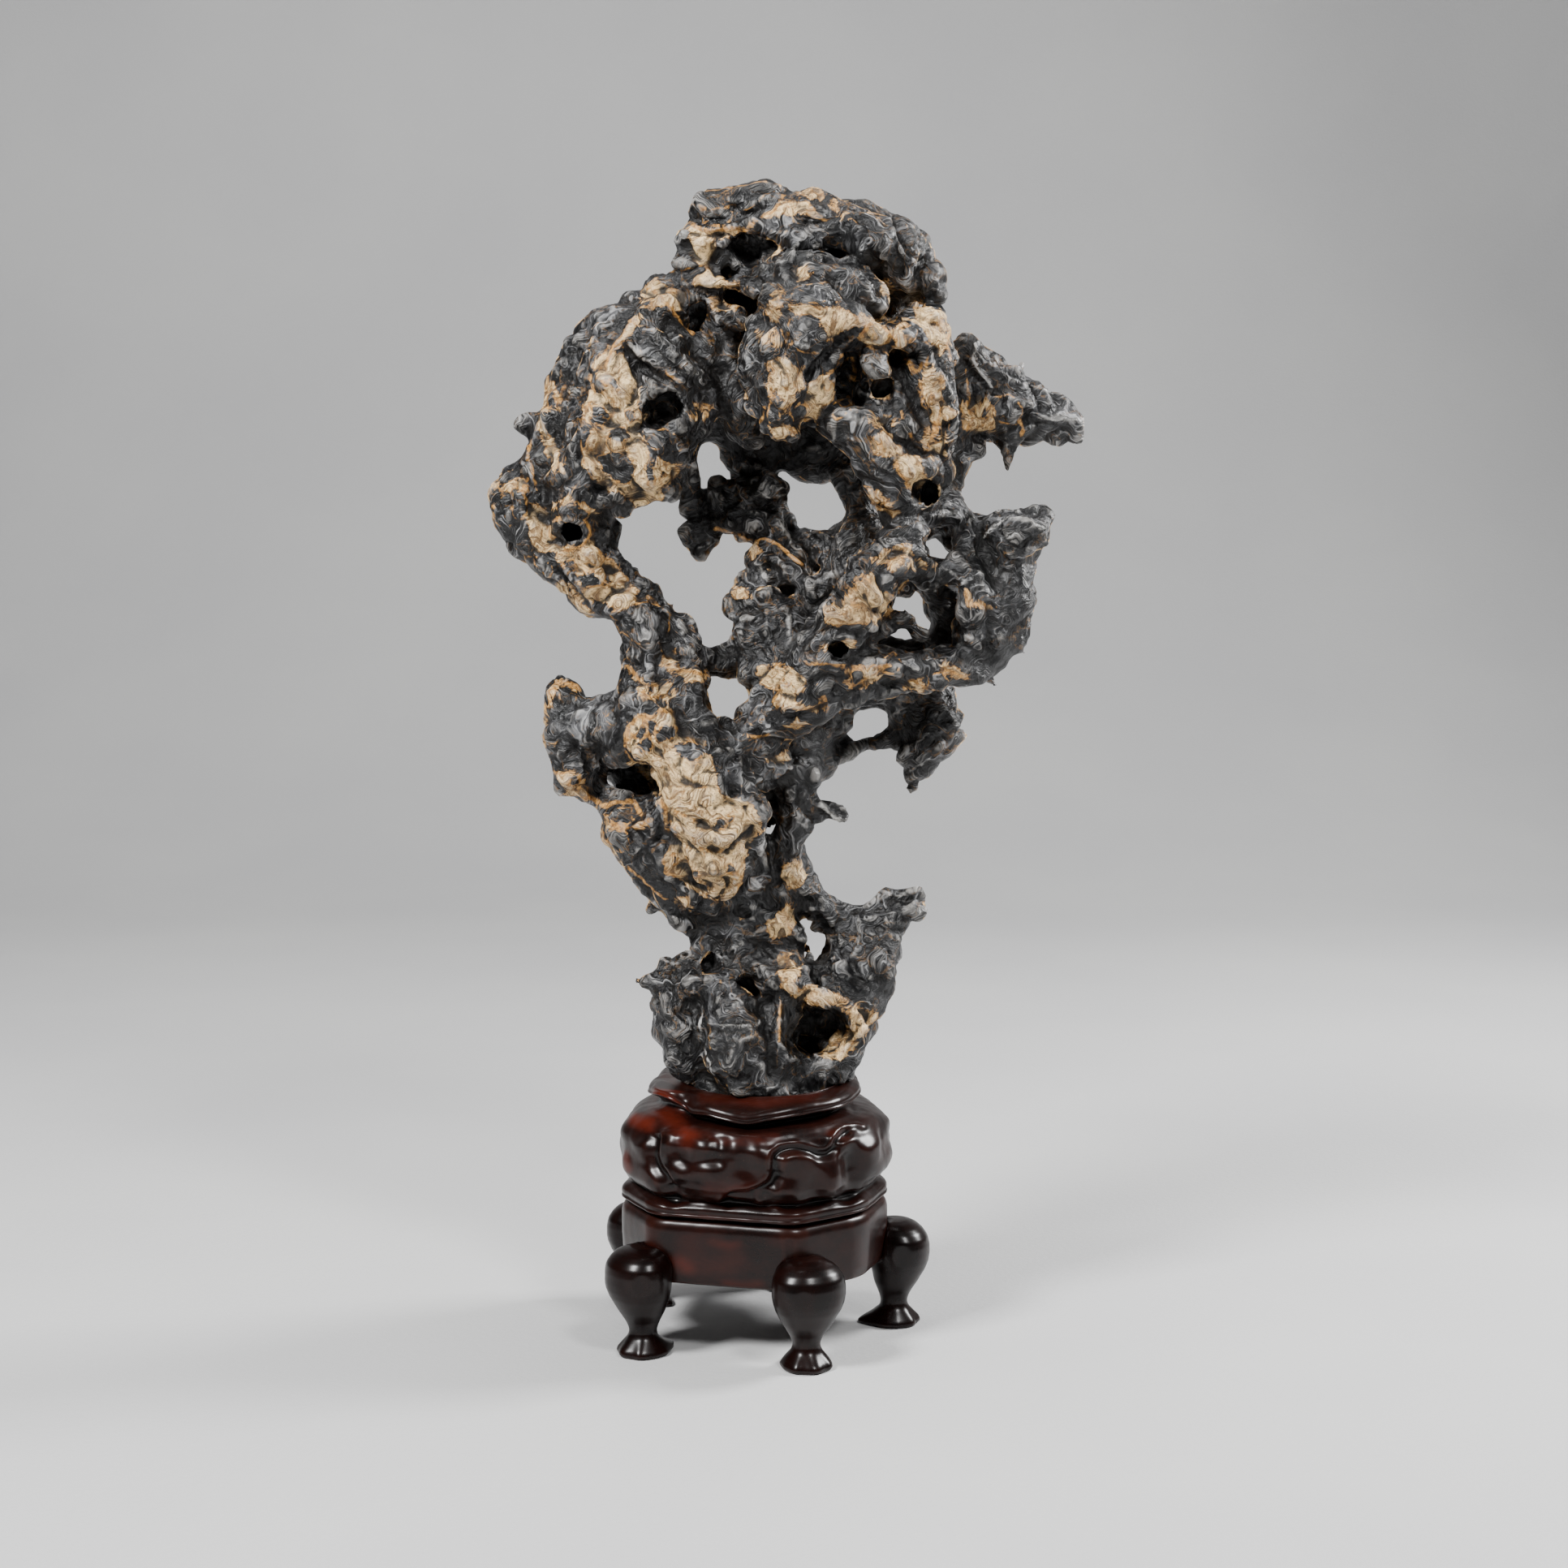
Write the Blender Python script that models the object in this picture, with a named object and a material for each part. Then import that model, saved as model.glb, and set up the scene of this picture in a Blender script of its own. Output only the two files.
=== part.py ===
"""Scholar's rock on a carved hardwood stand.

Black limestone, pierced through and worn into arms, lobes and spurs, set in the socket of a stand with a
leaf-edged collar, a knobbed body, an apron and five cabriole legs. +Z is up, the front faces -Y and the
floor is z = 0. All sizes below are in millimetres until a mesh is finished, when SCALE takes it to metres.
"""

import math

import bmesh
import bpy
from mathutils import Matrix, Vector, noise

SCALE = 0.001

# The forms are laid out on a front elevation, as an eye in front of the piece sees it. A point is given as
# (across, up, back): across and up are read on the elevation, and back pushes it away from the eye.
EYE_DISTANCE = 1610.0
EYE_HEIGHT = 525.5
EYE_PITCH = math.radians(6.4)
ELEVATION_MIDDLE = 327.0

ROCK_VOXEL = 2.6
ROCK_TRIANGLES = 5430


def seen_at(across, up, back):
    """The point in space, `back` behind the axis plane, that the eye sees at (across, up) of the elevation."""
    rise = up - ELEVATION_MIDDLE
    run = Vector(
        (
            across,
            EYE_DISTANCE * math.cos(EYE_PITCH) + rise * math.sin(EYE_PITCH),
            rise * math.cos(EYE_PITCH) - EYE_DISTANCE * math.sin(EYE_PITCH),
        )
    )
    eye = Vector((0.0, -EYE_DISTANCE, EYE_HEIGHT))
    return eye + run * ((back + EYE_DISTANCE) / run.y)


# ---------------------------------------------------------------------------------------------------------
# Rock. Each limb is a chain of knots (across, up, back, radius); neighbouring knots are joined by a hull.
# `deep` is how many times deeper than wide the limb is.

LIMBS = (
    # Crown: a block and a dome over a cave, tiers and knobs at the left end, a lobe at the right end.
    ("crown_block", 1.5, [(-46, 683, -4, 11), (-30, 684, -6, 13), (-12, 686, -8, 13), (0, 682, -10, 13)]),
    ("crown_dome", 1.5, [(14, 676, -10, 19), (34, 671, -12, 19), (54, 661, -12, 20), (72, 655, -8, 19), (81, 655, -2, 13)]),
    ("crown_lobe", 1.3, [(72, 642, -10, 14), (86, 637, -6, 13), (92, 635, 0, 9)]),
    ("crown_tier", 1.5, [(-58, 664, -2, 9), (-50, 661, -8, 11), (-38, 661, -10, 12)]),
    ("crown_tier_knob", 1.0, [(-62, 662, -10, 6), (-56, 666, -16, 6)]),
    ("crown_knob", 1.3, [(-62, 648, -6, 7), (-50, 648, -10, 8), (-42, 646, -12, 7)]),
    ("crown_mass", 1.2, [(-44, 652, 8, 16), (-14, 656, 10, 22), (20, 652, 8, 24), (50, 644, 6, 24), (74, 638, 8, 16)]),
    ("crown_back", 1.2, [(-34, 662, 34, 20), (8, 658, 44, 27), (46, 646, 38, 26), (64, 628, 30, 22)]),
    ("crown_back_low", 1.1, [(-50, 634, 34, 14), (-20, 626, 48, 20), (18, 618, 52, 24), (52, 606, 44, 20)]),
    ("cave_brow", 1.0, [(-83, 636, -4, 7), (-60, 634, -14, 8), (-34, 636, -22, 7), (-14, 634, -32, 7)]),
    ("cave_lump", 1.0, [(-26, 650, -14, 7), (-18, 646, -18, 8), (-8, 652, -18, 7)]),
    ("cave_rim", 1.0, [(-36, 668, -22, 6), (-20, 671, -26, 7), (-2, 668, -28, 8), (14, 664, -28, 8)]),
    # Boss: the lobe that hangs forward over the chamber.
    ("boss_brow", 1.0, [(-8, 640, -34, 10), (8, 642, -40, 12), (24, 641, -38, 13), (40, 636, -36, 14), (54, 626, -32, 12)]),
    ("boss_face", 1.0, [(0, 624, -46, 17), (20, 618, -48, 18), (38, 612, -44, 15)]),
    ("boss", 1.0, [(16, 604, -50, 18), (2, 592, -50, 18), (0, 570, -50, 17), (0, 554, -48, 12), (4, 546, -46, 7)]),
    ("boss_cheek", 1.0, [(28, 596, -46, 13), (20, 578, -48, 14), (16, 562, -46, 11)]),
    ("boss_jaw", 1.0, [(-14, 606, -42, 12), (-16, 584, -40, 12), (-12, 564, -38, 11), (-6, 546, -42, 7)]),
    ("boss_root", 1.3, [(9, 640, -6, 24), (10, 612, -12, 24), (0, 590, -4, 22), (-6, 568, -4, 16)]),
    # Strap over the shoulder cave, and the right shoulder.
    ("strap", 1.0, [(34, 606, -44, 11), (50, 604, -44, 10), (64, 602, -42, 10), (80, 606, -32, 10)]),
    ("shoulder_peak", 1.2, [(78, 606, -22, 13), (90, 612, -20, 13), (94, 598, -18, 14)]),
    ("shoulder", 1.3, [(94, 598, -18, 14), (92, 574, -22, 15), (94, 552, -22, 14), (92, 532, -18, 14), (94, 514, -12, 11)]),
    ("shoulder_fill", 1.2, [(50, 588, -18, 16), (60, 564, -22, 20), (74, 544, -24, 18), (78, 580, -10, 18)]),
    ("shoulder_knob", 1.0, [(52, 598, -34, 7), (54, 588, -40, 9), (60, 580, -38, 7)]),
    ("shoulder_face", 1.0, [(22, 557, -38, 10), (34, 549, -42, 12), (48, 544, -42, 14), (54, 528, -40, 14),
                            (68, 520, -38, 14), (82, 526, -30, 14)]),
    ("shoulder_foot", 1.0, [(56, 514, -32, 11), (66, 504, -30, 12), (82, 506, -26, 13)]),
    ("shoulder_back", 1.1, [(58, 612, 20, 24), (72, 586, 26, 26), (66, 556, 28, 24), (70, 530, 22, 20)]),
    # Right wing: a flat blade with teeth.
    ("wing", 0.8, [(100, 580, 10, 20), (118, 571, 14, 24), (132, 561, 16, 24), (147, 557, 18, 19),
                   (165, 553, 20, 15), (178, 546, 21, 8)]),
    ("wing_fold", 0.9, [(112, 596, 6, 10), (126, 584, 8, 9), (144, 568, 10, 9), (164, 556, 14, 8)]),
    ("wing_tip", 0.9, [(150, 545, 20, 9), (168, 542, 21, 7), (179, 541, 21, 5)]),
    ("wing_heel", 0.8, [(104, 552, 4, 16), (108, 536, 6, 12), (104, 524, 2, 10), (103, 512, 0, 7)]),
    ("wing_tooth_top", 1.0, [(143, 574, 17, 6), (147, 587, 17, 2)]),
    ("wing_tooth_far", 1.0, [(160, 562, 19, 6), (166, 569, 19, 2)]),
    ("wing_tooth_low", 1.0, [(138, 544, 12, 8), (138, 530, 8, 5), (138, 521, 6, 2)]),
    ("wing_tooth_heel", 1.0, [(116, 536, 6, 8), (113, 526, 2, 4)]),
    # Waist between shoulder and fan, with the keyhole in it.
    ("waist", 1.3, [(72, 508, -12, 15), (84, 500, -8, 14), (98, 500, -2, 10)]),
    ("waist_left", 1.2, [(72, 496, -18, 14), (72, 482, -20, 13)]),
    ("keyhole_bridge", 1.2, [(96, 498, -2, 10), (112, 488, 0, 9), (126, 482, -2, 11)]),
    ("keyhole_right", 1.2, [(114, 488, -4, 8), (114, 474, -4, 9), (112, 462, -6, 10)]),
    ("keyhole_back", 1.0, [(84, 486, 24, 10), (98, 486, 26, 10), (108, 478, 24, 10), (98, 488, 12, 9)]),
    # Fan: the broad plate at the right.
    ("fan_ear", 1.0, [(130, 482, -4, 13), (146, 481, -12, 17), (155, 489, -10, 11)]),
    ("fan", 0.9, [(122, 476, 0, 14), (138, 460, 0, 20), (136, 440, 0, 22), (128, 422, 0, 22), (122, 408, 0, 18)]),
    ("fan_edge", 0.8, [(146, 468, 6, 14), (146, 446, 6, 12), (140, 424, 6, 13), (132, 407, 6, 11)]),
    ("fan_root", 1.2, [(112, 462, -8, 12), (98, 459, -12, 10), (84, 464, -20, 12), (72, 470, -24, 14)]),
    ("fan_face", 1.0, [(118, 456, -14, 10), (120, 440, -16, 10), (118, 420, -14, 9), (112, 404, -12, 9)]),
    ("fan_tooth_low", 1.0, [(126, 396, 4, 6), (130, 388, 4, 2)]),
    ("fan_tooth_side", 1.0, [(142, 414, 6, 7), (149, 407, 6, 2)]),
    # Right arm, climbing from the trunk, and the band under the eye.
    ("arm", 1.2, [(-2, 368, -14, 18), (8, 384, -24, 20), (20, 402, -32, 20), (32, 420, -36, 19), (43, 438, -38, 18),
                  (54, 456, -36, 18), (68, 468, -30, 17), (80, 478, -24, 13)]),
    ("arm_ridge", 1.0, [(34, 444, -48, 7), (46, 458, -50, 8), (58, 468, -46, 9), (70, 478, -40, 8)]),
    ("arm_knuckle", 1.0, [(20, 420, -46, 7), (30, 432, -50, 8)]),
    ("band", 1.1, [(14, 390, -32, 13), (36, 398, -34, 12), (58, 398, -32, 12), (78, 400, -26, 12), (98, 398, -18, 12),
                   (116, 398, -8, 12), (126, 404, 0, 12)]),
    ("band_low", 1.0, [(6, 366, -28, 12), (26, 380, -32, 11), (48, 386, -32, 9), (80, 388, -26, 7), (96, 390, -18, 7)]),
    # Eye: a bowl behind arm, band and fan, with a crescent slot and a tongue inside it.
    ("eye_wall_low", 1.0, [(44, 410, 10, 14), (62, 404, 20, 13), (84, 406, 24, 13), (104, 414, 22, 14)]),
    ("eye_wall_right", 1.0, [(104, 414, 22, 14), (102, 432, 24, 15), (98, 450, 20, 14), (82, 460, 12, 13)]),
    ("eye_wall_left", 1.0, [(44, 410, 10, 14), (52, 430, 16, 15), (60, 450, 12, 15), (78, 462, 10, 14)]),
    ("eye_tongue", 1.0, [(50, 420, 0, 9), (62, 424, -4, 9), (74, 430, -4, 8), (79, 424, 0, 6), (84, 420, 6, 5)]),
    # Left ring: outer edge first, then its face towards the front and its back.
    ("ring_edge", 1.7, [(-80, 626, 0, 10), (-97, 614, 0, 12), (-113, 609, 2, 11), (-122, 597, 2, 12),
                        (-130, 576, 2, 14), (-138, 551, 2, 16), (-143, 530, 2, 16)]),
    ("ring_elbow", 1.6, [(-143, 530, 2, 16), (-161, 502, 4, 20), (-155, 482, 4, 19), (-139, 466, 2, 18),
                         (-122, 452, 0, 17), (-106, 441, -2, 15), (-94, 434, -6, 16)]),
    ("ring_face", 1.3, [(-74, 614, -14, 16), (-98, 600, -14, 18), (-108, 572, -18, 22), (-112, 542, -22, 23),
                        (-130, 512, -14, 20), (-126, 480, -10, 17)]),
    ("ring_boulder", 1.2, [(-90, 602, -28, 13), (-76, 596, -32, 15), (-66, 584, -32, 14), (-58, 574, -28, 11)]),
    ("ring_seam", 1.0, [(-88, 608, -30, 6), (-98, 590, -34, 6), (-98, 572, -36, 7), (-84, 568, -40, 7), (-70, 564, -38, 7)]),
    ("ring_plate", 1.2, [(-96, 560, -30, 18), (-98, 536, -32, 19), (-98, 516, -28, 14), (-106, 500, -20, 11)]),
    ("ring_cheek", 1.2, [(-78, 566, -26, 18), (-70, 548, -30, 20), (-84, 528, -32, 20), (-76, 512, -30, 13)]),
    ("ring_rim", 1.2, [(-54, 574, -18, 12), (-52, 558, -20, 13), (-62, 548, -26, 14), (-68, 528, -26, 13), (-72, 510, -24, 10), (-90, 504, -22, 9)]),
    ("ring_inside", 1.2, [(-116, 508, -8, 12), (-115, 488, -8, 12), (-112, 468, -8, 12), (-98, 450, -8, 12), (-86, 442, -8, 12)]),
    ("ring_swell", 1.0, [(-134, 500, -26, 11), (-128, 478, -24, 11), (-118, 462, -22, 10)]),
    ("ring_back", 1.1, [(-62, 606, 28, 16), (-98, 590, 34, 20), (-122, 552, 36, 20), (-138, 508, 32, 18),
                        (-124, 470, 26, 15), (-102, 446, 20, 14)]),
    ("ring_back_low", 1.0, [(-74, 590, 26, 18), (-80, 558, 22, 20), (-88, 530, 18, 15)]),
    ("ring_knob_top", 1.0, [(-113, 612, 0, 9), (-111, 618, 0, 3)]),
    ("ring_knob_side", 1.0, [(-150, 546, 4, 9), (-160, 550, 4, 7)]),
    ("ring_knob_far", 1.0, [(-172, 506, 4, 10), (-177, 508, 4, 5)]),
    ("ring_spur", 1.0, [(-98, 620, -4, 8), (-94, 627, -4, 3)]),
    ("ring_spur_top", 1.0, [(-82, 634, -2, 8), (-80, 640, -2, 4)]),
    # Cleft between ring and boss.
    ("cleft", 1.1, [(-38, 616, 0, 12), (-40, 600, -6, 13), (-30, 584, -8, 15), (-30, 564, -8, 16), (-24, 546, 0, 13)]),
    ("cleft_knob", 1.0, [(-20, 576, -26, 7), (-22, 564, -24, 9)]),
    ("cleft_roof", 1.0, [(-62, 624, -12, 8), (-44, 622, -14, 7), (-28, 612, -22, 9)]),
    ("cleft_step", 1.0, [(-56, 602, -20, 8), (-46, 590, -20, 8)]),
    ("cleft_back", 1.2, [(-46, 628, 26, 16), (-34, 598, 34, 22), (-24, 570, 40, 24), (10, 580, 44, 26)]),
    # Walls behind the chamber.
    ("wall_top", 0.9, [(-50, 548, 26, 13), (-22, 546, 34, 15), (12, 544, 38, 15), (42, 534, 32, 17)]),
    ("wall_left", 0.9, [(-60, 540, 24, 11), (-62, 518, 28, 9), (-56, 500, 28, 10), (-44, 500, 30, 9)]),
    ("wall_mid", 0.9, [(-28, 536, 36, 12), (-20, 516, 38, 16), (-12, 496, 34, 16), (-30, 496, 30, 12)]),
    ("wall_right", 1.1, [(44, 530, 28, 15), (46, 508, 24, 15), (50, 488, 16, 15), (44, 466, 4, 14)]),
    ("wall_low", 1.0, [(-4, 484, 32, 12), (16, 472, 30, 11), (34, 478, 26, 12), (50, 486, 20, 13)]),
    ("wall_roof", 0.9, [(-34, 560, 14, 14), (0, 566, 14, 18), (42, 556, 12, 18)]),
    ("wall_brow", 0.9, [(-6, 532, 38, 12), (14, 526, 36, 11), (34, 524, 32, 12)]),
    ("shoulder_root", 1.2, [(30, 596, 4, 20), (40, 570, 8, 20), (50, 550, 6, 18)]),
    # Coral: knobbed branches inside the chamber, behind the front forms.
    ("coral_drop", 1.0, [(-44, 496, 26, 9), (-50, 486, 22, 9), (-60, 478, 16, 7), (-53, 471, 16, 8), (-44, 478, 20, 7)]),
    ("coral_box", 1.0, [(-38, 508, 18, 9), (-38, 492, 16, 9), (-26, 486, 14, 9), (-20, 500, 16, 9), (-28, 510, 18, 8)]),
    ("coral_tip", 1.0, [(-16, 508, 16, 9), (-6, 512, 10, 7), (0, 506, 8, 6)]),
    ("coral_mid", 1.0, [(-14, 488, 20, 11), (-6, 474, 14, 12), (-14, 468, 6, 9), (-6, 460, 0, 10), (8, 466, 6, 10)]),
    ("coral_ring", 1.0, [(8, 476, 18, 9), (20, 480, 14, 8), (30, 470, 8, 9), (30, 454, -2, 10), (20, 440, -6, 10)]),
    ("coral_stem", 1.1, [(6, 462, 14, 14), (2, 444, 8, 16), (6, 426, 0, 18), (0, 404, -6, 19)]),
    ("coral_lip", 1.0, [(-10, 452, 4, 9), (-24, 448, 2, 8), (-32, 442, 2, 6), (-28, 430, 0, 8)]),
    ("coral_back", 1.1, [(4, 470, 34, 14), (10, 448, 32, 18), (12, 420, 28, 20), (4, 392, 24, 20)]),
    # Central trunk and the saddle between the two openings.
    ("trunk", 1.3, [(-16, 440, 2, 13), (-18, 424, 0, 15), (-16, 404, -4, 16), (-14, 384, -8, 16), (-12, 362, -8, 18),
                    (-14, 338, -6, 18)]),
    ("trunk_fold", 1.0, [(-8, 440, -14, 9), (-6, 420, -18, 10), (-4, 398, -22, 11), (-8, 378, -24, 10)]),
    ("saddle", 1.1, [(-58, 404, 0, 12), (-46, 400, 4, 10), (-34, 402, 6, 10), (-22, 408, 4, 13)]),
    # Left trunk.
    ("stem", 1.4, [(-94, 434, -6, 16), (-84, 426, -10, 19), (-83, 404, -12, 18), (-84, 382, -14, 20), (-78, 360, -16, 24)]),
    ("stem_side", 1.2, [(-66, 420, -8, 13), (-62, 398, -12, 17), (-60, 374, -18, 17), (-52, 352, -20, 20), (-30, 350, -14, 15)]),
    ("stem_spur", 1.0, [(-72, 430, -8, 8), (-69, 438, -8, 3)]),
    ("stem_wide", 1.3, [(-84, 378, -8, 18), (-100, 366, -6, 17), (-98, 350, -8, 16)]),
    ("stem_back", 1.1, [(-88, 420, 18, 15), (-82, 384, 26, 20), (-66, 350, 32, 24), (-50, 312, 32, 22),
                        (-34, 280, 24, 20), (-28, 250, 16, 18)]),
    ("trunk_back", 1.1, [(0, 388, 22, 20), (-12, 352, 28, 22), (-16, 316, 26, 20)]),
    # Belly: the swelling low on the left trunk.
    ("belly", 1.0, [(-66, 342, -30, 20), (-48, 334, -34, 22), (-58, 316, -34, 22), (-44, 300, -40, 23), (-44, 280, -38, 18),
                    (-38, 268, -34, 13)]),
    ("belly_right", 1.0, [(-34, 330, -28, 17), (-28, 312, -34, 17), (-26, 292, -34, 16), (-32, 274, -34, 13)]),
    ("belly_root", 1.3, [(-60, 330, 0, 22), (-40, 310, 0, 24), (-36, 284, 0, 22)]),
    # Left flank under the hook, running down to the neck.
    ("flank", 1.4, [(-100, 312, -4, 13), (-98, 298, -4, 15), (-88, 286, -4, 17), (-78, 272, -4, 16), (-70, 258, -2, 13),
                    (-60, 246, 2, 12)]),
    ("flank_fill", 1.2, [(-80, 306, -12, 18), (-70, 284, -14, 18), (-58, 264, -10, 16), (-38, 256, -8, 16), (-22, 262, -4, 14)]),
    ("flank_spur", 1.0, [(-76, 258, 0, 9), (-83, 250, 0, 4)]),
    # Left hook.
    ("hook", 1.2, [(-138, 388, 4, 8), (-135, 377, 4, 13), (-131, 362, 2, 17), (-134, 344, 2, 14), (-130, 329, 2, 12),
                   (-124, 320, 0, 6)]),
    ("hook_root", 1.3, [(-131, 362, 2, 17), (-116, 364, -2, 17), (-100, 366, -6, 18)]),
    ("hook_low", 1.1, [(-122, 350, 4, 14), (-114, 340, 8, 10), (-118, 326, 6, 8)]),
    ("hook_link", 1.0, [(-122, 320, 4, 7), (-108, 319, 6, 8), (-98, 314, 2, 9)]),
    ("hook_wall", 1.0, [(-108, 346, 22, 13), (-98, 330, 26, 13), (-88, 322, 26, 15)]),
    # Web and pendant, dark and well back under the band.
    ("web", 1.0, [(6, 352, 10, 18), (22, 364, 22, 16), (40, 384, 26, 14), (66, 384, 34, 13), (90, 382, 36, 12)]),
    ("web_low", 0.9, [(8, 336, 8, 16), (22, 342, 18, 12), (34, 350, 26, 8), (50, 350, 32, 7), (66, 356, 36, 9), (84, 362, 36, 14)]),
    ("web_end", 0.9, [(68, 380, 36, 12), (74, 364, 36, 12)]),
    ("pendant", 0.9, [(97, 382, 32, 9), (96, 368, 30, 15), (92, 352, 28, 14), (82, 340, 28, 11), (78, 326, 28, 5)]),
    ("pendant_tooth", 1.0, [(102, 360, 30, 8), (109, 357, 30, 3)]),
    # Neck: two columns above the foot.
    ("column_right", 1.2, [(8, 334, 4, 14), (6, 316, 4, 13), (4, 300, 4, 12), (3, 282, 2, 11), (6, 266, 0, 12),
                           (0, 250, 0, 12), (-3, 236, 0, 13)]),
    ("column_spur", 1.0, [(12, 314, 4, 10), (28, 310, 4, 7), (37, 306, 4, 5)]),
    ("column_left", 1.2, [(-22, 296, 4, 12), (-18, 276, 2, 12), (-16, 258, 0, 14)]),
    ("neck", 1.4, [(-56, 242, 6, 10), (-40, 238, 2, 15), (-20, 238, -2, 16), (-4, 240, -2, 15)]),
    ("neck_low", 1.4, [(-46, 224, 2, 13), (-26, 220, -4, 16), (-4, 218, -4, 15)]),
    ("neck_back", 1.0, [(-38, 262, 22, 16), (-20, 236, 26, 20), (0, 212, 26, 22)]),
    # Foot: a bowl with a left spur, a right horn and a blind mouth.
    ("foot_spur", 1.1, [(-91, 206, -4, 3), (-84, 205, -6, 6), (-72, 204, -8, 9)]),
    ("foot_knob", 1.0, [(-70, 215, -6, 7), (-62, 212, -10, 9), (-48, 214, -14, 10)]),
    ("foot_rim", 1.3, [(-72, 202, -8, 10), (-58, 204, -16, 13), (-36, 204, -22, 14), (-14, 206, -22, 14)]),
    ("foot_left", 1.7, [(-68, 192, -6, 17), (-62, 174, -6, 18), (-54, 158, -6, 16), (-46, 144, -4, 13)]),
    ("foot_front", 1.7, [(-34, 190, -20, 20), (-30, 170, -22, 24), (-24, 150, -18, 22), (-20, 136, -12, 18)]),
    ("foot_mid", 1.5, [(4, 208, -12, 15), (-2, 190, -16, 16), (-4, 170, -18, 18), (-2, 150, -16, 18)]),
    ("foot_right", 1.5, [(34, 204, -6, 18), (46, 186, -6, 14), (44, 172, -8, 12), (34, 156, -8, 13), (24, 144, -4, 14)]),
    ("foot_lip", 1.1, [(0, 206, -30, 9), (20, 196, -34, 8), (38, 190, -30, 8), (46, 178, -26, 7)]),
    ("foot_floor", 1.4, [(0, 150, -20, 15), (16, 150, -18, 12), (30, 154, -14, 11)]),
    ("foot_back", 1.3, [(-50, 186, 26, 20), (-14, 190, 34, 26), (26, 186, 28, 22)]),
    ("foot_back_low", 1.3, [(-42, 148, 20, 20), (-12, 146, 28, 24), (16, 148, 20, 20)]),
    ("tenon", 1.3, [(-44, 136, -4, 22), (-14, 136, -22, 26), (16, 140, -6, 22)]),
    ("tenon_core", 1.6, [(-30, 138, 0, 26), (4, 138, 0, 26)]),
    ("horn", 1.2, [(34, 226, 0, 14), (50, 238, 2, 13), (64, 246, 3, 14), (78, 253, 4, 11)]),
    ("horn_top", 1.0, [(64, 257, 3, 7), (80, 258, 4, 7)]),
    ("horn_root", 1.5, [(62, 240, 2, 12), (56, 220, -2, 16), (50, 200, -2, 16)]),
    ("horn_saddle", 1.2, [(8, 264, 0, 10), (20, 254, 0, 10), (32, 248, 0, 10), (46, 240, 2, 11)]),
    ("horn_ledge", 1.0, [(22, 238, 6, 6), (34, 236, 4, 6)]),
    ("foot_bridge", 1.2, [(2, 240, -4, 10), (0, 224, -8, 11), (4, 210, -10, 13)]),
    ("foot_inside", 1.2, [(14, 210, 2, 13), (34, 212, 2, 14)]),
)

# Hollows are chains of knots too, cut out of the rock.
HOLLOWS = (
    ("ring_pit", [(-76, 558, -80, 13), (-75, 557, -30, 12), (-74, 556, -8, 8)]),
    ("ring_dimple", [(-131, 484, -60, 7), (-130, 483, -22, 6)]),
    ("crown_cave", [(-30, 654, -70, 8), (-18, 656, -70, 9), (-24, 655, -20, 9)]),
    ("crown_crack", [(24, 656, -70, 5), (42, 650, -70, 6), (56, 634, -64, 6), (70, 617, -54, 6)]),
    ("cleft_hole", [(-53, 619, -60, 7), (-52, 618, -6, 6)]),
    ("cleft_pit", [(-34, 606, -60, 9), (-32, 598, -26, 7)]),
    ("keyhole", [(88, 475, -70, 11), (98, 475, -70, 11), (96, 474, 6, 10)]),
    ("keyhole_slot", [(94, 469, -10, 6), (92, 466, 70, 6)]),
    ("shoulder_cave", [(56, 570, -80, 8), (66, 570, -80, 7), (60, 571, -34, 7)]),
    ("shoulder_groove", [(71, 598, -70, 4), (72, 578, -64, 6), (84, 556, -60, 5), (88, 544, -56, 3)]),
    ("waist_pit", [(86, 506, -70, 8), (88, 506, -14, 7)]),
    ("chamber_hole", [(16, 498, -20, 13), (18, 498, 80, 14)]),
    ("chamber_slot", [(-44, 521, -20, 6), (-45, 520, 80, 6)]),
    ("coral_pit", [(-10, 459, -60, 6), (-10, 459, -2, 5)]),
    ("coral_pit_low", [(3, 444, -60, 7), (2, 445, -6, 6)]),
    ("coral_pit_right", [(21, 447, -60, 5), (21, 447, -12, 4)]),
    ("eye_slot", [(70, 440, 0, 5), (82, 436, 2, 5), (86, 426, 4, 4)]),
    ("eye_slot_through", [(72, 440, 0, 5), (73, 441, 70, 6)]),
    ("eye_slot_side", [(84, 434, 2, 5), (85, 434, 70, 6)]),
    ("band_pit", [(32, 411, -70, 7), (34, 410, -32, 5)]),
    ("stem_hole", [(-32, 384, -60, 10), (-30, 383, 80, 9)]),
    ("stem_hole_left", [(-40, 380, -60, 9), (-39, 376, -4, 8)]),
    ("belly_slit", [(-7, 308, -70, 4), (-7, 300, -70, 4), (-7, 304, 20, 4)]),
    ("foot_eye", [(14, 229, -60, 10), (26, 229, -60, 9), (18, 228, 2, 9)]),
    ("foot_eye_slot", [(12, 224, 0, 5), (8, 222, 70, 5)]),
    ("foot_mouth", [(10, 172, -80, 14), (14, 172, -30, 13), (16, 172, -8, 10)]),
    ("foot_mouth_right", [(32, 180, -80, 9), (26, 178, -30, 9)]),
    ("foot_socket", [(-46, 216, -60, 6), (-45, 216, -14, 5)]),
    ("foot_slot", [(-24, 205, -80, 6), (-22, 204, -26, 5)]),
    ("foot_slot_low", [(-17, 198, -80, 4), (-17, 198, -26, 4)]),
    ("hook_hollow", [(-108, 332, -60, 8), (-98, 330, -60, 9), (-100, 330, 10, 8)]),
)


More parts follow.
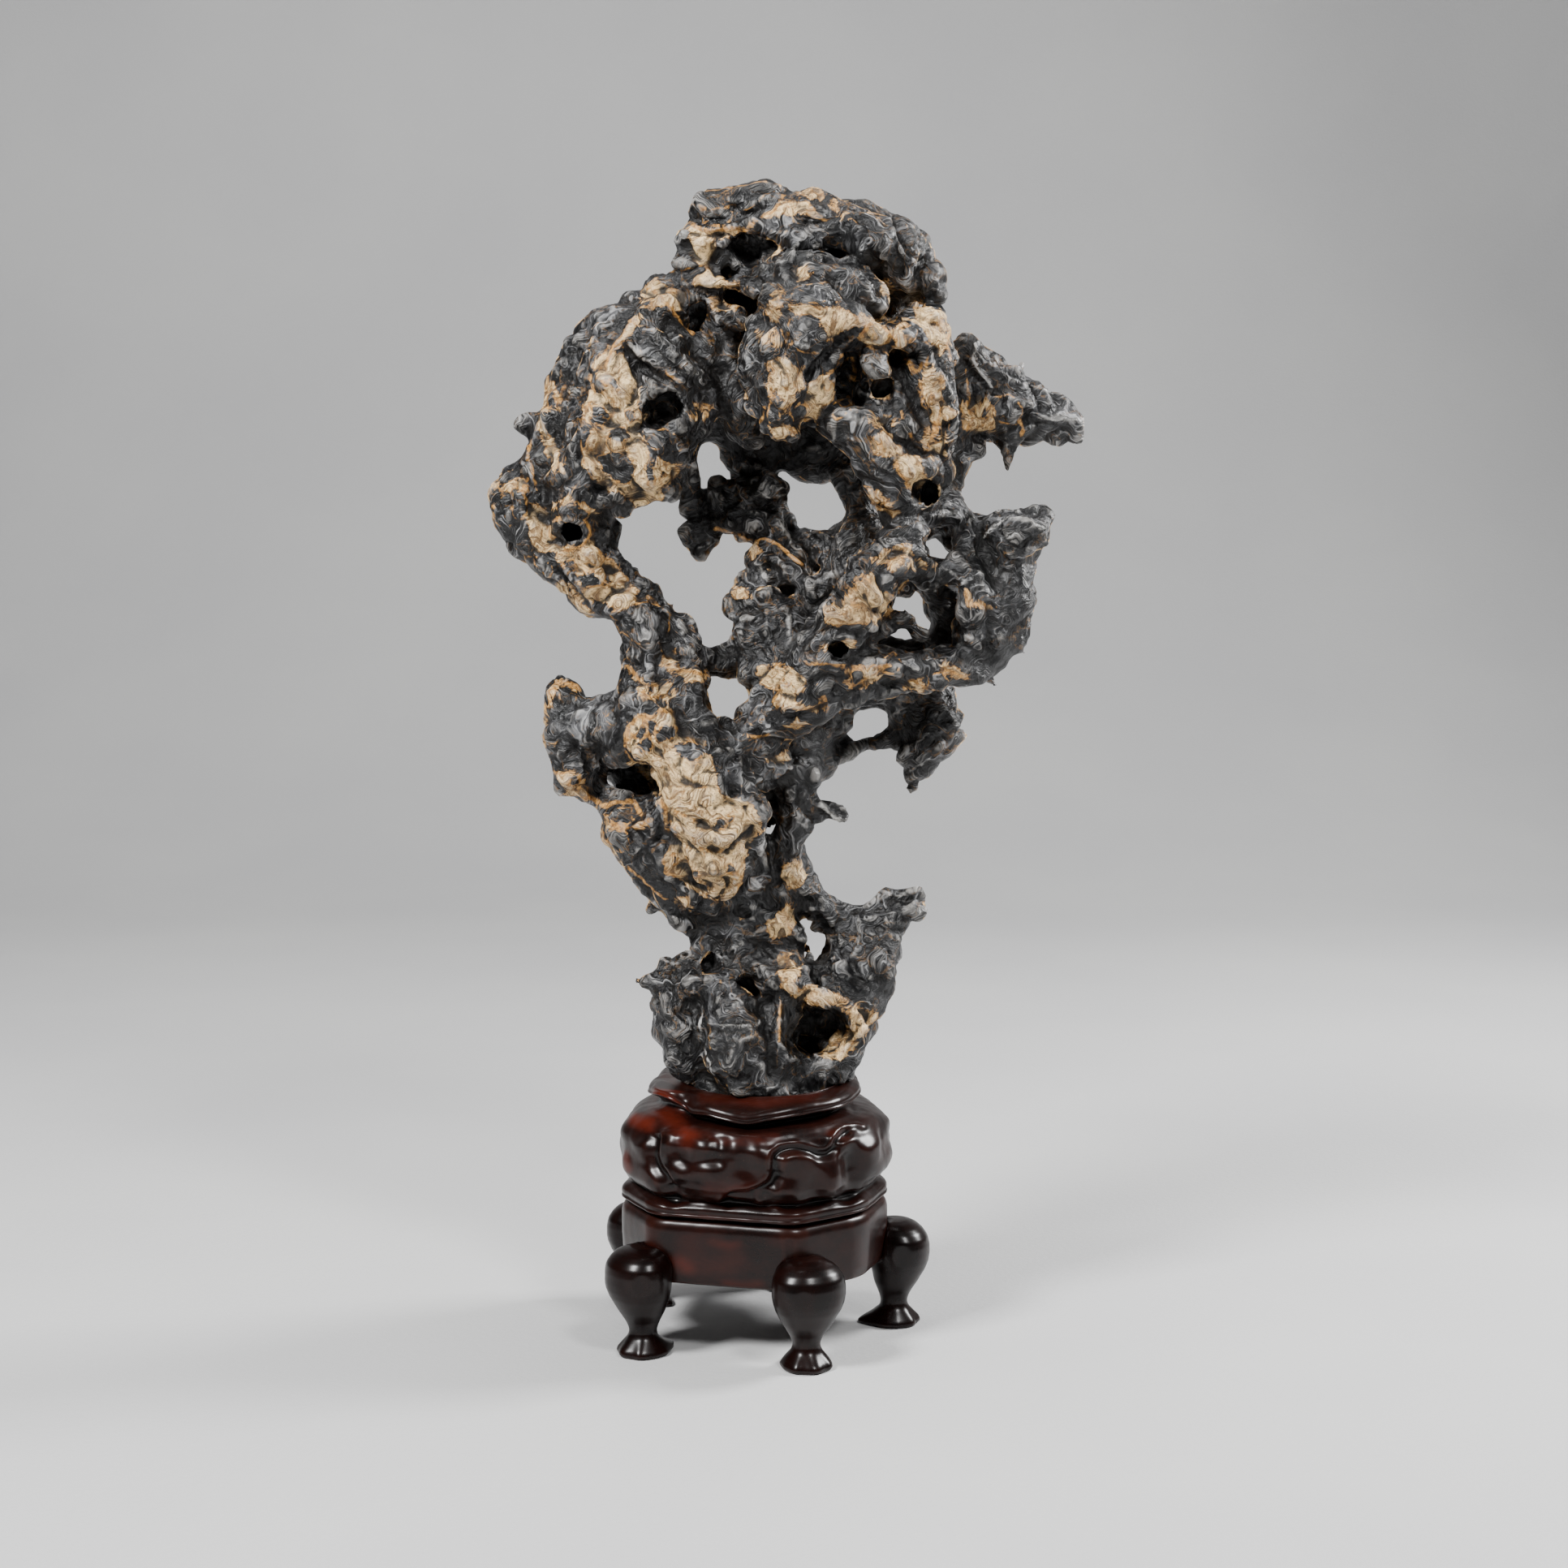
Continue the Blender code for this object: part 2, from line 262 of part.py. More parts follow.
def lump(radius, deep, centre):
    """An ellipsoid of points round a knot, as a list of coordinates."""
    made = bmesh.new()
    bmesh.ops.create_icosphere(made, subdivisions=2, radius=radius)
    points = [centre + Vector((v.co.x, v.co.y * deep, v.co.z)) for v in made.verts]
    made.free()
    return points


def add_chain(mesh, knots, deep=1.0):
    """Adds to a bmesh one hull over each pair of neighbouring knots, so that the chain swells and narrows."""
    lumps = [lump(radius, deep, seen_at(across, up, back)) for across, up, back, radius in knots]
    for first, second in zip(lumps, lumps[1:]):
        verts = [mesh.verts.new(p) for p in first + second]
        hull = bmesh.ops.convex_hull(mesh, input=verts)
        inside = set(hull["geom_interior"]) | set(hull["geom_unused"])
        bmesh.ops.delete(mesh, geom=[g for g in inside if isinstance(g, bmesh.types.BMVert)], context="VERTS")


def object_of(mesh, name):
    """A new object in the scene that holds a bmesh, which is freed."""
    data = bpy.data.meshes.new(name)
    mesh.to_mesh(data)
    mesh.free()
    made = bpy.data.objects.new(name, data)
    bpy.context.scene.collection.objects.link(made)
    return made


def applied(obj):
    """Replaces an object's mesh by what its modifiers make of it."""
    bpy.context.view_layer.update()
    graph = bpy.context.evaluated_depsgraph_get()
    data = bpy.data.meshes.new_from_object(obj.evaluated_get(graph))
    obj.modifiers.clear()
    obj.data = data
    return obj


def remeshed(obj, voxel):
    """Overlapping closed shapes made one skin."""
    step = obj.modifiers.new("skin", "REMESH")
    step.mode = "VOXEL"
    step.voxel_size = voxel
    step.use_smooth_shade = True
    return applied(obj)


def keep_largest(mesh):
    """Deletes every loose island of a bmesh but the one with the most faces."""
    left = set(mesh.verts)
    islands = []
    while left:
        stack = [left.pop()]
        island = set(stack)
        while stack:
            for edge in stack.pop().link_edges:
                for vert in edge.verts:
                    if vert in left:
                        left.discard(vert)
                        island.add(vert)
                        stack.append(vert)
        islands.append(island)
    islands.sort(key=len)
    for island in islands[:-1]:
        bmesh.ops.delete(mesh, geom=list(island), context="VERTS")


def weather(mesh):
    """Moves each vertex along its normal: broad swellings, then rounded lumps with creases between them."""
    mesh.normal_update()
    moves = []
    for vert in mesh.verts:
        p = vert.co
        swell = noise.noise(p / 38.0 + Vector((4.0, 0.0, 9.0)))
        lumps = abs(noise.noise(p / 17.0 + Vector((7.1, 3.3, 1.9)))) - 0.22
        fine = noise.noise(p / 8.0)
        moves.append(vert.normal * (3.4 * swell + 8.0 * lumps + 0.8 * fine - 1.2))
    for vert, move in zip(mesh.verts, moves):
        vert.co += move


def make_rock():
    skin = bmesh.new()
    for _, deep, knots in LIMBS:
        add_chain(skin, knots, deep)
    rock = remeshed(object_of(skin, "rock"), ROCK_VOXEL)

    holes = bmesh.new()
    for _, knots in HOLLOWS:
        add_chain(holes, knots)
    cutter = remeshed(object_of(holes, "rock_hollows"), ROCK_VOXEL)

    cut = rock.modifiers.new("hollows", "BOOLEAN")
    cut.operation = "DIFFERENCE"
    cut.object = cutter
    applied(rock)
    bpy.data.objects.remove(cutter)
    remeshed(rock, ROCK_VOXEL)

    soften = rock.modifiers.new("soften", "SMOOTH")
    soften.factor = 0.5
    soften.iterations = 4
    applied(rock)

    surface = bmesh.new()
    surface.from_mesh(rock.data)
    weather(surface)
    keep_largest(surface)
    surface.to_mesh(rock.data)
    surface.free()

    thin = rock.modifiers.new("facets", "DECIMATE")
    thin.ratio = ROCK_TRIANGLES / (2 * len(rock.data.polygons))
    applied(rock)
    return trim_foot(rock)


# ---------------------------------------------------------------------------------------------------------
# Stand. Everything is turned round one upright axis; angles run from the front, positive towards the right.

STAND_AXIS = Vector((-18.0, 0.0, 0.0))
STAND_GAP = 0.35

# The rock's foot is trimmed to an oval tenon that drops into the upper block. Centre across, half sizes of
# the oval at its mouth, height of its floor and mouth, and how much it narrows downwards.
SEAT_CENTRE = -13.5
SEAT_HALF = (48.0, 50.0)
SEAT_FLOOR = 138.0
SEAT_MOUTH = 159.6
SEAT_TAPER = 0.88

# Corners of the apron in plan: angle and radius.
PLAN = ((-80, 86.0), (-47, 86.0), (17, 85.5), (53, 84.5), (88, 84.5), (125, 85.0), (161, 85.0), (197, 85.5), (239, 86.0))

# Edge of the collar: angle, radius and height.
COLLAR_EDGE = ((-90, 67.5, 154), (-74, 68, 156), (-60, 69, 159), (-51, 67, 158), (-44, 61, 153), (-38, 64, 151),
               (-26, 69, 153), (-14, 71, 151), (-4, 71.5, 149), (8, 70, 151.5), (20, 69.5, 153), (34, 69, 153.5),
               (52, 68.5, 153.5), (68, 67, 154), (84, 66.5, 155), (100, 66, 156), (122, 68, 157), (146, 69, 156),
               (170, 68, 155), (196, 69, 157), (224, 71, 158), (246, 67, 156), (259, 65, 155))

# Knobs carved on the body: angle, height, reach, half angle and half height. A negative reach is a hollow.
KNOBS = ((-78, 130, 3.5, 9, 8), (-62, 130, 3.0, 9, 8), (-72, 110, 2.5, 10, 9), (-52, 116, 3.5, 8, 13), (-38, 133, 3.5, 8, 6),
         (-26, 134, 4.0, 7, 6), (-27, 119, 4.5, 9, 7), (-11, 133, 3.0, 6, 7), (-12, 119, 3.5, 7, 7), (-36, 107, 2.5, 10, 6),
         (-19, 126, -3.0, 5, 6), (-43, 124, -3.0, 5, 12), (8, 128, 5.0, 9, 10), (20, 116, 5.0, 9, 11), (33, 110, 4.5, 9, 11),
         (29, 130, -2.5, 7, 7), (44, 134, 4.5, 8, 7), (45, 117, -2.0, 6, 8), (60, 126, 3.0, 8, 9), (62, 109, 2.5, 10, 8),
         (80, 114, 3.5, 10, 10), (90, 132, 3.0, 9, 7), (104, 118, 4.0, 10, 10), (122, 128, 4.0, 10, 9),
         (128, 109, 3.5, 10, 8), (144, 122, -3.0, 7, 8), (158, 130, 4.0, 9, 8), (164, 112, 4.5, 10, 9),
         (184, 124, 4.0, 10, 10), (204, 112, 4.0, 10, 8), (210, 131, 3.5, 9, 7), (228, 119, 4.5, 10, 10),
         (246, 130, 3.5, 9, 8), (252, 110, 3.5, 10, 8), (266, 118, 3.0, 9, 10))

# Section of the upper block from its underside to its crown: height, radius, how far the plan, the knobs and
# the collar edge shape it.
TOP_ROWS = ((86, 80.0, 1.0, 0, 0), (88.5, 84.4, 1.0, 0, 0), (92, 85.2, 1.0, 0, 0), (94.8, 82.6, 1.0, 0, 0),
            (96.8, 79.6, 0.9, 0, 0), (101, 81.5, 0.6, 0.6, 0), (107, 82.5, 0.3, 1.0, 0), (113.5, 82.5, 0.2, 1.0, 0),
            (120, 82.0, 0.1, 1.0, 0), (126.5, 81.0, 0, 1.0, 0), (133, 79.0, 0, 1.0, 0), (138.5, 74.5, 0, 0.7, 0),
            (142.5, 66.0, 0, 0.2, 0.2), (145, 59.0, 0, 0, 0.5), (150.6, 65.4, 0, 0, 1.0), (151.8, 68.0, 0, 0, 1.0),
            (154.2, 68.0, 0, 0, 1.0), (155.6, 64.5, 0, 0, 0.8), (157.4, 57.5, 0, 0, 0.4))

# Section of the apron, from its crown to its underside.
APRON_ROWS = ((85.6, 79.6), (83.6, 83.6), (80, 85.0), (66, 85.0), (52, 84.0), (46, 82.6), (45, 81.0))

# A leg from its sole to the top of the knee: height, half width, reach outwards, reach inwards, distance
# of the section's middle from the axis.
LEG_ANGLES = (("leg_front_left", -51), ("leg_front_right", 21), ("leg_right", 93), ("leg_back_right", 165),
              ("leg_back_left", 237))
LEG_ROWS = ((0, 14.5, 14.5, 22, 88.5), (2.5, 15.8, 15.6, 24, 88.5), (6.5, 13.4, 13.4, 16, 88.5), (11, 9.6, 9.6, 9, 88),
            (15.5, 8.4, 8.4, 8.5, 88), (21, 10.6, 10.2, 10.5, 88.3), (28, 15.4, 13.8, 14, 89.2), (37, 20.2, 17.2, 17.6, 90.8),
            (47, 22.8, 18.5, 20, 92), (57, 21.8, 17.4, 20, 91.7), (63, 17.6, 14, 17.5, 90.6), (67.3, 8.5, 7.5, 11, 88.4))


def along(table, angle, column):
    """The value in a column of a table of angles, read smoothly between its rows and round the back."""
    rows = [row for row in table]
    angles = [row[0] for row in rows]
    while angle < angles[0]:
        angle += 360.0
    while angle >= angles[0] + 360.0:
        angle -= 360.0
    for i, row in enumerate(rows):
        following = rows[(i + 1) % len(rows)]
        end = following[0] + (360.0 if i + 1 == len(rows) else 0.0)
        if row[0] <= angle <= end:
            t = (angle - row[0]) / (end - row[0])
            return row[column] * (1 - t) + following[column] * t
    return rows[0][column]


def plan_radius(angle):
    """Radius of the apron's soft-cornered plan."""
    total = 0.0
    for step in range(-4, 5):
        a = angle + step * 1.6
        for i, (start, r0) in enumerate(PLAN):
            end, r1 = PLAN[(i + 1) % len(PLAN)]
            if i + 1 == len(PLAN):
                end += 360
            b = a if a >= PLAN[0][0] else a + 360
            b = b - 360 if b >= PLAN[0][0] + 360 else b
            if start <= b <= end:
                t0, t1, tb = (math.radians(v) for v in (start, end, b))
                x0, y0, x1, y1 = r0 * math.sin(t0), r0 * math.cos(t0), r1 * math.sin(t1), r1 * math.cos(t1)
                total += (x0 * y1 - x1 * y0) / (math.sin(tb) * (y1 - y0) - math.cos(tb) * (x1 - x0)) * -1
                break
    return abs(total) / 9


def knob_reach(angle, height):
    """How far the carved knobs stand out of the body at a point."""
    reach = 0.0
    for at, up, tall, half_angle, half_height in KNOBS:
        away = (angle - at + 180.0) % 360.0 - 180.0
        d = (away / half_angle) ** 2 + ((height - up) / half_height) ** 2
        reach += 1.5 * tall * math.exp(-d * 0.9)
    return reach


def ring_solid(name, rings, cap_start=True, cap_end=True):
    """A closed mesh from rings of points with the same count, capped at both ends or joined end to start."""
    made = bmesh.new()
    verts = [[made.verts.new(p) for p in ring] for ring in rings]
    count = len(verts[0])
    pairs = list(zip(verts, verts[1:]))
    for low, high in pairs:
        for i in range(count):
            j = (i + 1) % count
            made.faces.new((low[i], low[j], high[j], high[i]))
    for ring, flip in ((verts[0], True), (verts[-1], False)):
        middle = made.verts.new(sum((v.co for v in ring), Vector()) / count)
        for i in range(count):
            j = (i + 1) % count
            made.faces.new((ring[j], ring[i], middle) if flip else (ring[i], ring[j], middle))
    bmesh.ops.recalc_face_normals(made, faces=made.faces)
    return object_of(made, name)


def turned(angle, radius, height):
    a = math.radians(angle)
    return STAND_AXIS + Vector((radius * math.sin(a), -radius * math.cos(a), height))


def cut_away(obj, cutter):
    """Takes a cutter out of an object and removes the cutter."""
    step = obj.modifiers.new("cut", "BOOLEAN")
    step.operation = "DIFFERENCE"
    step.solver = "EXACT"
    step.object = cutter
    applied(obj)
    bpy.data.objects.remove(cutter)
    return obj


def seat_ring(height, scale, play, steps=48):
    """A ring of points round the oval seat."""
    ring = []
    for i in range(steps):
        a = math.radians(-90.0 + 360.0 * i / steps)
        ring.append(Vector((SEAT_CENTRE + (SEAT_HALF[0] * scale + play) * math.sin(a), -(SEAT_HALF[1] * scale + play) * math.cos(a), height)))
    return ring


def mend(obj):
    """Removes slivers from a mesh, opens any spot where it touches itself and closes that spot again."""
    made = bmesh.new()
    made.from_mesh(obj.data)
    bmesh.ops.remove_doubles(made, verts=made.verts, dist=0.12)
    bmesh.ops.dissolve_degenerate(made, edges=made.edges, dist=0.05)
    for _ in range(4):
        touching = {v for e in made.edges if not e.is_manifold for v in e.verts} | {v for v in made.verts if not v.is_manifold}
        if not touching:
            break
        bmesh.ops.delete(made, geom=list(touching), context="VERTS")
        bmesh.ops.holes_fill(made, edges=[e for e in made.edges if e.is_boundary])
    bmesh.ops.triangulate(made, faces=made.faces)
    keep_largest(made)
    bmesh.ops.recalc_face_normals(made, faces=made.faces)
    made.to_mesh(obj.data)
    made.free()
    return obj


def trim_foot(rock):
    """Cuts the rock's foot to the oval tenon. Above the mouth of the seat nothing is touched."""
    keep = [seat_ring(SEAT_FLOOR, SEAT_TAPER, 0), seat_ring(SEAT_MOUTH + 0.35, 1.0, 0), seat_ring(SEAT_MOUTH + 0.4, 1.0, 300),
            seat_ring(800.0, 1.0, 300)]
    cutter = ring_solid("foot_limit", keep)
    step = rock.modifiers.new("foot", "BOOLEAN")
    step.operation = "INTERSECT"
    step.solver = "EXACT"
    step.object = cutter
    applied(rock)
    bpy.data.objects.remove(cutter)
    return mend(rock)


def make_stand_top():
    steps = 48
    rings = []
    for height, radius, plan, knobs, edge in TOP_ROWS:
        ring = []
        for i in range(steps):
            angle = -90.0 + 360.0 * i / steps
            r = radius * (1 - plan) + radius * plan * plan_radius(angle) / 85.0
            r += knobs * knob_reach(angle, height)
            r += edge * (along(COLLAR_EDGE, angle, 1) - 68.0)
            z = height + edge * (along(COLLAR_EDGE, angle, 2) - 154.0)
            ring.append(turned(angle, r, z))
        rings.append(ring)
    rings += [seat_ring(SEAT_MOUTH, 1.0, 2.6), seat_ring(SEAT_MOUTH - 0.3, 1.0, STAND_GAP), seat_ring(SEAT_FLOOR - 0.4, SEAT_TAPER, STAND_GAP)]
    return ring_solid("stand_top", rings)


def make_apron():
    rings = []
    for height, radius in APRON_ROWS:
        rings.append([turned(a, radius * plan_radius(a) / 85.0, height) for a in (-90.0 + 7.5 * i for i in range(48))])
    return ring_solid("stand_apron", rings)


def make_leg(name, at):
    rings = []
    for height, half, out, inward, middle in LEG_ROWS:
        ring = []
        for i in range(10):
            a = math.tau * i / 10
            across, reach = half * math.sin(a), math.cos(a)
            reach = reach * out if reach > 0 else reach * inward
            if height < 8 and math.cos(a) < -0.4:
                across *= 0.55 if math.cos(a) > -0.95 else 1.0
            turn = math.radians(at)
            outward = Vector((math.sin(turn), -math.cos(turn), 0))
            side = Vector((math.cos(turn), math.sin(turn), 0))
            ring.append(STAND_AXIS + outward * (middle + reach) + side * across + Vector((0, 0, height)))
        rings.append(ring)
    leg = ring_solid(name, rings)
    body = [[turned(a, (radius + STAND_GAP) * plan_radius(a) / 85.0, height) for a in (-90.0 + 7.5 * i for i in range(48))]
            for height, radius in ((44.6, 10.0), (44.6, 80.9), (45.8, 82.9), (52.0, 84.1), (66.0, 85.1), (80.0, 85.1), (86.0, 85.1))]
    return cut_away(leg, ring_solid("leg_seat", body))


def finished(obj, colour, roughness):
    """Gives a finished solid its own material and takes it from millimetres to metres."""
    paint = bpy.data.materials.new(obj.name)
    paint.use_nodes = True
    shader = paint.node_tree.nodes["Principled BSDF"]
    shader.inputs["Base Color"].default_value = (*colour, 1.0)
    shader.inputs["Roughness"].default_value = roughness
    obj.data.materials.clear()
    obj.data.materials.append(paint)
    return obj


for old in list(bpy.data.objects):
    bpy.data.objects.remove(old)

rock = make_rock()
top = make_stand_top()
apron = make_apron()
legs = [make_leg(name, at) for name, at in LEG_ANGLES]
for piece in (rock, top, apron, *legs):
    piece.data.transform(Matrix.Scale(SCALE, 4))
for piece in (top, apron, *legs):
    finished(piece, (0.055, 0.018, 0.012), 0.28)
finished(rock, (0.16, 0.155, 0.15), 0.6)
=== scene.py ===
import math

import bmesh
import bpy
import numpy as np
from mathutils import Matrix, Vector, noise
from mathutils.bvhtree import BVHTree


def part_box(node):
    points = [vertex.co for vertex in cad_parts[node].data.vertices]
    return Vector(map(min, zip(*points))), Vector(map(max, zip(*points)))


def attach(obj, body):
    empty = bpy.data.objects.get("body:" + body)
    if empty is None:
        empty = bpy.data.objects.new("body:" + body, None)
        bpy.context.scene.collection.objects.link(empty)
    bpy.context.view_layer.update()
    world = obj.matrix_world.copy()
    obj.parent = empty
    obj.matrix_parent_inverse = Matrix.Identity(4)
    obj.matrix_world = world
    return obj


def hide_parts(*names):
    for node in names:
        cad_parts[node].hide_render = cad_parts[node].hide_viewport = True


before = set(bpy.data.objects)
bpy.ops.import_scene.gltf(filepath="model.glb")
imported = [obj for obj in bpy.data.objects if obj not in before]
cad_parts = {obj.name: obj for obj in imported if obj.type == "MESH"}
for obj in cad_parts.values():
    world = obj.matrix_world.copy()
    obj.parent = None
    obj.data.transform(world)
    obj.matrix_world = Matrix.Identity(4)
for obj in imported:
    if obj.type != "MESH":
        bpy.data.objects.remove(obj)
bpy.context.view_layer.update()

# ---------------------------------------------------------------------------------------------------------
# The viewer's place. An eye 1.61 m in front of the piece and a little above its middle looks slightly down.
# What stands on the piece is drawn on a front elevation: a point is (across, up) in millimetres, as that eye
# sees it against the upright plane through the origin.

EYE = Vector((0.0, -1610.0, 525.5))
EYE_PITCH = math.radians(6.4)
ELEVATION_MIDDLE = 327.0

eye = bpy.data.cameras.new("eye")
eye.lens = 60.0
eye.sensor_width = 36.0
eye.clip_end = 20.0
eye_stand = bpy.data.objects.new("eye", eye)
eye_stand.location = EYE * 0.001
eye_stand.rotation_euler = (math.radians(90.0) - EYE_PITCH, 0.0, 0.0)
bpy.context.scene.collection.objects.link(eye_stand)
bpy.context.scene.camera = eye_stand


# ---------------------------------------------------------------------------------------------------------
# Shader sums. A wire is one socket of a material. Sums, differences and products of wires are Math nodes,
# and any other node comes from node().

class Wire:
    """A socket of a material's node tree, written like a number."""

    def __init__(self, tree, socket=None):
        self.tree = tree
        self.socket = socket

    def node(self, kind, settings=None, sockets=None, out=0):
        """A new node: its settings first, then its sockets, by name or number, as values or wires."""
        made = self.tree.nodes.new(kind)
        for key, value in (settings or {}).items():
            setattr(made, key, value)
        for key, value in (sockets or {}).items():
            if isinstance(value, Wire):
                self.tree.links.new(value.socket, made.inputs[key])
            else:
                made.inputs[key].default_value = value
        return Wire(self.tree, made.outputs[out])

    def maths(self, operation, *terms):
        return self.node("ShaderNodeMath", {"operation": operation}, dict(enumerate(terms)))

    def __add__(self, other):
        return self.maths("ADD", self, other)

    def __sub__(self, other):
        return self.maths("SUBTRACT", self, other)

    def __rsub__(self, other):
        return self.maths("SUBTRACT", other, self)

    def __mul__(self, other):
        return self.maths("MULTIPLY", self, other)

    __radd__, __rmul__ = __add__, __mul__

    def near(self, middle, width):
        """1 where this wire is at middle, falling to 0 at width from it."""
        return 1.0 - (self - middle).size().between(0.0, width)

    def size(self):
        return self.maths("ABSOLUTE", self)

    def between(self, low, high):
        """0 below low, 1 above high, smooth between."""
        return self.node("ShaderNodeMapRange", {"interpolation_type": "SMOOTHSTEP"},
                         {"Value": self, "From Min": low, "From Max": high})

    def grain(self, size, detail=2.0, rough=0.5, distort=0.0, out=0):
        """Noise whose lumps are about size metres across, laid where this wire's coordinates say."""
        return self.node("ShaderNodeTexNoise", {}, {"Vector": self, "Scale": 1.0 / size, "Detail": detail,
                                                    "Roughness": rough, "Distortion": distort}, out)

    def streaked(self, level, size):
        """Noise in streaks: even along the lines where level stays the same, quick from one to the next."""
        return self.node("ShaderNodeTexNoise", {"noise_dimensions": "4D"},
                         {"Vector": self, "W": level, "Scale": 1.0 / size, "Detail": 3.0, "Roughness": 0.6})

    def mixed(self, first, second):
        """The colour first turned into second as this wire goes from 0 to 1."""
        return self.node("ShaderNodeMix", {"data_type": "RGBA"}, {0: self, 6: first, 7: second}, 2)

    def moved(self, other, much):
        """These coordinates pushed about by the colour of another wire."""
        push = self.node("ShaderNodeVectorMath", {"operation": "MULTIPLY_ADD"},
                         {0: other, 1: (much,) * 3, 2: (-0.5 * much,) * 3})
        return self.node("ShaderNodeVectorMath", {"operation": "ADD"}, {0: self, 1: push})


def new_finish(name):
    """An empty material, with its tree as a wire and its object coordinates."""
    finish = bpy.data.materials.new(name)
    finish.use_nodes = True
    tree = finish.node_tree
    tree.nodes.clear()
    start = Wire(tree)
    place = start.node("ShaderNodeTexCoord", out=3)
    return finish, start, place


def surfaced(start, colour, roughness, height, depth, coat=0.0, coat_roughness=0.1, specular=0.5):
    """Ends a material in one shader, with a bump of depth metres from height."""
    dent = start.node("ShaderNodeBump", {}, {"Strength": 1.0, "Distance": depth, "Height": height})
    skin = start.node("ShaderNodeBsdfPrincipled", {}, {
        "Base Color": colour, "Roughness": roughness, "Normal": dent, "Coat Weight": coat,
        "Coat Roughness": coat_roughness, "Specular IOR Level": specular})
    end = start.tree.nodes.new("ShaderNodeOutputMaterial")
    start.tree.links.new(skin.socket, end.inputs["Surface"])


def colour_of(red, green, blue):
    return (red, green, blue, 1.0)


# ---------------------------------------------------------------------------------------------------------
# The floor: pale matt board that sweeps up behind the piece into a backdrop, lit by four soft lamps and
# dim even light all round. It isn't part of the object.

FLOOR_FRONT, FLOOR_HALF_WIDTH = -4.0, 6.0
SWEEP_START, SWEEP_RADIUS, WALL_TOP = 1.6, 1.2, 5.0
BOARD_GREY, BOARD_PALE = (0.50, 0.50, 0.505), (0.55, 0.55, 0.545)
SKY_TINT, SKY_STRENGTH = (0.8, 0.82, 0.85), 0.03
# Each lamp: place and aim in metres, the side of its square, and its power in watts.
LAMPS = (("key_light", (-1.35, -1.20, 1.95), (0.0, 0.0, 0.40), 0.55, 112.0),
         ("front_light", (0.85, -1.45, 1.95), (0.0, 0.0, 0.38), 0.40, 38.0),
         ("right_light", (1.60, 0.45, 1.25), (0.0, 0.0, 0.30), 0.50, 72.0),
         ("top_light", (-0.1, 0.25, 2.1), (0.0, 0.0, 0.5), 0.5, 10.0))


def new_piece(name, verts, faces):
    """A smooth-shaded object from points and faces, linked into the scene."""
    data = bpy.data.meshes.new(name)
    data.from_pydata([tuple(v) for v in verts], [], faces)
    data.validate()
    data.shade_smooth()
    made = bpy.data.objects.new(name, data)
    bpy.context.scene.collection.objects.link(made)
    return made


sweep = [(SWEEP_START + SWEEP_RADIUS * math.sin(t), SWEEP_RADIUS - SWEEP_RADIUS * math.cos(t))
         for t in np.linspace(0, math.pi / 2, 17)]
sweep = [(FLOOR_FRONT, 0.0)] + sweep + [(SWEEP_START + SWEEP_RADIUS, WALL_TOP)]
floor_verts = [(x, y, z) for y, z in sweep for x in (-FLOOR_HALF_WIDTH, FLOOR_HALF_WIDTH)]
floor_faces = [(2 * i, 2 * i + 1, 2 * i + 3, 2 * i + 2) for i in range(len(sweep) - 1)]
floor = new_piece("floor", floor_verts, floor_faces)
board, start, place = new_finish("pale_board")
fibre = place.grain(0.004, 4.0)
cloud = place.grain(0.4, 3.0)
shade = cloud.between(0.2, 0.8).mixed(colour_of(*BOARD_GREY), colour_of(*BOARD_PALE))
surfaced(start, shade, 0.55 + fibre * 0.1, fibre, 0.0003)
floor.data.materials.append(board)

for name, place_at, aim, size, power in LAMPS:
    lamp = bpy.data.lights.new(name, "AREA")
    lamp.shape = "SQUARE"
    lamp.size = size
    lamp.energy = power
    lamp_stand = bpy.data.objects.new(name, lamp)
    lamp_stand.location = place_at
    lamp_stand.rotation_euler = (Vector(aim) - Vector(place_at)).to_track_quat("-Z", "Y").to_euler()
    bpy.context.scene.collection.objects.link(lamp_stand)

sky = bpy.data.worlds.new("studio")
sky.use_nodes = True
sky.node_tree.nodes["Background"].inputs["Color"].default_value = colour_of(*SKY_TINT)
sky.node_tree.nodes["Background"].inputs["Strength"].default_value = SKY_STRENGTH
bpy.context.scene.world = sky


# ---------------------------------------------------------------------------------------------------------
# Apron of the stand. A turned block of rosewood with five soft corners in plan, a rounded top edge under the
# bead and a hollowed underside, rubbed smooth and waxed. It is drawn in millimetres like every piece below.

STAND_AXIS = Vector((-18.0, 0.0, 0.0))
APRON_RADIUS = 85.0
# The plan's corners: (degrees round from the front, radius), and the section's points: (height, radius).
APRON_PLAN = (
    (-80, 86.0), (-47, 86.0), (17, 85.5), (53, 84.5), (88, 84.5), (125, 85.0), (161, 85.0), (197, 85.5),
    (239, 86.0),
)
APRON_SECTION = (
    (85.6, 76.0), (85.5, 78.6), (84.9, 81.0), (83.6, 82.9), (81.6, 84.1), (79.0, 84.8), (75.0, 85.0),
    (66.0, 85.0), (52.0, 84.1), (47.5, 83.2), (45.8, 82.4), (45.1, 80.8), (45.1, 74.0), (47.0, 71.5),
    (55.0, 69.0), (57.0, 40.0), (57.0, 8.0),
)
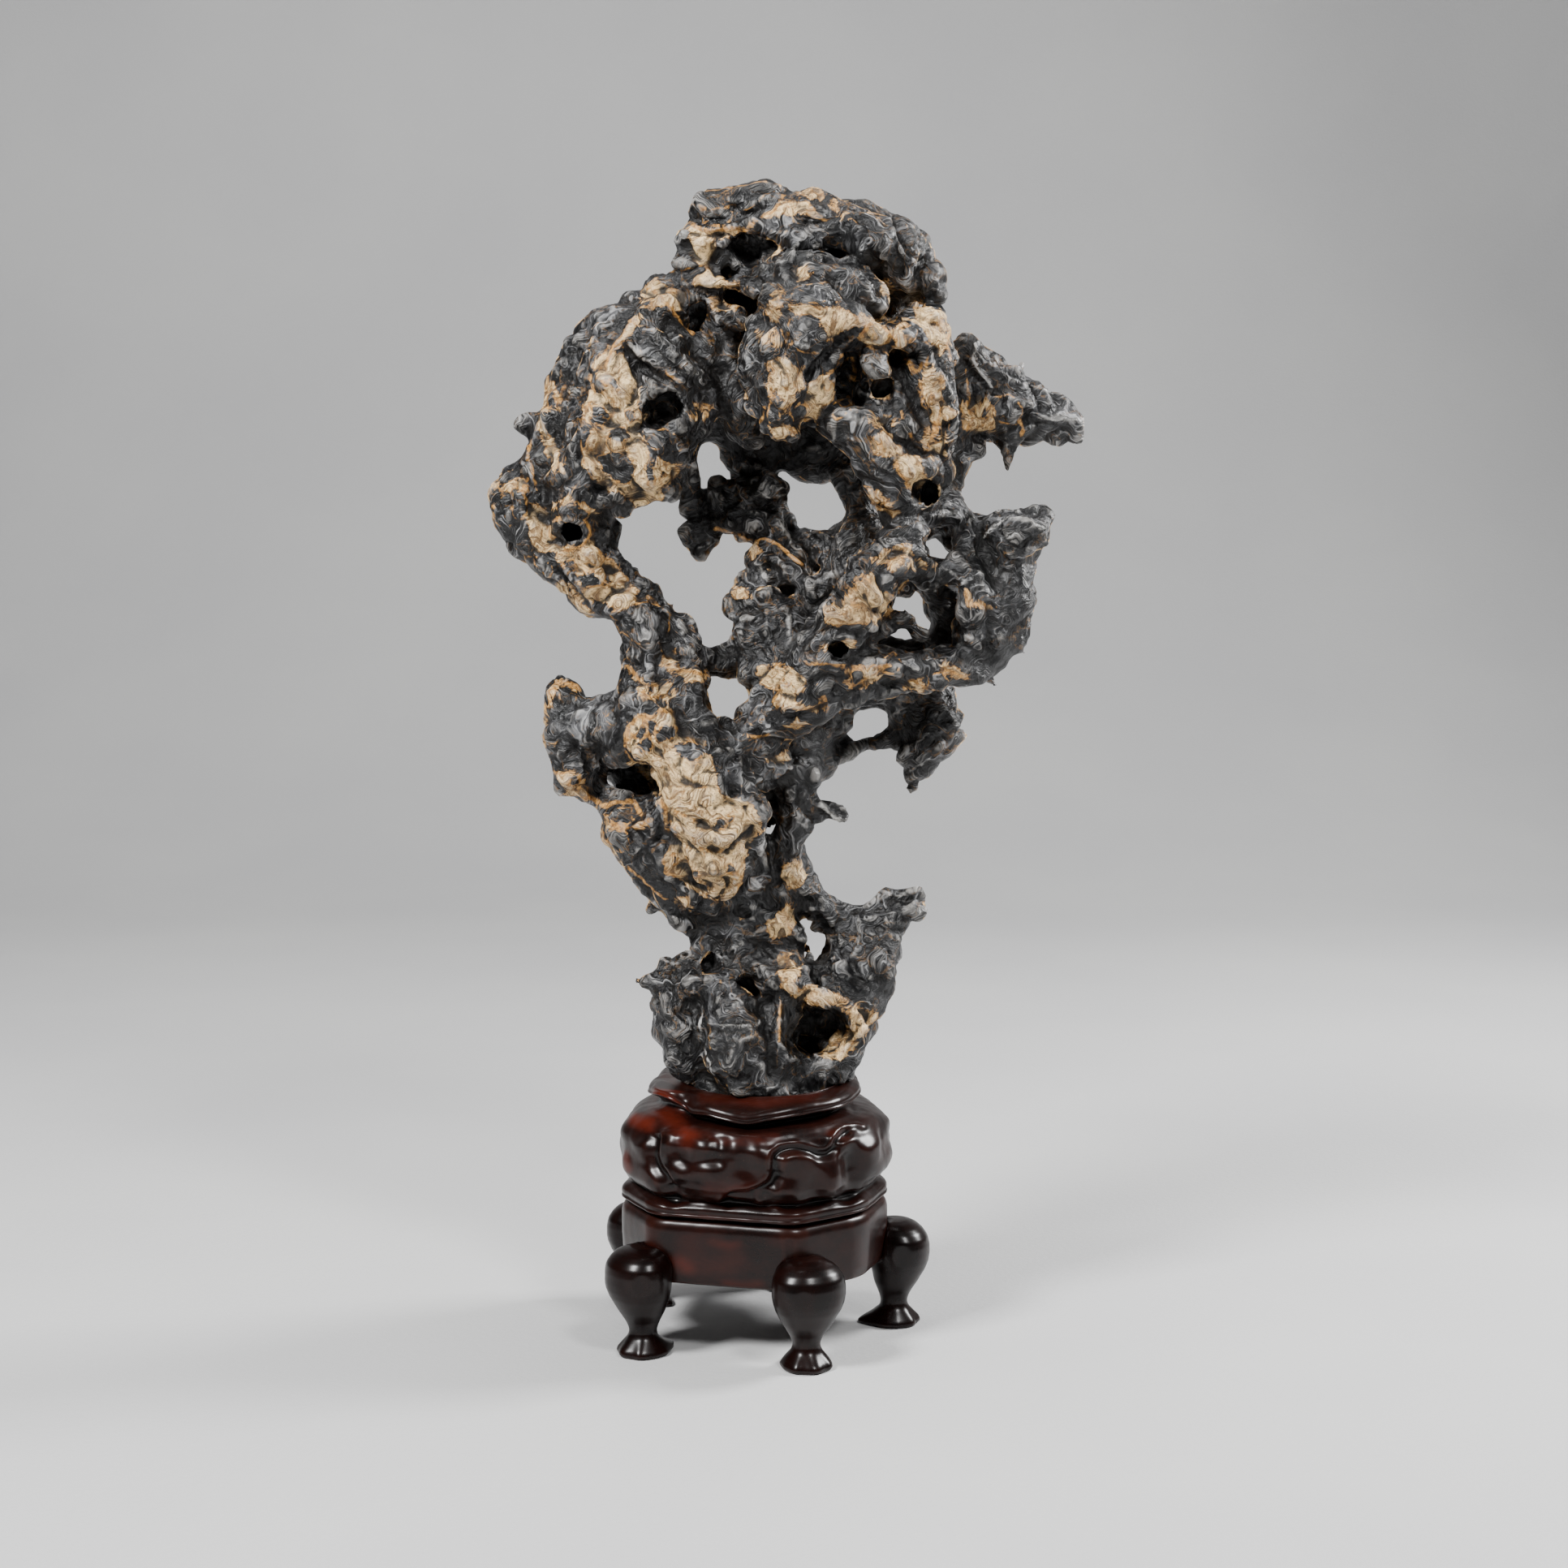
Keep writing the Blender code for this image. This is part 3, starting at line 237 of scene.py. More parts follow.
# A painted warm red highlight on the wood, on the elevation: (strength, width, line).
APRON_WARM_HIGHLIGHT = ((1.0, 8, ((-66, 34), (-60, 28))), (0.7, 5, ((-44, 45), (-34, 43), (-28, 44))),
              (0.8, 5, ((-36, 19), (-26, 18), (-14, 19))), (0.45, 6, ((-8, 46), (8, 44))),
              (0.5, 16, ((-58, 46), (-50, 30), (-30, 32))), (0.6, 9, ((-84, 52), (-80, 40))))


def plan_reach(angles):
    """Radius of the stand's soft five-cornered plan at each angle, in degrees from the front."""
    fine = np.arange(-80.0, 280.0, 0.5)
    first_angle, first_radius = APRON_PLAN[0]
    plan = APRON_PLAN + ((first_angle + 360.0, first_radius),)
    corners = [(math.radians(a), r) for a, r in plan]
    reach = np.zeros_like(fine)
    for (t0, r0), (t1, r1) in zip(corners, corners[1:]):
        x0, y0, x1, y1 = r0 * math.sin(t0), r0 * math.cos(t0), r1 * math.sin(t1), r1 * math.cos(t1)
        here = (np.radians(fine) >= t0 - 1e-9) & (np.radians(fine) <= t1 + 1e-9)
        t = np.radians(fine[here])
        reach[here] = np.abs((x0 * y1 - x1 * y0) / (np.sin(t) * (y1 - y0) - np.cos(t) * (x1 - x0)))
    soft = sum(np.roll(reach, k) for k in range(-12, 13)) / 25.0
    return np.interp((np.asarray(angles) + 80.0) % 360.0 - 80.0, fine, soft, period=360.0)


def drawn_out(rows, step):
    """A section's rows with more between them, no further apart than step, and its corners slightly eased."""
    rows = np.array(rows, dtype=float)
    gaps = np.hypot(np.diff(rows[:, 0]), np.diff(rows[:, 1]))
    run = np.concatenate(([0.0], np.cumsum(gaps)))
    count = int(run[-1] / step) + 1
    at = np.linspace(0.0, run[-1], count)
    full = np.stack([np.interp(at, run, rows[:, k]) for k in range(rows.shape[1])], axis=1)
    eased = full.copy()
    eased[1:-1] = 0.25 * full[:-2] + 0.5 * full[1:-1] + 0.25 * full[2:]
    return eased


def turned_rings(angles, radius, height):
    """Points round the stand's axis: angles along the last index of radius and height."""
    t = np.radians(angles)
    return np.stack([STAND_AXIS.x + radius * np.sin(t), -radius * np.cos(t), height + 0.0 * radius], axis=-1)


def skinned(name, rings):
    """A closed piece from stacked rings of points, each end closed by a fan."""
    count, around = rings.shape[:2]
    verts = list(rings.reshape(-1, 3)) + [rings[0].mean(axis=0), rings[-1].mean(axis=0)]
    faces = []
    for k in range(count - 1):
        for i in range(around):
            j = (i + 1) % around
            faces.append((k * around + i, k * around + j, (k + 1) * around + j, (k + 1) * around + i))
    last = (count - 1) * around
    for i in range(around):
        j = (i + 1) % around
        faces.append((j, i, count * around))
        faces.append((last + i, last + j, count * around + 1))
    made = new_piece(name, verts, faces)
    mesh = bmesh.new()
    mesh.from_mesh(made.data)
    bmesh.ops.recalc_face_normals(mesh, faces=mesh.faces)
    mesh.to_mesh(made.data)
    mesh.free()
    return made


def points_of(obj):
    spots = np.empty(len(obj.data.vertices) * 3)
    obj.data.vertices.foreach_get("co", spots)
    return spots.reshape(-1, 3)


def normals_of(obj):
    ways = np.empty(len(obj.data.vertices) * 3, dtype=np.float32)
    obj.data.vertex_normals.foreach_get("vector", ways)
    return ways.reshape(-1, 3).astype(float)


def set_points(obj, spots):
    obj.data.vertices.foreach_set("co", spots.reshape(-1))
    obj.data.update()


def edges_of(obj):
    ends = np.empty(len(obj.data.edges) * 2, dtype=np.int64)
    obj.data.edges.foreach_get("vertices", ends)
    return ends.reshape(-1, 2)


def evened(values, ends, times):
    """Values on vertices, averaged with their neighbours' a number of times."""
    values = values.astype(float)
    share = np.bincount(ends.reshape(-1), minlength=len(values)).astype(float)
    for _ in range(times):
        if values.ndim == 1:
            total = (np.bincount(ends[:, 0], values[ends[:, 1]], len(values)) +
                     np.bincount(ends[:, 1], values[ends[:, 0]], len(values)))
        else:
            total = np.stack([
                np.bincount(ends[:, 0], values[ends[:, 1], k], len(values)) +
                np.bincount(ends[:, 1], values[ends[:, 0], k], len(values)) for k in range(3)], axis=1)
            share = share.reshape(-1, 1)
        values = 0.5 * values + 0.5 * total / np.maximum(share, 1.0)
    return values


class Face:
    """The side of a piece that the eye sees, to be carved and stained by marks drawn on the elevation."""

    def __init__(self, obj):
        self.obj = obj
        self.ends = edges_of(obj)
        spots, ways = points_of(obj), normals_of(obj)
        ray = spots - np.array(EYE)
        depth = ray[:, 1] * math.cos(EYE_PITCH) - ray[:, 2] * math.sin(EYE_PITCH)
        rise = ray[:, 1] * math.sin(EYE_PITCH) + ray[:, 2] * math.cos(EYE_PITCH)
        self.across = ray[:, 0] / depth * -EYE.y
        self.up = ELEVATION_MIDDLE + rise / depth * -EYE.y
        length = np.linalg.norm(ray, axis=1)
        facing = -(ray * ways).sum(axis=1) / length
        tree = BVHTree.FromPolygons([tuple(p) for p in spots], [tuple(p.vertices) for p in obj.data.polygons])
        seen = np.zeros(len(spots))
        for i in np.nonzero(facing > 0.02)[0]:
            hit = tree.ray_cast(EYE, Vector(ray[i]), length[i] + 5.0)
            seen[i] = 1.0 if hit[3] is not None and hit[3] > length[i] - 2.5 else 0.0
        slope = np.clip((facing - 0.05) / 0.3, 0.0, 1.0)
        self.seen = evened(seen, self.ends, 3) * slope * slope * (3 - 2 * slope)
        self.ways = ways
        self.spots = spots

    def line(self, points, width):
        """1 on a drawn line, falling smoothly to 0 at width from it, and narrowing towards its ends."""
        points = np.array(points, dtype=float)
        share = np.zeros(len(self.across))
        near = ((self.across > points[:, 0].min() - width) & (self.across < points[:, 0].max() + width) &
                (self.up > points[:, 1].min() - width) & (self.up < points[:, 1].max() + width))
        here = np.nonzero(near)[0]
        if len(here) == 0:
            return share
        spot = np.stack([self.across[here], self.up[here]], axis=1)
        best = np.full(len(here), 1e9)
        if len(points) == 1:
            best = np.linalg.norm(spot - points[0], axis=1)
        for first, second in zip(points, points[1:]):
            run = second - first
            t = np.clip(((spot - first) @ run) / max(run @ run, 1e-9), 0.0, 1.0)
            best = np.minimum(best, np.linalg.norm(spot - first - t[:, None] * run, axis=1))
        share[here] = np.clip(1.0 - (best / width) ** 2, 0.0, 1.0) ** 2
        return share * self.seen

    def patch(self, points, soft):
        """1 inside a drawn outline, falling smoothly to 0 over soft outside it."""
        points = np.array(points, dtype=float)
        share = np.zeros(len(self.across))
        near = ((self.across > points[:, 0].min() - soft) & (self.across < points[:, 0].max() + soft) &
                (self.up > points[:, 1].min() - soft) & (self.up < points[:, 1].max() + soft))
        here = np.nonzero(near)[0]
        if len(here) == 0:
            return share
        x, y = self.across[here], self.up[here]
        inside = np.zeros(len(here), dtype=bool)
        best = np.full(len(here), 1e9)
        for (x0, y0), (x1, y1) in zip(points, np.roll(points, -1, axis=0)):
            if y0 != y1:
                inside ^= ((y0 > y) != (y1 > y)) & (x < (x1 - x0) * (y - y0) / (y1 - y0) + x0)
            run = np.array([x1 - x0, y1 - y0])
            t = np.clip(((x - x0) * run[0] + (y - y0) * run[1]) / max(run @ run, 1e-9), 0.0, 1.0)
            best = np.minimum(best, np.hypot(x - x0 - t * run[0], y - y0 - t * run[1]))
        signed = np.where(inside, best, -best)
        t = np.clip(signed / soft * 0.5 + 0.5, 0.0, 1.0)
        share[here] = t * t * (3 - 2 * t)
        return share * self.seen

    def marked(self, marks):
        """The sum of drawn lines, each of them (strength, width, line)."""
        return sum(strength * self.line(line, width) for strength, width, line in marks)

    def stained(self, marks, spread):
        """The strongest of drawn lines, each (strength, width, line), spread times as wide as they say."""
        return np.max([strength * self.line(line, width * spread) for strength, width, line in marks], axis=0)

    def carved(self, lift):
        """Moves the piece's surface out by lift millimetres."""
        set_points(self.obj, self.spots + self.ways * lift[:, None])


def keep_on(obj, name, values):
    """Stores a value for each vertex, for the piece's finish to read."""
    layer = obj.data.attributes.new(name, "FLOAT", "POINT")
    layer.data.foreach_set("value", np.asarray(values, dtype=np.float32))


def crests(obj, reach):
    """0.5 on flat spots, more on ridges and less in creases."""
    ends = edges_of(obj)
    spots = points_of(obj)
    bulge = ((spots - evened(spots, ends, reach)) * normals_of(obj)).sum(axis=1)
    bulge = evened(bulge, ends, 1)
    return np.clip(0.5 + 0.5 * bulge / (np.percentile(np.abs(bulge), 95) + 1e-9), 0.0, 1.0)


# The last of these is a painted warm red highlight.
WOOD_DARK, WOOD_RED, WOOD_WARM_HIGHLIGHT = (0.0026, 0.0008, 0.0006), (0.0120, 0.0026, 0.0016), (0.074, 0.0095, 0.0042)
# The second of these is for ridges, lighter for wear and a painted highlight.
WOOD_FIBRE, WOOD_RUBBED_AND_LIT = (0.022, 0.0055, 0.0034), (0.040, 0.0115, 0.0070)
WOOD_GRIME, WOOD_DUST = (0.0025, 0.0014, 0.0012), (0.13, 0.075, 0.055)


def rosewood(name, along_x, along_z, gloss, shade=1.0):
    """Dark red wood under wax: streaks, pores, a painted warm highlight, ridges lighter for wear and a
    painted highlight, wax and dust left in the hollows.
    """
    finish, start, place = new_finish(name)
    stretched = start.node("ShaderNodeVectorMath", {"operation": "MULTIPLY"},
                           {0: place, 1: (along_x, 1.0, along_z)})
    streak = stretched.grain(0.010, 5.0, 0.6, 0.6)
    fibre = stretched.grain(0.0011, 3.0, 0.6)
    cloud = place.grain(0.028, 3.0, 0.55)
    pore = place.grain(0.0009, 1.0, 0.5)
    crest = start.node("ShaderNodeAttribute", {"attribute_name": "crest"}, out=2)
    warm_highlight = start.node("ShaderNodeAttribute", {"attribute_name": "warm_highlight"}, out=2)
    tone = (streak * 0.6 + cloud * 0.55 - 0.06).between(0.30, 0.72)
    wood = tone.mixed(colour_of(*WOOD_DARK), colour_of(*WOOD_RED))
    # A painted warm red highlight where its marks lie.
    wood = (warm_highlight * (0.6 + streak * 0.5)).between(0.0, 1.15).mixed(wood, colour_of(*WOOD_WARM_HIGHLIGHT))
    wood = (fibre.between(0.45, 0.8) * 0.30).mixed(wood, colour_of(*WOOD_FIBRE))
    # Ridges lighter, for wear and a painted highlight.
    wood = (crest.between(0.68, 1.0) * 0.25).mixed(wood, colour_of(*WOOD_RUBBED_AND_LIT))
    wood = (1.0 - crest.between(0.0, 0.40)).mixed(wood, colour_of(*WOOD_GRIME))
    dust = pore.between(0.73, 0.80) * (1.0 - crest.between(0.35, 0.6)) + pore.between(0.78, 0.83) * 0.6
    wood = (dust * 0.30).mixed(wood, colour_of(*WOOD_DUST))
    wood = start.node("ShaderNodeVectorMath", {"operation": "SCALE"}, {0: wood, "Scale": shade})
    rough = gloss + fibre * 0.08 + dust * 0.25 + (1.0 - crest) * 0.08 + cloud * 0.06
    surfaced(start, wood, rough, fibre * 0.45 + streak * 0.35 + pore * 0.2, 0.00012,
             coat=0.40, coat_roughness=0.26, specular=0.04)
    return finish


def waxed(obj, finish, node, warm_highlight=None):
    """Closes a wooden piece: kept within its solid's box, given its finish, its painted warm highlight and
    the solid it stands for.
    """
    low, high = (np.array(corner) * 1000.0 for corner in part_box(node))
    set_points(obj, np.clip(points_of(obj), low, high))
    keep_on(obj, "crest", crests(obj, 6))
    keep_on(obj, "warm_highlight", np.zeros(len(obj.data.vertices)) if warm_highlight is None else warm_highlight)
    obj.data.transform(Matrix.Scale(0.001, 4))
    obj.data.materials.append(finish)
    obj.data.shade_smooth()
    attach(obj, "root")
    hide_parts(node)


def wavering(obj, size, much, seed):
    """How far a hand-cut surface strays from true at each vertex."""
    start = Vector((seed, 0.0, 2.0 * seed))
    return np.array([much * noise.noise(Vector(p) / size + start) for p in points_of(obj)])


around = np.arange(-90.0, 270.0, 1.0)
rows = drawn_out(APRON_SECTION, 0.9)
reach = plan_reach(around) / APRON_RADIUS
apron = skinned("carved_apron", turned_rings(around[None, :], rows[:, 1:2] * reach[None, :], rows[:, 0:1]))
face = Face(apron)
lift = wavering(apron, 26.0, 0.35, 3.0) + wavering(apron, 7.0, 0.10, 5.0)
lift -= 0.5 * face.line([(46, 58), (49, 45), (47, 30), (50, 22)], 7.0)
lift += 0.5 * face.line([(56, 62), (57, 45), (55, 30)], 6.0)
face.carved(lift)
# The apron's painted warm highlight.
warm_highlight = face.marked(APRON_WARM_HIGHLIGHT)
waxed(apron, rosewood("rubbed_rosewood", 0.35, 1.0, 0.27), "stand_apron", evened(0.6 * warm_highlight, face.ends, 8))


# ---------------------------------------------------------------------------------------------------------
# Legs. Five cabriole legs of the same rosewood, each carved from one block: a full round knee with a fine lip
# where it laps the apron, a thin ankle, and a hoof that flares to a flat sole with a small heel spur.

# Height, half width, reach outwards, reach inwards, and how far the section's middle is from the axis.
LEG_SECTION = ((0, 13.6, 13.6, 21, 88.5), (0.5, 14.9, 14.9, 23, 88.5), (2.2, 15.8, 15.6, 24, 88.5),
               (4.5, 14.7, 14.6, 20, 88.5), (7.5, 12.4, 12.2, 14, 88.3), (11, 9.6, 9.6, 9, 88),
               (13.5, 8.5, 8.5, 8.5, 88), (15.5, 8.4, 8.4, 8.5, 88), (18, 9.2, 9, 9.3, 88.1),
               (21, 10.6, 10.2, 10.5, 88.3), (28, 15.4, 13.8, 14, 89.2), (37, 20.2, 17.2, 17.6, 90.8),
               (42, 22, 18.2, 19, 91.6), (47, 22.8, 18.5, 20, 92), (52, 22.7, 18.3, 20, 92),
               (57, 21.8, 17.4, 20, 91.7), (61, 19.4, 15.5, 18.4, 91), (64, 16.4, 13, 16.4, 90.2),
               (66, 12.4, 10, 13.6, 89.4), (67.3, 7.5, 6.6, 10, 88.4))
# Each leg's node, and how far round from the front it stands.
LEGS = (("leg_front_left", -51), ("leg_front_right", 21), ("leg_right", 93), ("leg_back_right", 165),
        ("leg_back_left", 237))
# The apron's wall where the knee lies on it, by height.
WALL_HEIGHTS, WALL_RADII = (45.8, 52.0, 66.0), (83.1, 84.3, 85.3)
KNEE_START = 44.5

leg_wood = rosewood("dark_rosewood", 1.0, 0.3, 0.24, shade=0.5)
for count, (node, at) in enumerate(LEGS):
    rows = drawn_out(LEG_SECTION, 0.9)
    t = np.linspace(0.0, 2 * math.pi, 72, endpoint=False)
    height, half, out, inward, middle = (rows[:, k:k + 1] for k in range(5))
    side = half * np.sign(np.sin(t)) * np.abs(np.sin(t)) ** 0.92
    forth = np.cos(t)
    pinch = np.clip((8.0 - height) / 6.0, 0.0, 1.0) * np.clip(-forth - 0.35, 0.0, 0.6) / 0.6
    side = side * (1.0 - 0.45 * pinch)
    forth = np.where(forth > 0, forth * out, forth * inward) + middle
    flute = np.clip((12.0 - height) / 8.0, 0.0, 1.0) * np.clip(height / 1.5, 0.0, 1.0)
    forth = forth + 0.8 * flute * np.cos(7 * t) * (forth > middle)
    turn = math.radians(at)
    rings = np.stack([STAND_AXIS.x + forth * math.sin(turn) + side * math.cos(turn),
                      -forth * math.cos(turn) + side * math.sin(turn), height + 0.0 * side], axis=-1)
    # The back of the knee is cut to lie on the apron.
    dx, dy = rings[..., 0] - STAND_AXIS.x, rings[..., 1]
    far = np.hypot(dx, dy)
    plan = plan_reach(np.degrees(np.arctan2(dx, -dy)))
    wall = np.interp(rings[..., 2], (44.6,) + WALL_HEIGHTS, (81.2,) + WALL_RADII) * plan / APRON_RADIUS
    pushed = np.where((rings[..., 2] > KNEE_START) & (far < wall), wall / np.maximum(far, 1e-6), 1.0)
    rings[..., 0] = STAND_AXIS.x + dx * pushed
    rings[..., 1] = dy * pushed
    leg = skinned("carved_" + node, rings)
    spots = points_of(leg)
    away = np.hypot(spots[:, 0] - STAND_AXIS.x, spots[:, 1])
    angle = np.degrees(np.arctan2(spots[:, 0] - STAND_AXIS.x, -spots[:, 1]))
    clear = away - np.interp(spots[:, 2], WALL_HEIGHTS, WALL_RADII) * plan_reach(angle) / APRON_RADIUS
    lip = np.exp(-((clear - 1.6) / 1.0) ** 2) * (spots[:, 2] > 47.0)
    lift = 0.55 * lip + wavering(leg, 11.0, 0.22, 7.0 + count) * np.clip(spots[:, 2] / 6.0, 0.0, 1.0)
    set_points(leg, spots + normals_of(leg) * lift[:, None])
    low = points_of(leg)
    low[:, 2] = np.maximum(low[:, 2], 0.0)
    set_points(leg, low)
    waxed(leg, leg_wood, node)


# ---------------------------------------------------------------------------------------------------------
# Upper block of the stand. One piece of rosewood: a bead, a body carved in two layers of rounded cloud lobes,
# a deep groove, and a thin collar whose rolled edge rises and dips like a leaf and closes round the rock.

# The collar's edge: degrees round from the front, reach, height.
COLLAR_EDGE = (
    (-90, 67.5, 154), (-74, 68, 156), (-60, 69, 159), (-51, 67, 158), (-44, 61, 153), (-38, 64, 151),
    (-26, 69, 153), (-14, 71, 151), (-4, 71.5, 149), (8, 70, 151.5), (20, 69.5, 153), (34, 69, 153.5),
    (52, 68.5, 153.5), (68, 67, 154), (84, 66.5, 155), (100, 66, 156), (122, 68, 157), (146, 69, 156),
    (170, 68, 155), (196, 69, 157), (224, 71, 158), (246, 67, 156), (259, 65, 155),
)
# Knobs: degrees round from the front, height, how tall, half angle, half height. A sunk one is negative.
KNOBS = (
    (-78, 130, 3.5, 9, 8), (-62, 130, 3.0, 9, 8), (-72, 110, 2.5, 10, 9), (-52, 116, 3.5, 8, 13),
    (-38, 133, 3.5, 8, 6), (-26, 134, 4.0, 7, 6), (-27, 119, 4.5, 9, 7), (-11, 133, 3.0, 6, 7),
    (-12, 119, 3.5, 7, 7), (-36, 107, 2.5, 10, 6), (-19, 126, -3.0, 5, 6), (-43, 124, -3.0, 5, 12),
    (8, 128, 5.0, 9, 10), (20, 116, 5.0, 9, 11), (33, 110, 4.5, 9, 11), (29, 130, -2.5, 7, 7),
    (44, 134, 4.5, 8, 7), (45, 117, -2.0, 6, 8), (60, 126, 3.0, 8, 9), (62, 109, 2.5, 10, 8),
    (80, 114, 3.5, 10, 10), (90, 132, 3.0, 9, 7), (104, 118, 4.0, 10, 10), (122, 128, 4.0, 10, 9),
    (128, 109, 3.5, 10, 8), (144, 122, -3.0, 7, 8), (158, 130, 4.0, 9, 8), (164, 112, 4.5, 10, 9),
    (184, 124, 4.0, 10, 10), (204, 112, 4.0, 10, 8), (210, 131, 3.5, 9, 7), (228, 119, 4.5, 10, 10),
    (246, 130, 3.5, 9, 8), (252, 110, 3.5, 10, 8), (266, 118, 3.0, 9, 10),
)
# Height, radius, and how far the plan, the knobs and the collar's edge shape the section there.
BLOCK_SECTION = (
    (86.1, 74, 1, 0, 0), (86.1, 80, 1, 0, 0), (86.8, 83.4, 1, 0, 0), (87.6, 84.9, 1, 0, 0),
    (88.5, 85.2, 1, 0, 0), (89.1, 84.6, 1, 0, 0), (89.5, 83.9, 1, 0, 0), (90.0, 84.3, 1, 0, 0),
    (91.2, 85.0, 1, 0, 0), (93.4, 84.5, 1, 0, 0), (94.8, 82.9, 1, 0, 0), (95.8, 80.8, 0.95, 0, 0),
    (96.3, 78.2, 0.9, 0, 0), (97.2, 77.0, 0.85, 0, 0), (98.4, 78.2, 0.8, 0.2, 0), (101, 81.0, 0.6, 0.6, 0),
    (107, 82.3, 0.3, 1, 0), (113.5, 82.3, 0.2, 1, 0), (120, 81.8, 0.1, 1, 0), (126.5, 80.9, 0, 1, 0),
    (133, 79.3, 0, 1, 0), (137, 77.8, 0, 0.8, 0), (140, 75.2, 0, 0.5, 0), (142.3, 71.8, 0, 0.2, 0.2),
    (143.6, 68.4, 0, 0, 0.3), (144.2, 65.0, 0, 0, 0.4), (144.6, 62.0, 0, 0, 0.5), (145.4, 60.2, 0, 0, 0.6),
    (146.6, 59.4, 0, 0, 0.7), (148.0, 60.2, 0, 0, 0.9), (149.2, 62.2, 0, 0, 1), (150.2, 64.8, 0, 0, 1),
    (151.0, 67.0, 0, 0, 1), (151.6, 68.1, 0, 0, 1), (152.1, 68.3, 0, 0, 1), (152.5, 67.3, 0, 0, 1),
    (152.9, 67.1, 0, 0, 1), (153.6, 67.4, 0, 0, 1), (154.8, 67.2, 0, 0, 1), (156.2, 66.4, 0, 0, 1),
    (157.4, 65.0, 0, 0, 1), (158.3, 63.0, 0, 0, 0.9), (158.9, 60.0, 0, 0, 0.7), (159.1, 57.0, 0, 0, 0.4),
    (159.2, 54.0, 0, 0, 0.2),
)
COLLAR_REACH, COLLAR_HEIGHT = 68.0, 154.0
# The oval seat for the rock: its middle across, half widths, floor and mouth, and how it narrows down.
SEAT_CENTRE = -13.5
SEAT_HALF = (48.0, 50.0)
SEAT_FLOOR = 138.0
SEAT_MOUTH = 159.6
SEAT_TAPER = 0.88

around = np.arange(-90.0, 270.0, 0.75)
rows = drawn_out(BLOCK_SECTION, 0.75)
height, radius, plan, knobs, edge = (rows[:, k:k + 1] for k in range(5))
edge_angles, edge_reach, edge_height = np.array(COLLAR_EDGE, dtype=float).T
rim = [np.interp(around, edge_angles, column, period=360.0) for column in (edge_reach, edge_height)]
rim = [sum(np.roll(column, k) for k in range(-4, 5)) / 9.0 for column in rim]
swell = np.zeros((len(rows), len(around)))
for at, up, tall, half_angle, half_height in KNOBS:
    away = (around[None, :] - at + 180.0) % 360.0 - 180.0
    # The front has its own carving below, so its knobs are lower.
    share = 0.5 if -66 < at < 56 else 1.4
    swell += share * tall * np.exp(-0.9 * ((away / half_angle) ** 2 + ((height - up) / half_height) ** 2))
reach = radius * (1 - plan) + radius * plan * plan_reach(around)[None, :] / APRON_RADIUS
reach = reach + knobs * swell + edge * (rim[0][None, :] - COLLAR_REACH)
rings = turned_rings(around[None, :], reach, height + edge * (rim[1][None, :] - COLLAR_HEIGHT))
seat = []
t = np.radians(around)
for level, scale, play in ((SEAT_MOUTH, 1.0, 2.6), (SEAT_MOUTH - 0.1, 1.0, 1.0),
                           (SEAT_MOUTH - 0.8, 1.0, 0.35), (SEAT_FLOOR - 0.4, SEAT_TAPER, 0.35)):
    half_across, half_deep = (half * scale + play for half in SEAT_HALF)
    across, deep = SEAT_CENTRE + half_across * np.sin(t), -half_deep * np.cos(t)
    seat.append(np.stack([across, deep, np.full_like(t, level)], axis=-1))
block = skinned("carved_block", np.concatenate([rings, np.array(seat)]))
face = Face(block)

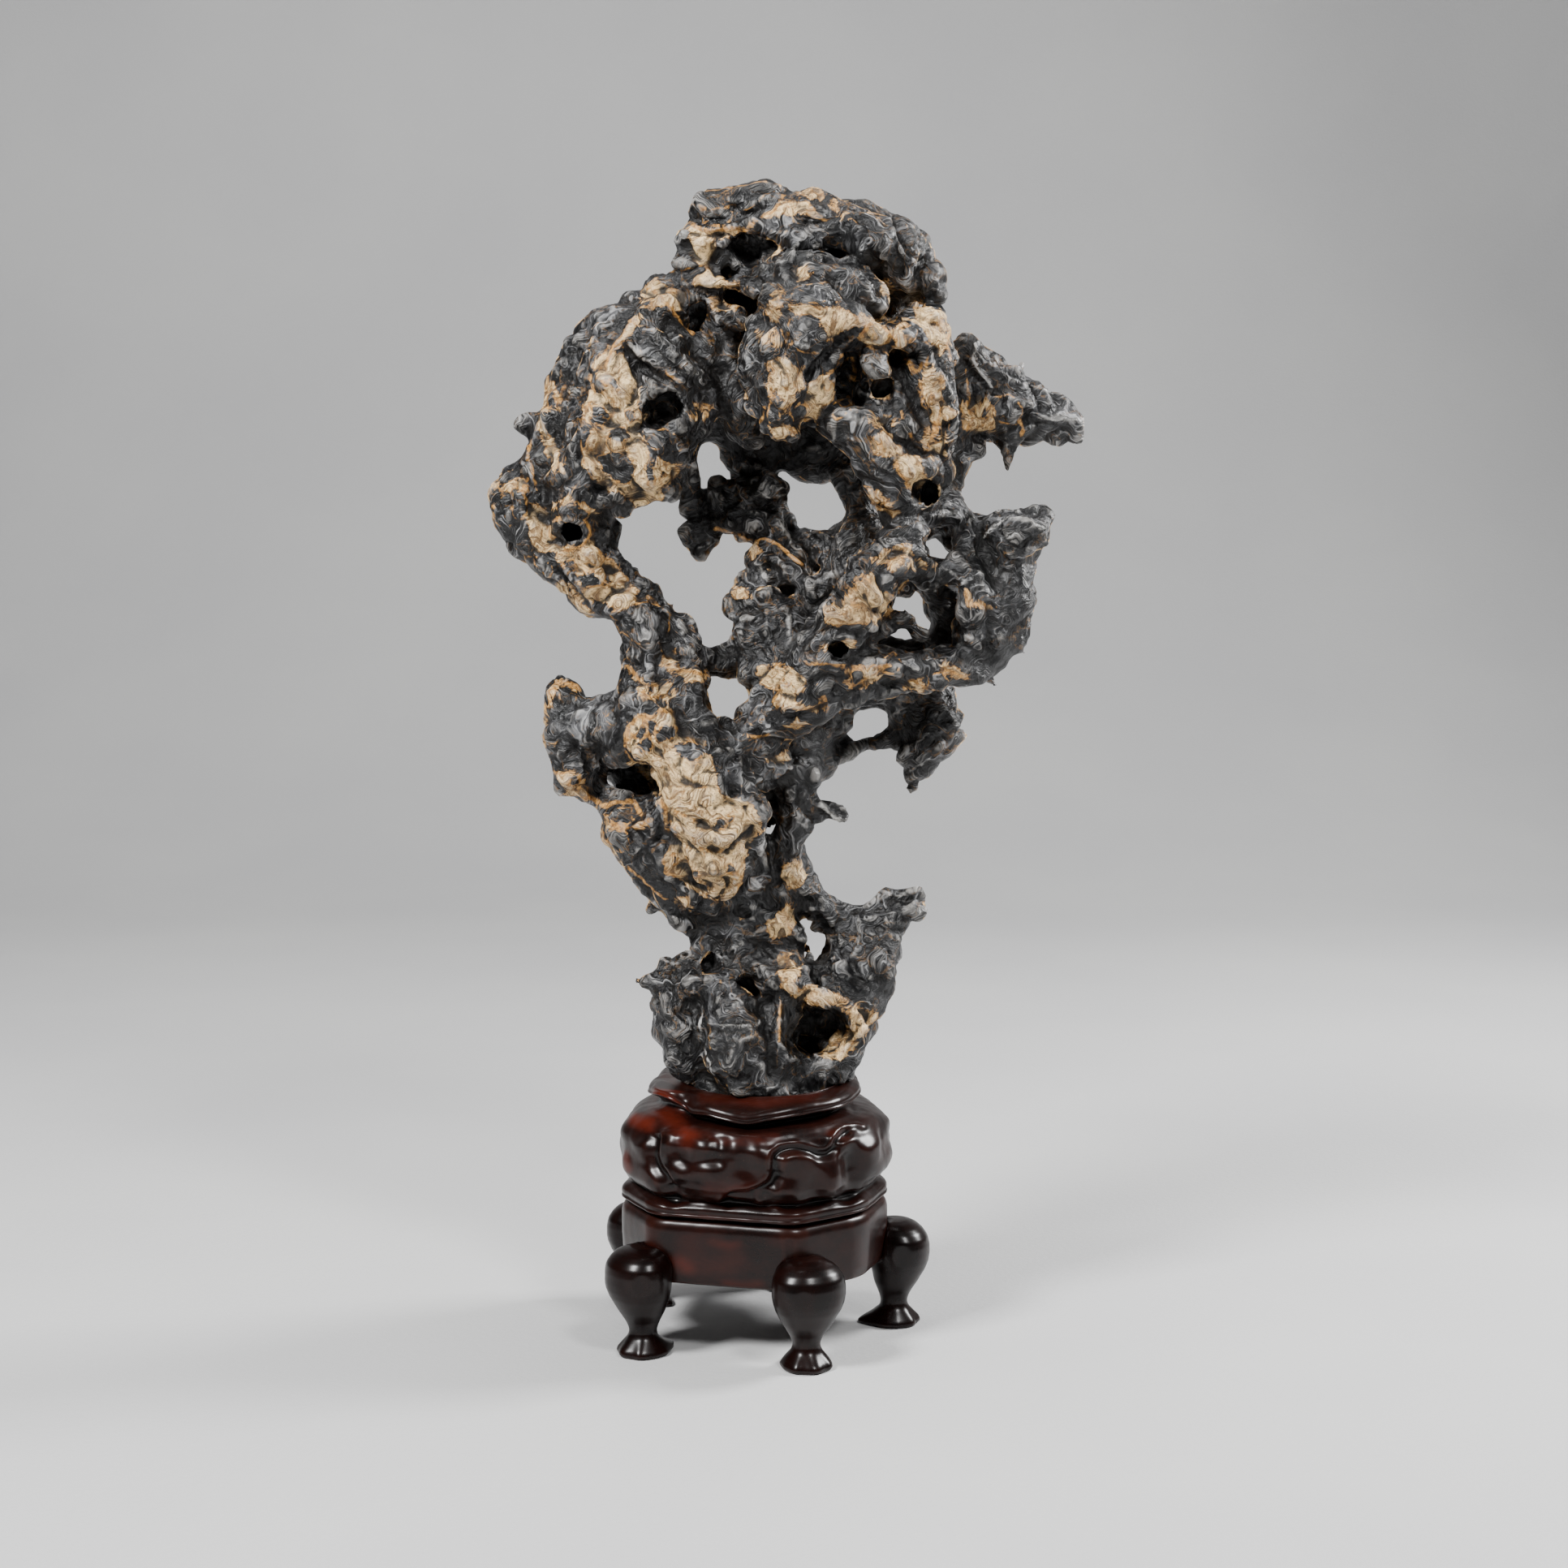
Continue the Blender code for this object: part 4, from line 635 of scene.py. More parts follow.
# The carving: (height, width, line) on the elevation. A raised line beside a sunk one is a lobe's edge.
CARVING = (
    # Left lobe's S edge, with the hollow beside it and the rounded ridge inside it.
    (1.3, 2.2, ((-74, 112), (-75.5, 105), (-76.5, 97), (-75, 92), (-71, 89.5), (-69, 86), (-67, 81))),
    (-3, 5, ((-79, 108), (-80, 98), (-78, 91), (-74, 86), (-71, 79))),
    (1.8, 5, ((-71, 110), (-72, 100), (-69, 92), (-64, 86))),
    # Foot of the left lobe.
    (1.2, 2, ((-62, 73), (-57, 70.5), (-49, 69.5), (-42, 70), (-37.5, 72.5), (-33.5, 77), (-28, 78.5),
        (-20, 79), (-14, 81), (-10.5, 85))),
    (-3.2, 5, ((-34, 71), (-29, 72.5), (-22, 72.5), (-15, 76), (-8, 80), (-5, 85))),
    (1.5, 3.5, ((-31, 81.5), (-22, 82), (-14, 84))),
    # Wave-shaped edge of the upper lobes on the right.
    (1.2, 1.9, ((-9.5, 90), (-9.5, 97), (-7, 101.5), (-3, 104), (3, 105.4), (9, 105.5), (15, 104),
        (20, 102.3), (25, 102), (28, 104), (29.6, 109), (33, 113.5), (38, 116.2), (44, 116.8), (48, 115))),
    (-2.6, 4, ((-5.5, 92), (-5, 98), (-1.5, 101), (4, 102.4), (10, 102.2), (16, 100.5), (21, 98.5), (27, 99),
        (31.5, 103), (33.5, 108), (38, 112))),
    # Low scroll on the right.
    (1.1, 1.8, ((-8, 77), (-14, 75.5), (-17.3, 71.5), (-14.5, 69), (-9, 67.2), (-4, 66))),
    (-1.8, 3.5, ((-10, 72), (-4, 71), (4, 69))), (2, 6, ((-4, 76), (2, 75))),
    # Lumps that catch the light.
    (1.6, 6, ((-57, 105), (-52, 104))), (1.4, 5, ((-47, 101),)), (2.2, 8, ((-51, 89), (-45, 89))),
    (1.8, 7, ((-30, 101), (-20, 100))), (1.5, 4.5, ((-32, 89),)), (1.8, 5, ((-15, 99), (-14, 93))),
    (1.8, 6, ((2, 94), (6, 92))), (1.8, 6, ((16, 95), (19, 93))), (1.5, 4.5, ((9, 101), (14, 99.5))),
    (2.4, 7, ((29, 90), (31, 80))), (1.8, 5, ((35, 105), (39, 105))), (2, 5, ((49, 98), (50, 84))),
    (2.2, 5.5, ((53, 102), (58, 94))), (2, 6, ((54, 118), (58, 112))), (1.8, 5, ((-90, 120), (-86, 118))),
    (1.8, 5, ((-87, 104), (-81, 101))), (1.5, 6, ((-94, 95), (-95, 85))), (1.5, 7, ((-84, 82), (-78, 84))),
    (1.2, 4, ((46, 107), (48, 103))),
    # Hollows between them.
    (-2.4, 4.5, ((-62, 104), (-62, 96), (-58, 92))), (-2.4, 4, ((-39, 104), (-38, 96), (-36, 88))),
    (-2, 5, ((-24, 91), (-18, 88))), (-2.4, 6, ((8, 86), (14, 82), (18, 76))),
    (-2.2, 4.5, ((-6, 88), (-4, 82))), (-2, 4, ((24, 92), (22, 82))),
    (-2.6, 5, ((40, 96), (42, 84), (38, 74))), (-1.8, 3, ((-50, 96), (-42, 95))),
    (-1.8, 3.5, ((-66, 78), (-68, 70))), (-2, 4.5, ((52, 84), (54, 78))),
    (-1.6, 3, ((-88, 110), (-84, 113), (-78, 116))),
    # Shoulder: a rounded edge under the groove.
    (1.2, 5, ((-52, 118), (-44, 115.5), (-36, 113), (-26, 111), (-15, 109.5), (-5, 110.5), (5, 113),
        (18, 115.5), (28, 119), (37, 124.5))),
)
# A painted warm red highlight on the wood: (strength, width, line).
BLOCK_WARM_HIGHLIGHT = (
    (1, 9, ((-74, 143), (-66, 142))), (1, 8, ((-92, 120), (-84, 117))), (0.8, 7, ((-98, 98), (-96, 90))),
    (0.75, 12, ((-78, 128), (-66, 118), (-60, 108))), (0.8, 4, ((-84, 139), (-70, 133), (-62, 127))),
    (0.45, 6, ((-60, 112), (-30, 106), (-5, 108))), (0.5, 10, ((-46, 78), (-20, 76))),
    (0.4, 5, ((28, 112), (38, 110))), (0.45, 7, ((-50, 134), (-10, 131), (20, 137))),
    (0.35, 3, ((-66, 62), (-30, 59), (20, 59))),
)

lift = wavering(block, 14.0, 0.5, 11.0) + wavering(block, 5.0, 0.18, 13.0)
soft = np.zeros(len(lift))
for tall, width, line in CARVING:
    # Short marks are soft lumps, and long ones are edges.
    if len(line) < 4:
        soft += tall * face.line(line, width * 2.0)
    else:
        lift += 1.15 * tall * face.line(line, width * 1.25)
face.carved(evened(lift, face.ends, 4) + evened(soft, face.ends, 14))
# The block's finish takes its painted warm highlight from these marks.
waxed(block, rosewood("carved_rosewood", 0.6, 0.9, 0.25), "stand_top", face.marked(BLOCK_WARM_HIGHLIGHT))


# ---------------------------------------------------------------------------------------------------------
# Scholar's rock. One block of black limestone, pierced through and worn by water into arms, lobes and knobs;
# grey with swirling contour lines, cream and ochre where calcite and clay fill it, oiled to a soft shine.

# Each limb is a chain of knots (across, up, back, radius): back is how far behind the plane of the elevation.
# Neighbouring knots are joined by a hull. The number before them is how many times deeper than wide it is.
LIMBS = (
    # Crown: a block and a dome over a cave, tiers and knobs at the left end, a lobe at the right end.
    (1.5, [(-46, 683, -4, 11), (-30, 684, -6, 13), (-12, 686, -8, 13), (0, 682, -10, 13)]),
    (1.5, [(14, 676, -10, 19), (34, 671, -12, 19), (54, 661, -12, 20), (72, 655, -8, 19), (81, 655, -2, 13)]),
    (1.3, [(72, 642, -10, 14), (86, 637, -6, 13), (92, 635, 0, 9)]),
    (1.5, [(-58, 664, -2, 9), (-50, 661, -8, 11), (-38, 661, -10, 12)]),
    (1, [(-62, 662, -10, 6), (-56, 666, -16, 6)]),
    (1.3, [(-62, 648, -6, 7), (-50, 648, -10, 8), (-42, 646, -12, 7)]),
    (1.2, [(-44, 652, 8, 16), (-14, 656, 10, 22), (20, 652, 8, 24), (50, 644, 6, 24), (74, 638, 8, 16)]),
    (1.2, [(-34, 662, 34, 20), (8, 658, 44, 27), (46, 646, 38, 26), (64, 628, 30, 22)]),
    (1.1, [(-50, 634, 34, 14), (-20, 626, 48, 20), (18, 618, 52, 24), (52, 606, 44, 20)]),
    (1, [(-83, 636, -4, 7), (-60, 634, -14, 8), (-34, 636, -22, 7), (-14, 634, -32, 7)]),
    (1, [(-26, 650, -14, 7), (-18, 646, -18, 8), (-8, 652, -18, 7)]),
    (1, [(-36, 668, -22, 6), (-20, 671, -26, 7), (-2, 668, -28, 8), (14, 664, -28, 8)]),
    # Boss: the lobe that hangs forward over the chamber.
    (1, [(-8, 640, -34, 10), (8, 642, -40, 12), (24, 641, -38, 13), (40, 636, -36, 14), (54, 626, -32, 12)]),
    (1, [(0, 624, -46, 17), (20, 618, -48, 18), (38, 612, -44, 15)]),
    (1, [(16, 604, -50, 18), (2, 592, -50, 18), (0, 570, -50, 17), (0, 554, -48, 12), (4, 546, -46, 7)]),
    (1, [(28, 596, -46, 13), (20, 578, -48, 14), (16, 562, -46, 11)]),
    (1, [(-14, 606, -42, 12), (-16, 584, -40, 12), (-12, 564, -38, 11), (-6, 546, -42, 7)]),
    (1.3, [(9, 640, -6, 24), (10, 612, -12, 24), (0, 590, -4, 22), (-6, 568, -4, 16)]),
    # Strap over the shoulder cave, and the right shoulder.
    (1, [(34, 606, -44, 11), (50, 604, -44, 10), (64, 602, -42, 10), (80, 606, -32, 10)]),
    (1.2, [(78, 606, -22, 13), (90, 612, -20, 13), (94, 598, -18, 14)]),
    (1.3, [(94, 598, -18, 14), (92, 574, -22, 15), (94, 552, -22, 14), (92, 532, -18, 14),
        (94, 514, -12, 11)]),
    (1.2, [(50, 588, -18, 16), (60, 564, -22, 20), (74, 544, -24, 18), (78, 580, -10, 18)]),
    (1, [(52, 598, -34, 7), (54, 588, -40, 9), (60, 580, -38, 7)]),
    (1, [(22, 557, -38, 10), (34, 549, -42, 12), (48, 544, -42, 14), (54, 528, -40, 14), (68, 520, -38, 14),
        (82, 526, -30, 14)]),
    (1, [(56, 514, -32, 11), (66, 504, -30, 12), (82, 506, -26, 13)]),
    (1.1, [(58, 612, 20, 24), (72, 586, 26, 26), (66, 556, 28, 24), (70, 530, 22, 20)]),
    # Right wing: a flat blade with teeth.
    (0.8, [(100, 580, 10, 20), (118, 571, 14, 24), (132, 561, 16, 24), (147, 557, 18, 19), (165, 553, 20, 15),
        (178, 546, 21, 8)]),
    (0.9, [(112, 596, 6, 10), (126, 584, 8, 9), (144, 568, 10, 9), (164, 556, 14, 8)]),
    (0.9, [(150, 545, 20, 9), (168, 542, 21, 7), (179, 541, 21, 5)]),
    (0.8, [(104, 552, 4, 16), (108, 536, 6, 12), (104, 524, 2, 10), (103, 512, 0, 7)]),
    (1, [(143, 574, 17, 6), (147, 587, 17, 2)]),
    (1, [(160, 562, 19, 6), (166, 569, 19, 2)]),
    (1, [(138, 544, 12, 8), (138, 530, 8, 5), (138, 521, 6, 2)]),
    (1, [(116, 536, 6, 8), (113, 526, 2, 4)]),
    # Waist between shoulder and fan, with the keyhole in it.
    (1.3, [(72, 508, -12, 15), (84, 500, -8, 14), (98, 500, -2, 10)]),
    (1.2, [(72, 496, -18, 14), (72, 482, -20, 13)]),
    (1.2, [(96, 498, -2, 10), (112, 488, 0, 9), (126, 482, -2, 11)]),
    (1.2, [(114, 488, -4, 8), (114, 474, -4, 9), (112, 462, -6, 10)]),
    (1, [(84, 486, 24, 10), (98, 486, 26, 10), (108, 478, 24, 10), (98, 488, 12, 9)]),
    # Fan: the broad plate at the right.
    (1, [(130, 482, -4, 13), (146, 481, -12, 17), (155, 489, -10, 11)]),
    (0.9, [(122, 476, 0, 14), (138, 460, 0, 20), (136, 440, 0, 22), (128, 422, 0, 22), (122, 408, 0, 18)]),
    (0.8, [(146, 468, 6, 14), (146, 446, 6, 12), (140, 424, 6, 13), (132, 407, 6, 11)]),
    (1.2, [(112, 462, -8, 12), (98, 459, -12, 10), (84, 464, -20, 12), (72, 470, -24, 14)]),
    (1, [(118, 456, -14, 10), (120, 440, -16, 10), (118, 420, -14, 9), (112, 404, -12, 9)]),
    (1, [(126, 396, 4, 6), (130, 388, 4, 2)]),
    (1, [(142, 414, 6, 7), (149, 407, 6, 2)]),
    # Right arm, climbing from the trunk, and the band under the eye.
    (1.2, [(-2, 368, -14, 18), (8, 384, -24, 20), (20, 402, -32, 20), (32, 420, -36, 19), (43, 438, -38, 18),
        (54, 456, -36, 18), (68, 468, -30, 17), (80, 478, -24, 13)]),
    (1, [(34, 444, -48, 7), (46, 458, -50, 8), (58, 468, -46, 9), (70, 478, -40, 8)]),
    (1, [(20, 420, -46, 7), (30, 432, -50, 8)]),
    (1.1, [(14, 390, -32, 13), (36, 398, -34, 12), (58, 398, -32, 12), (78, 400, -26, 12), (98, 398, -18, 12),
        (116, 398, -8, 12), (126, 404, 0, 12)]),
    (1, [(6, 366, -28, 12), (26, 380, -32, 11), (48, 386, -32, 9), (80, 388, -26, 7), (96, 390, -18, 7)]),
    # Eye: a bowl behind arm, band and fan, with a crescent slot and a tongue inside it.
    (1, [(44, 410, 10, 14), (62, 404, 20, 13), (84, 406, 24, 13), (104, 414, 22, 14)]),
    (1, [(104, 414, 22, 14), (102, 432, 24, 15), (98, 450, 20, 14), (82, 460, 12, 13)]),
    (1, [(44, 410, 10, 14), (52, 430, 16, 15), (60, 450, 12, 15), (78, 462, 10, 14)]),
    (1, [(50, 420, 0, 9), (62, 424, -4, 9), (74, 430, -4, 8), (79, 424, 0, 6), (84, 420, 6, 5)]),
    # Left ring: outer edge first, then its face towards the front and its back.
    (1.7, [(-80, 626, 0, 10), (-97, 614, 0, 12), (-113, 609, 2, 11), (-122, 597, 2, 12), (-130, 576, 2, 14),
        (-138, 551, 2, 16), (-143, 530, 2, 16)]),
    (1.6, [(-143, 530, 2, 16), (-161, 502, 4, 20), (-155, 482, 4, 19), (-139, 466, 2, 18), (-122, 452, 0, 17),
        (-106, 441, -2, 15), (-94, 434, -6, 16)]),
    (1.3, [(-74, 614, -14, 16), (-98, 600, -14, 18), (-108, 572, -18, 22), (-112, 542, -22, 23),
        (-130, 512, -14, 20), (-126, 480, -10, 17)]),
    (1.2, [(-90, 602, -28, 13), (-76, 596, -32, 15), (-66, 584, -32, 14), (-58, 574, -28, 11)]),
    (1, [(-88, 608, -30, 6), (-98, 590, -34, 6), (-98, 572, -36, 7), (-84, 568, -40, 7), (-70, 564, -38, 7)]),
    (1.2, [(-96, 560, -30, 18), (-98, 536, -32, 19), (-98, 516, -28, 14), (-106, 500, -20, 11)]),
    (1.2, [(-78, 566, -26, 18), (-70, 548, -30, 20), (-84, 528, -32, 20), (-76, 512, -30, 13)]),
    (1.2, [(-54, 574, -18, 12), (-52, 558, -20, 13), (-62, 548, -26, 14), (-68, 528, -26, 13),
        (-72, 510, -24, 10), (-90, 504, -22, 9)]),
    (1.2, [(-116, 508, -8, 12), (-115, 488, -8, 12), (-112, 468, -8, 12), (-98, 450, -8, 12),
        (-86, 442, -8, 12)]),
    (1, [(-134, 500, -26, 11), (-128, 478, -24, 11), (-118, 462, -22, 10)]),
    (1.1, [(-62, 606, 28, 16), (-98, 590, 34, 20), (-122, 552, 36, 20), (-138, 508, 32, 18),
        (-124, 470, 26, 15), (-102, 446, 20, 14)]),
    (1, [(-74, 590, 26, 18), (-80, 558, 22, 20), (-88, 530, 18, 15)]),
    (1, [(-113, 612, 0, 9), (-111, 618, 0, 3)]),
    (1, [(-150, 546, 4, 9), (-160, 550, 4, 7)]),
    (1, [(-172, 506, 4, 10), (-177, 508, 4, 5)]),
    (1, [(-98, 620, -4, 8), (-94, 627, -4, 3)]),
    (1, [(-82, 634, -2, 8), (-80, 640, -2, 4)]),
    # Cleft between ring and boss.
    (1.1, [(-38, 616, 0, 12), (-40, 600, -6, 13), (-30, 584, -8, 15), (-30, 564, -8, 16), (-24, 546, 0, 13)]),
    (1, [(-20, 576, -26, 7), (-22, 564, -24, 9)]),
    (1, [(-62, 624, -12, 8), (-44, 622, -14, 7), (-28, 612, -22, 9)]),
    (1, [(-56, 602, -20, 8), (-46, 590, -20, 8)]),
    (1.2, [(-46, 628, 26, 16), (-34, 598, 34, 22), (-24, 570, 40, 24), (10, 580, 44, 26)]),
    # Walls behind the chamber.
    (0.9, [(-50, 548, 26, 13), (-22, 546, 34, 15), (12, 544, 38, 15), (42, 534, 32, 17)]),
    (0.9, [(-60, 540, 24, 11), (-62, 518, 28, 9), (-56, 500, 28, 10), (-44, 500, 30, 9)]),
    (0.9, [(-28, 536, 36, 12), (-20, 516, 38, 16), (-12, 496, 34, 16), (-30, 496, 30, 12)]),
    (1.1, [(44, 530, 28, 15), (46, 508, 24, 15), (50, 488, 16, 15), (44, 466, 4, 14)]),
    (1, [(-4, 484, 32, 12), (16, 472, 30, 11), (34, 478, 26, 12), (50, 486, 20, 13)]),
    (0.9, [(-34, 560, 14, 14), (0, 566, 14, 18), (42, 556, 12, 18)]),
    (0.9, [(-6, 532, 38, 12), (14, 526, 36, 11), (34, 524, 32, 12)]),
    (1.2, [(30, 596, 4, 20), (40, 570, 8, 20), (50, 550, 6, 18)]),
    # Coral: knobbed branches inside the chamber, behind the front forms.
    (1, [(-44, 496, 26, 9), (-50, 486, 22, 9), (-60, 478, 16, 7), (-53, 471, 16, 8), (-44, 478, 20, 7)]),
    (1, [(-38, 508, 18, 9), (-38, 492, 16, 9), (-26, 486, 14, 9), (-20, 500, 16, 9), (-28, 510, 18, 8)]),
    (1, [(-16, 508, 16, 9), (-6, 512, 10, 7), (0, 506, 8, 6)]),
    (1, [(-14, 488, 20, 11), (-6, 474, 14, 12), (-14, 468, 6, 9), (-6, 460, 0, 10), (8, 466, 6, 10)]),
    (1, [(8, 476, 18, 9), (20, 480, 14, 8), (30, 470, 8, 9), (30, 454, -2, 10), (20, 440, -6, 10)]),
    (1.1, [(6, 462, 14, 14), (2, 444, 8, 16), (6, 426, 0, 18), (0, 404, -6, 19)]),
    (1, [(-10, 452, 4, 9), (-24, 448, 2, 8), (-32, 442, 2, 6), (-28, 430, 0, 8)]),
    (1.1, [(4, 470, 34, 14), (10, 448, 32, 18), (12, 420, 28, 20), (4, 392, 24, 20)]),
    # Central trunk and the saddle between the two openings.
    (1.3, [(-16, 440, 2, 13), (-18, 424, 0, 15), (-16, 404, -4, 16), (-14, 384, -8, 16), (-12, 362, -8, 18),
        (-14, 338, -6, 18)]),
    (1, [(-8, 440, -14, 9), (-6, 420, -18, 10), (-4, 398, -22, 11), (-8, 378, -24, 10)]),
    (1.1, [(-58, 404, 0, 12), (-46, 400, 4, 10), (-34, 402, 6, 10), (-22, 408, 4, 13)]),
    # Left trunk.
    (1.4, [(-94, 434, -6, 16), (-84, 426, -10, 19), (-83, 404, -12, 18), (-84, 382, -14, 20),
        (-78, 360, -16, 24)]),
    (1.2, [(-66, 420, -8, 13), (-62, 398, -12, 17), (-60, 374, -18, 17), (-52, 352, -20, 20),
        (-30, 350, -14, 15)]),
    (1, [(-72, 430, -8, 8), (-69, 438, -8, 3)]),
    (1.3, [(-84, 378, -8, 18), (-100, 366, -6, 17), (-98, 350, -8, 16)]),
    (1.1, [(-88, 420, 18, 15), (-82, 384, 26, 20), (-66, 350, 32, 24), (-50, 312, 32, 22), (-34, 280, 24, 20),
        (-28, 250, 16, 18)]),
    (1.1, [(0, 388, 22, 20), (-12, 352, 28, 22), (-16, 316, 26, 20)]),
    # Belly: the swelling low on the left trunk.
    (1, [(-66, 342, -30, 20), (-48, 334, -34, 22), (-58, 316, -34, 22), (-44, 300, -40, 23),
        (-44, 280, -38, 18), (-38, 268, -34, 13)]),
    (1, [(-34, 330, -28, 17), (-28, 312, -34, 17), (-26, 292, -34, 16), (-32, 274, -34, 13)]),
    (1.3, [(-60, 330, 0, 22), (-40, 310, 0, 24), (-36, 284, 0, 22)]),
    # Left flank under the hook, running down to the neck.
    (1.4, [(-100, 312, -4, 13), (-98, 298, -4, 15), (-88, 286, -4, 17), (-78, 272, -4, 16),
        (-70, 258, -2, 13), (-60, 246, 2, 12)]),
    (1.2, [(-80, 306, -12, 18), (-70, 284, -14, 18), (-58, 264, -10, 16), (-38, 256, -8, 16),
        (-22, 262, -4, 14)]),
    (1, [(-76, 258, 0, 9), (-83, 250, 0, 4)]),
    # Left hook.
    (1.2, [(-138, 388, 4, 8), (-135, 377, 4, 13), (-131, 362, 2, 17), (-134, 344, 2, 14), (-130, 329, 2, 12),
        (-124, 320, 0, 6)]),
    (1.3, [(-131, 362, 2, 17), (-116, 364, -2, 17), (-100, 366, -6, 18)]),
    (1.1, [(-122, 350, 4, 14), (-114, 340, 8, 10), (-118, 326, 6, 8)]),
    (1, [(-122, 320, 4, 7), (-108, 319, 6, 8), (-98, 314, 2, 9)]),
    (1, [(-108, 346, 22, 13), (-98, 330, 26, 13), (-88, 322, 26, 15)]),
    # Web and pendant, dark and well back under the band.
    (1, [(6, 352, 10, 18), (22, 364, 22, 16), (40, 384, 26, 14), (66, 384, 34, 13), (90, 382, 36, 12)]),
    (0.9, [(8, 336, 8, 16), (22, 342, 18, 12), (34, 350, 26, 8), (50, 350, 32, 7), (66, 356, 36, 9),
        (84, 362, 36, 14)]),
    (0.9, [(68, 380, 36, 12), (74, 364, 36, 12)]),
    (0.9, [(97, 382, 32, 9), (96, 368, 30, 15), (92, 352, 28, 14), (82, 340, 28, 11), (78, 326, 28, 5)]),
    (1, [(102, 360, 30, 8), (109, 357, 30, 3)]),
    # Neck: two columns above the foot.
    (1.2, [(8, 334, 4, 14), (6, 316, 4, 13), (4, 300, 4, 12), (3, 282, 2, 11), (6, 266, 0, 12),
        (0, 250, 0, 12), (-3, 236, 0, 13)]),
    (1, [(12, 314, 4, 10), (28, 310, 4, 7), (37, 306, 4, 5)]),
    (1.2, [(-22, 296, 4, 12), (-18, 276, 2, 12), (-16, 258, 0, 14)]),
    (1.4, [(-56, 242, 6, 10), (-40, 238, 2, 15), (-20, 238, -2, 16), (-4, 240, -2, 15)]),
    (1.4, [(-46, 224, 2, 13), (-26, 220, -4, 16), (-4, 218, -4, 15)]),
    (1, [(-38, 262, 22, 16), (-20, 236, 26, 20), (0, 212, 26, 22)]),
    # Foot: a bowl with a left spur, a right horn and a blind mouth.
    (1.1, [(-91, 206, -4, 3), (-84, 205, -6, 6), (-72, 204, -8, 9)]),
    (1, [(-70, 215, -6, 7), (-62, 212, -10, 9), (-48, 214, -14, 10)]),
    (1.3, [(-72, 202, -8, 10), (-58, 204, -16, 13), (-36, 204, -22, 14), (-14, 206, -22, 14)]),
    (1.7, [(-68, 192, -6, 17), (-62, 174, -6, 18), (-54, 158, -6, 16), (-46, 144, -4, 13)]),
    (1.7, [(-34, 190, -20, 20), (-30, 170, -22, 24), (-24, 150, -18, 22), (-20, 136, -12, 18)]),
    (1.5, [(4, 208, -12, 15), (-2, 190, -16, 16), (-4, 170, -18, 18), (-2, 150, -16, 18)]),
    (1.5, [(34, 204, -6, 18), (46, 186, -6, 14), (44, 172, -8, 12), (34, 156, -8, 13), (24, 144, -4, 14)]),
    (1.1, [(0, 206, -30, 9), (20, 196, -34, 8), (38, 190, -30, 8), (46, 178, -26, 7)]),
    (1.4, [(0, 150, -20, 15), (16, 150, -18, 12), (30, 154, -14, 11)]),
    (1.3, [(-50, 186, 26, 20), (-14, 190, 34, 26), (26, 186, 28, 22)]),
    (1.3, [(-42, 148, 20, 20), (-12, 146, 28, 24), (16, 148, 20, 20)]),
    (1.3, [(-44, 136, -4, 22), (-14, 136, -22, 26), (16, 140, -6, 22)]),
    (1.6, [(-30, 138, 0, 26), (4, 138, 0, 26)]),
    (1.2, [(34, 226, 0, 14), (50, 238, 2, 13), (64, 246, 3, 14), (78, 253, 4, 11)]),
    (1, [(64, 257, 3, 7), (80, 258, 4, 7)]),
    (1.5, [(62, 240, 2, 12), (56, 220, -2, 16), (50, 200, -2, 16)]),
    (1.2, [(8, 264, 0, 10), (20, 254, 0, 10), (32, 248, 0, 10), (46, 240, 2, 11)]),
    (1, [(22, 238, 6, 6), (34, 236, 4, 6)]),
    (1.2, [(2, 240, -4, 10), (0, 224, -8, 11), (4, 210, -10, 13)]),
    (1.2, [(14, 210, 2, 13), (34, 212, 2, 14)]),
)

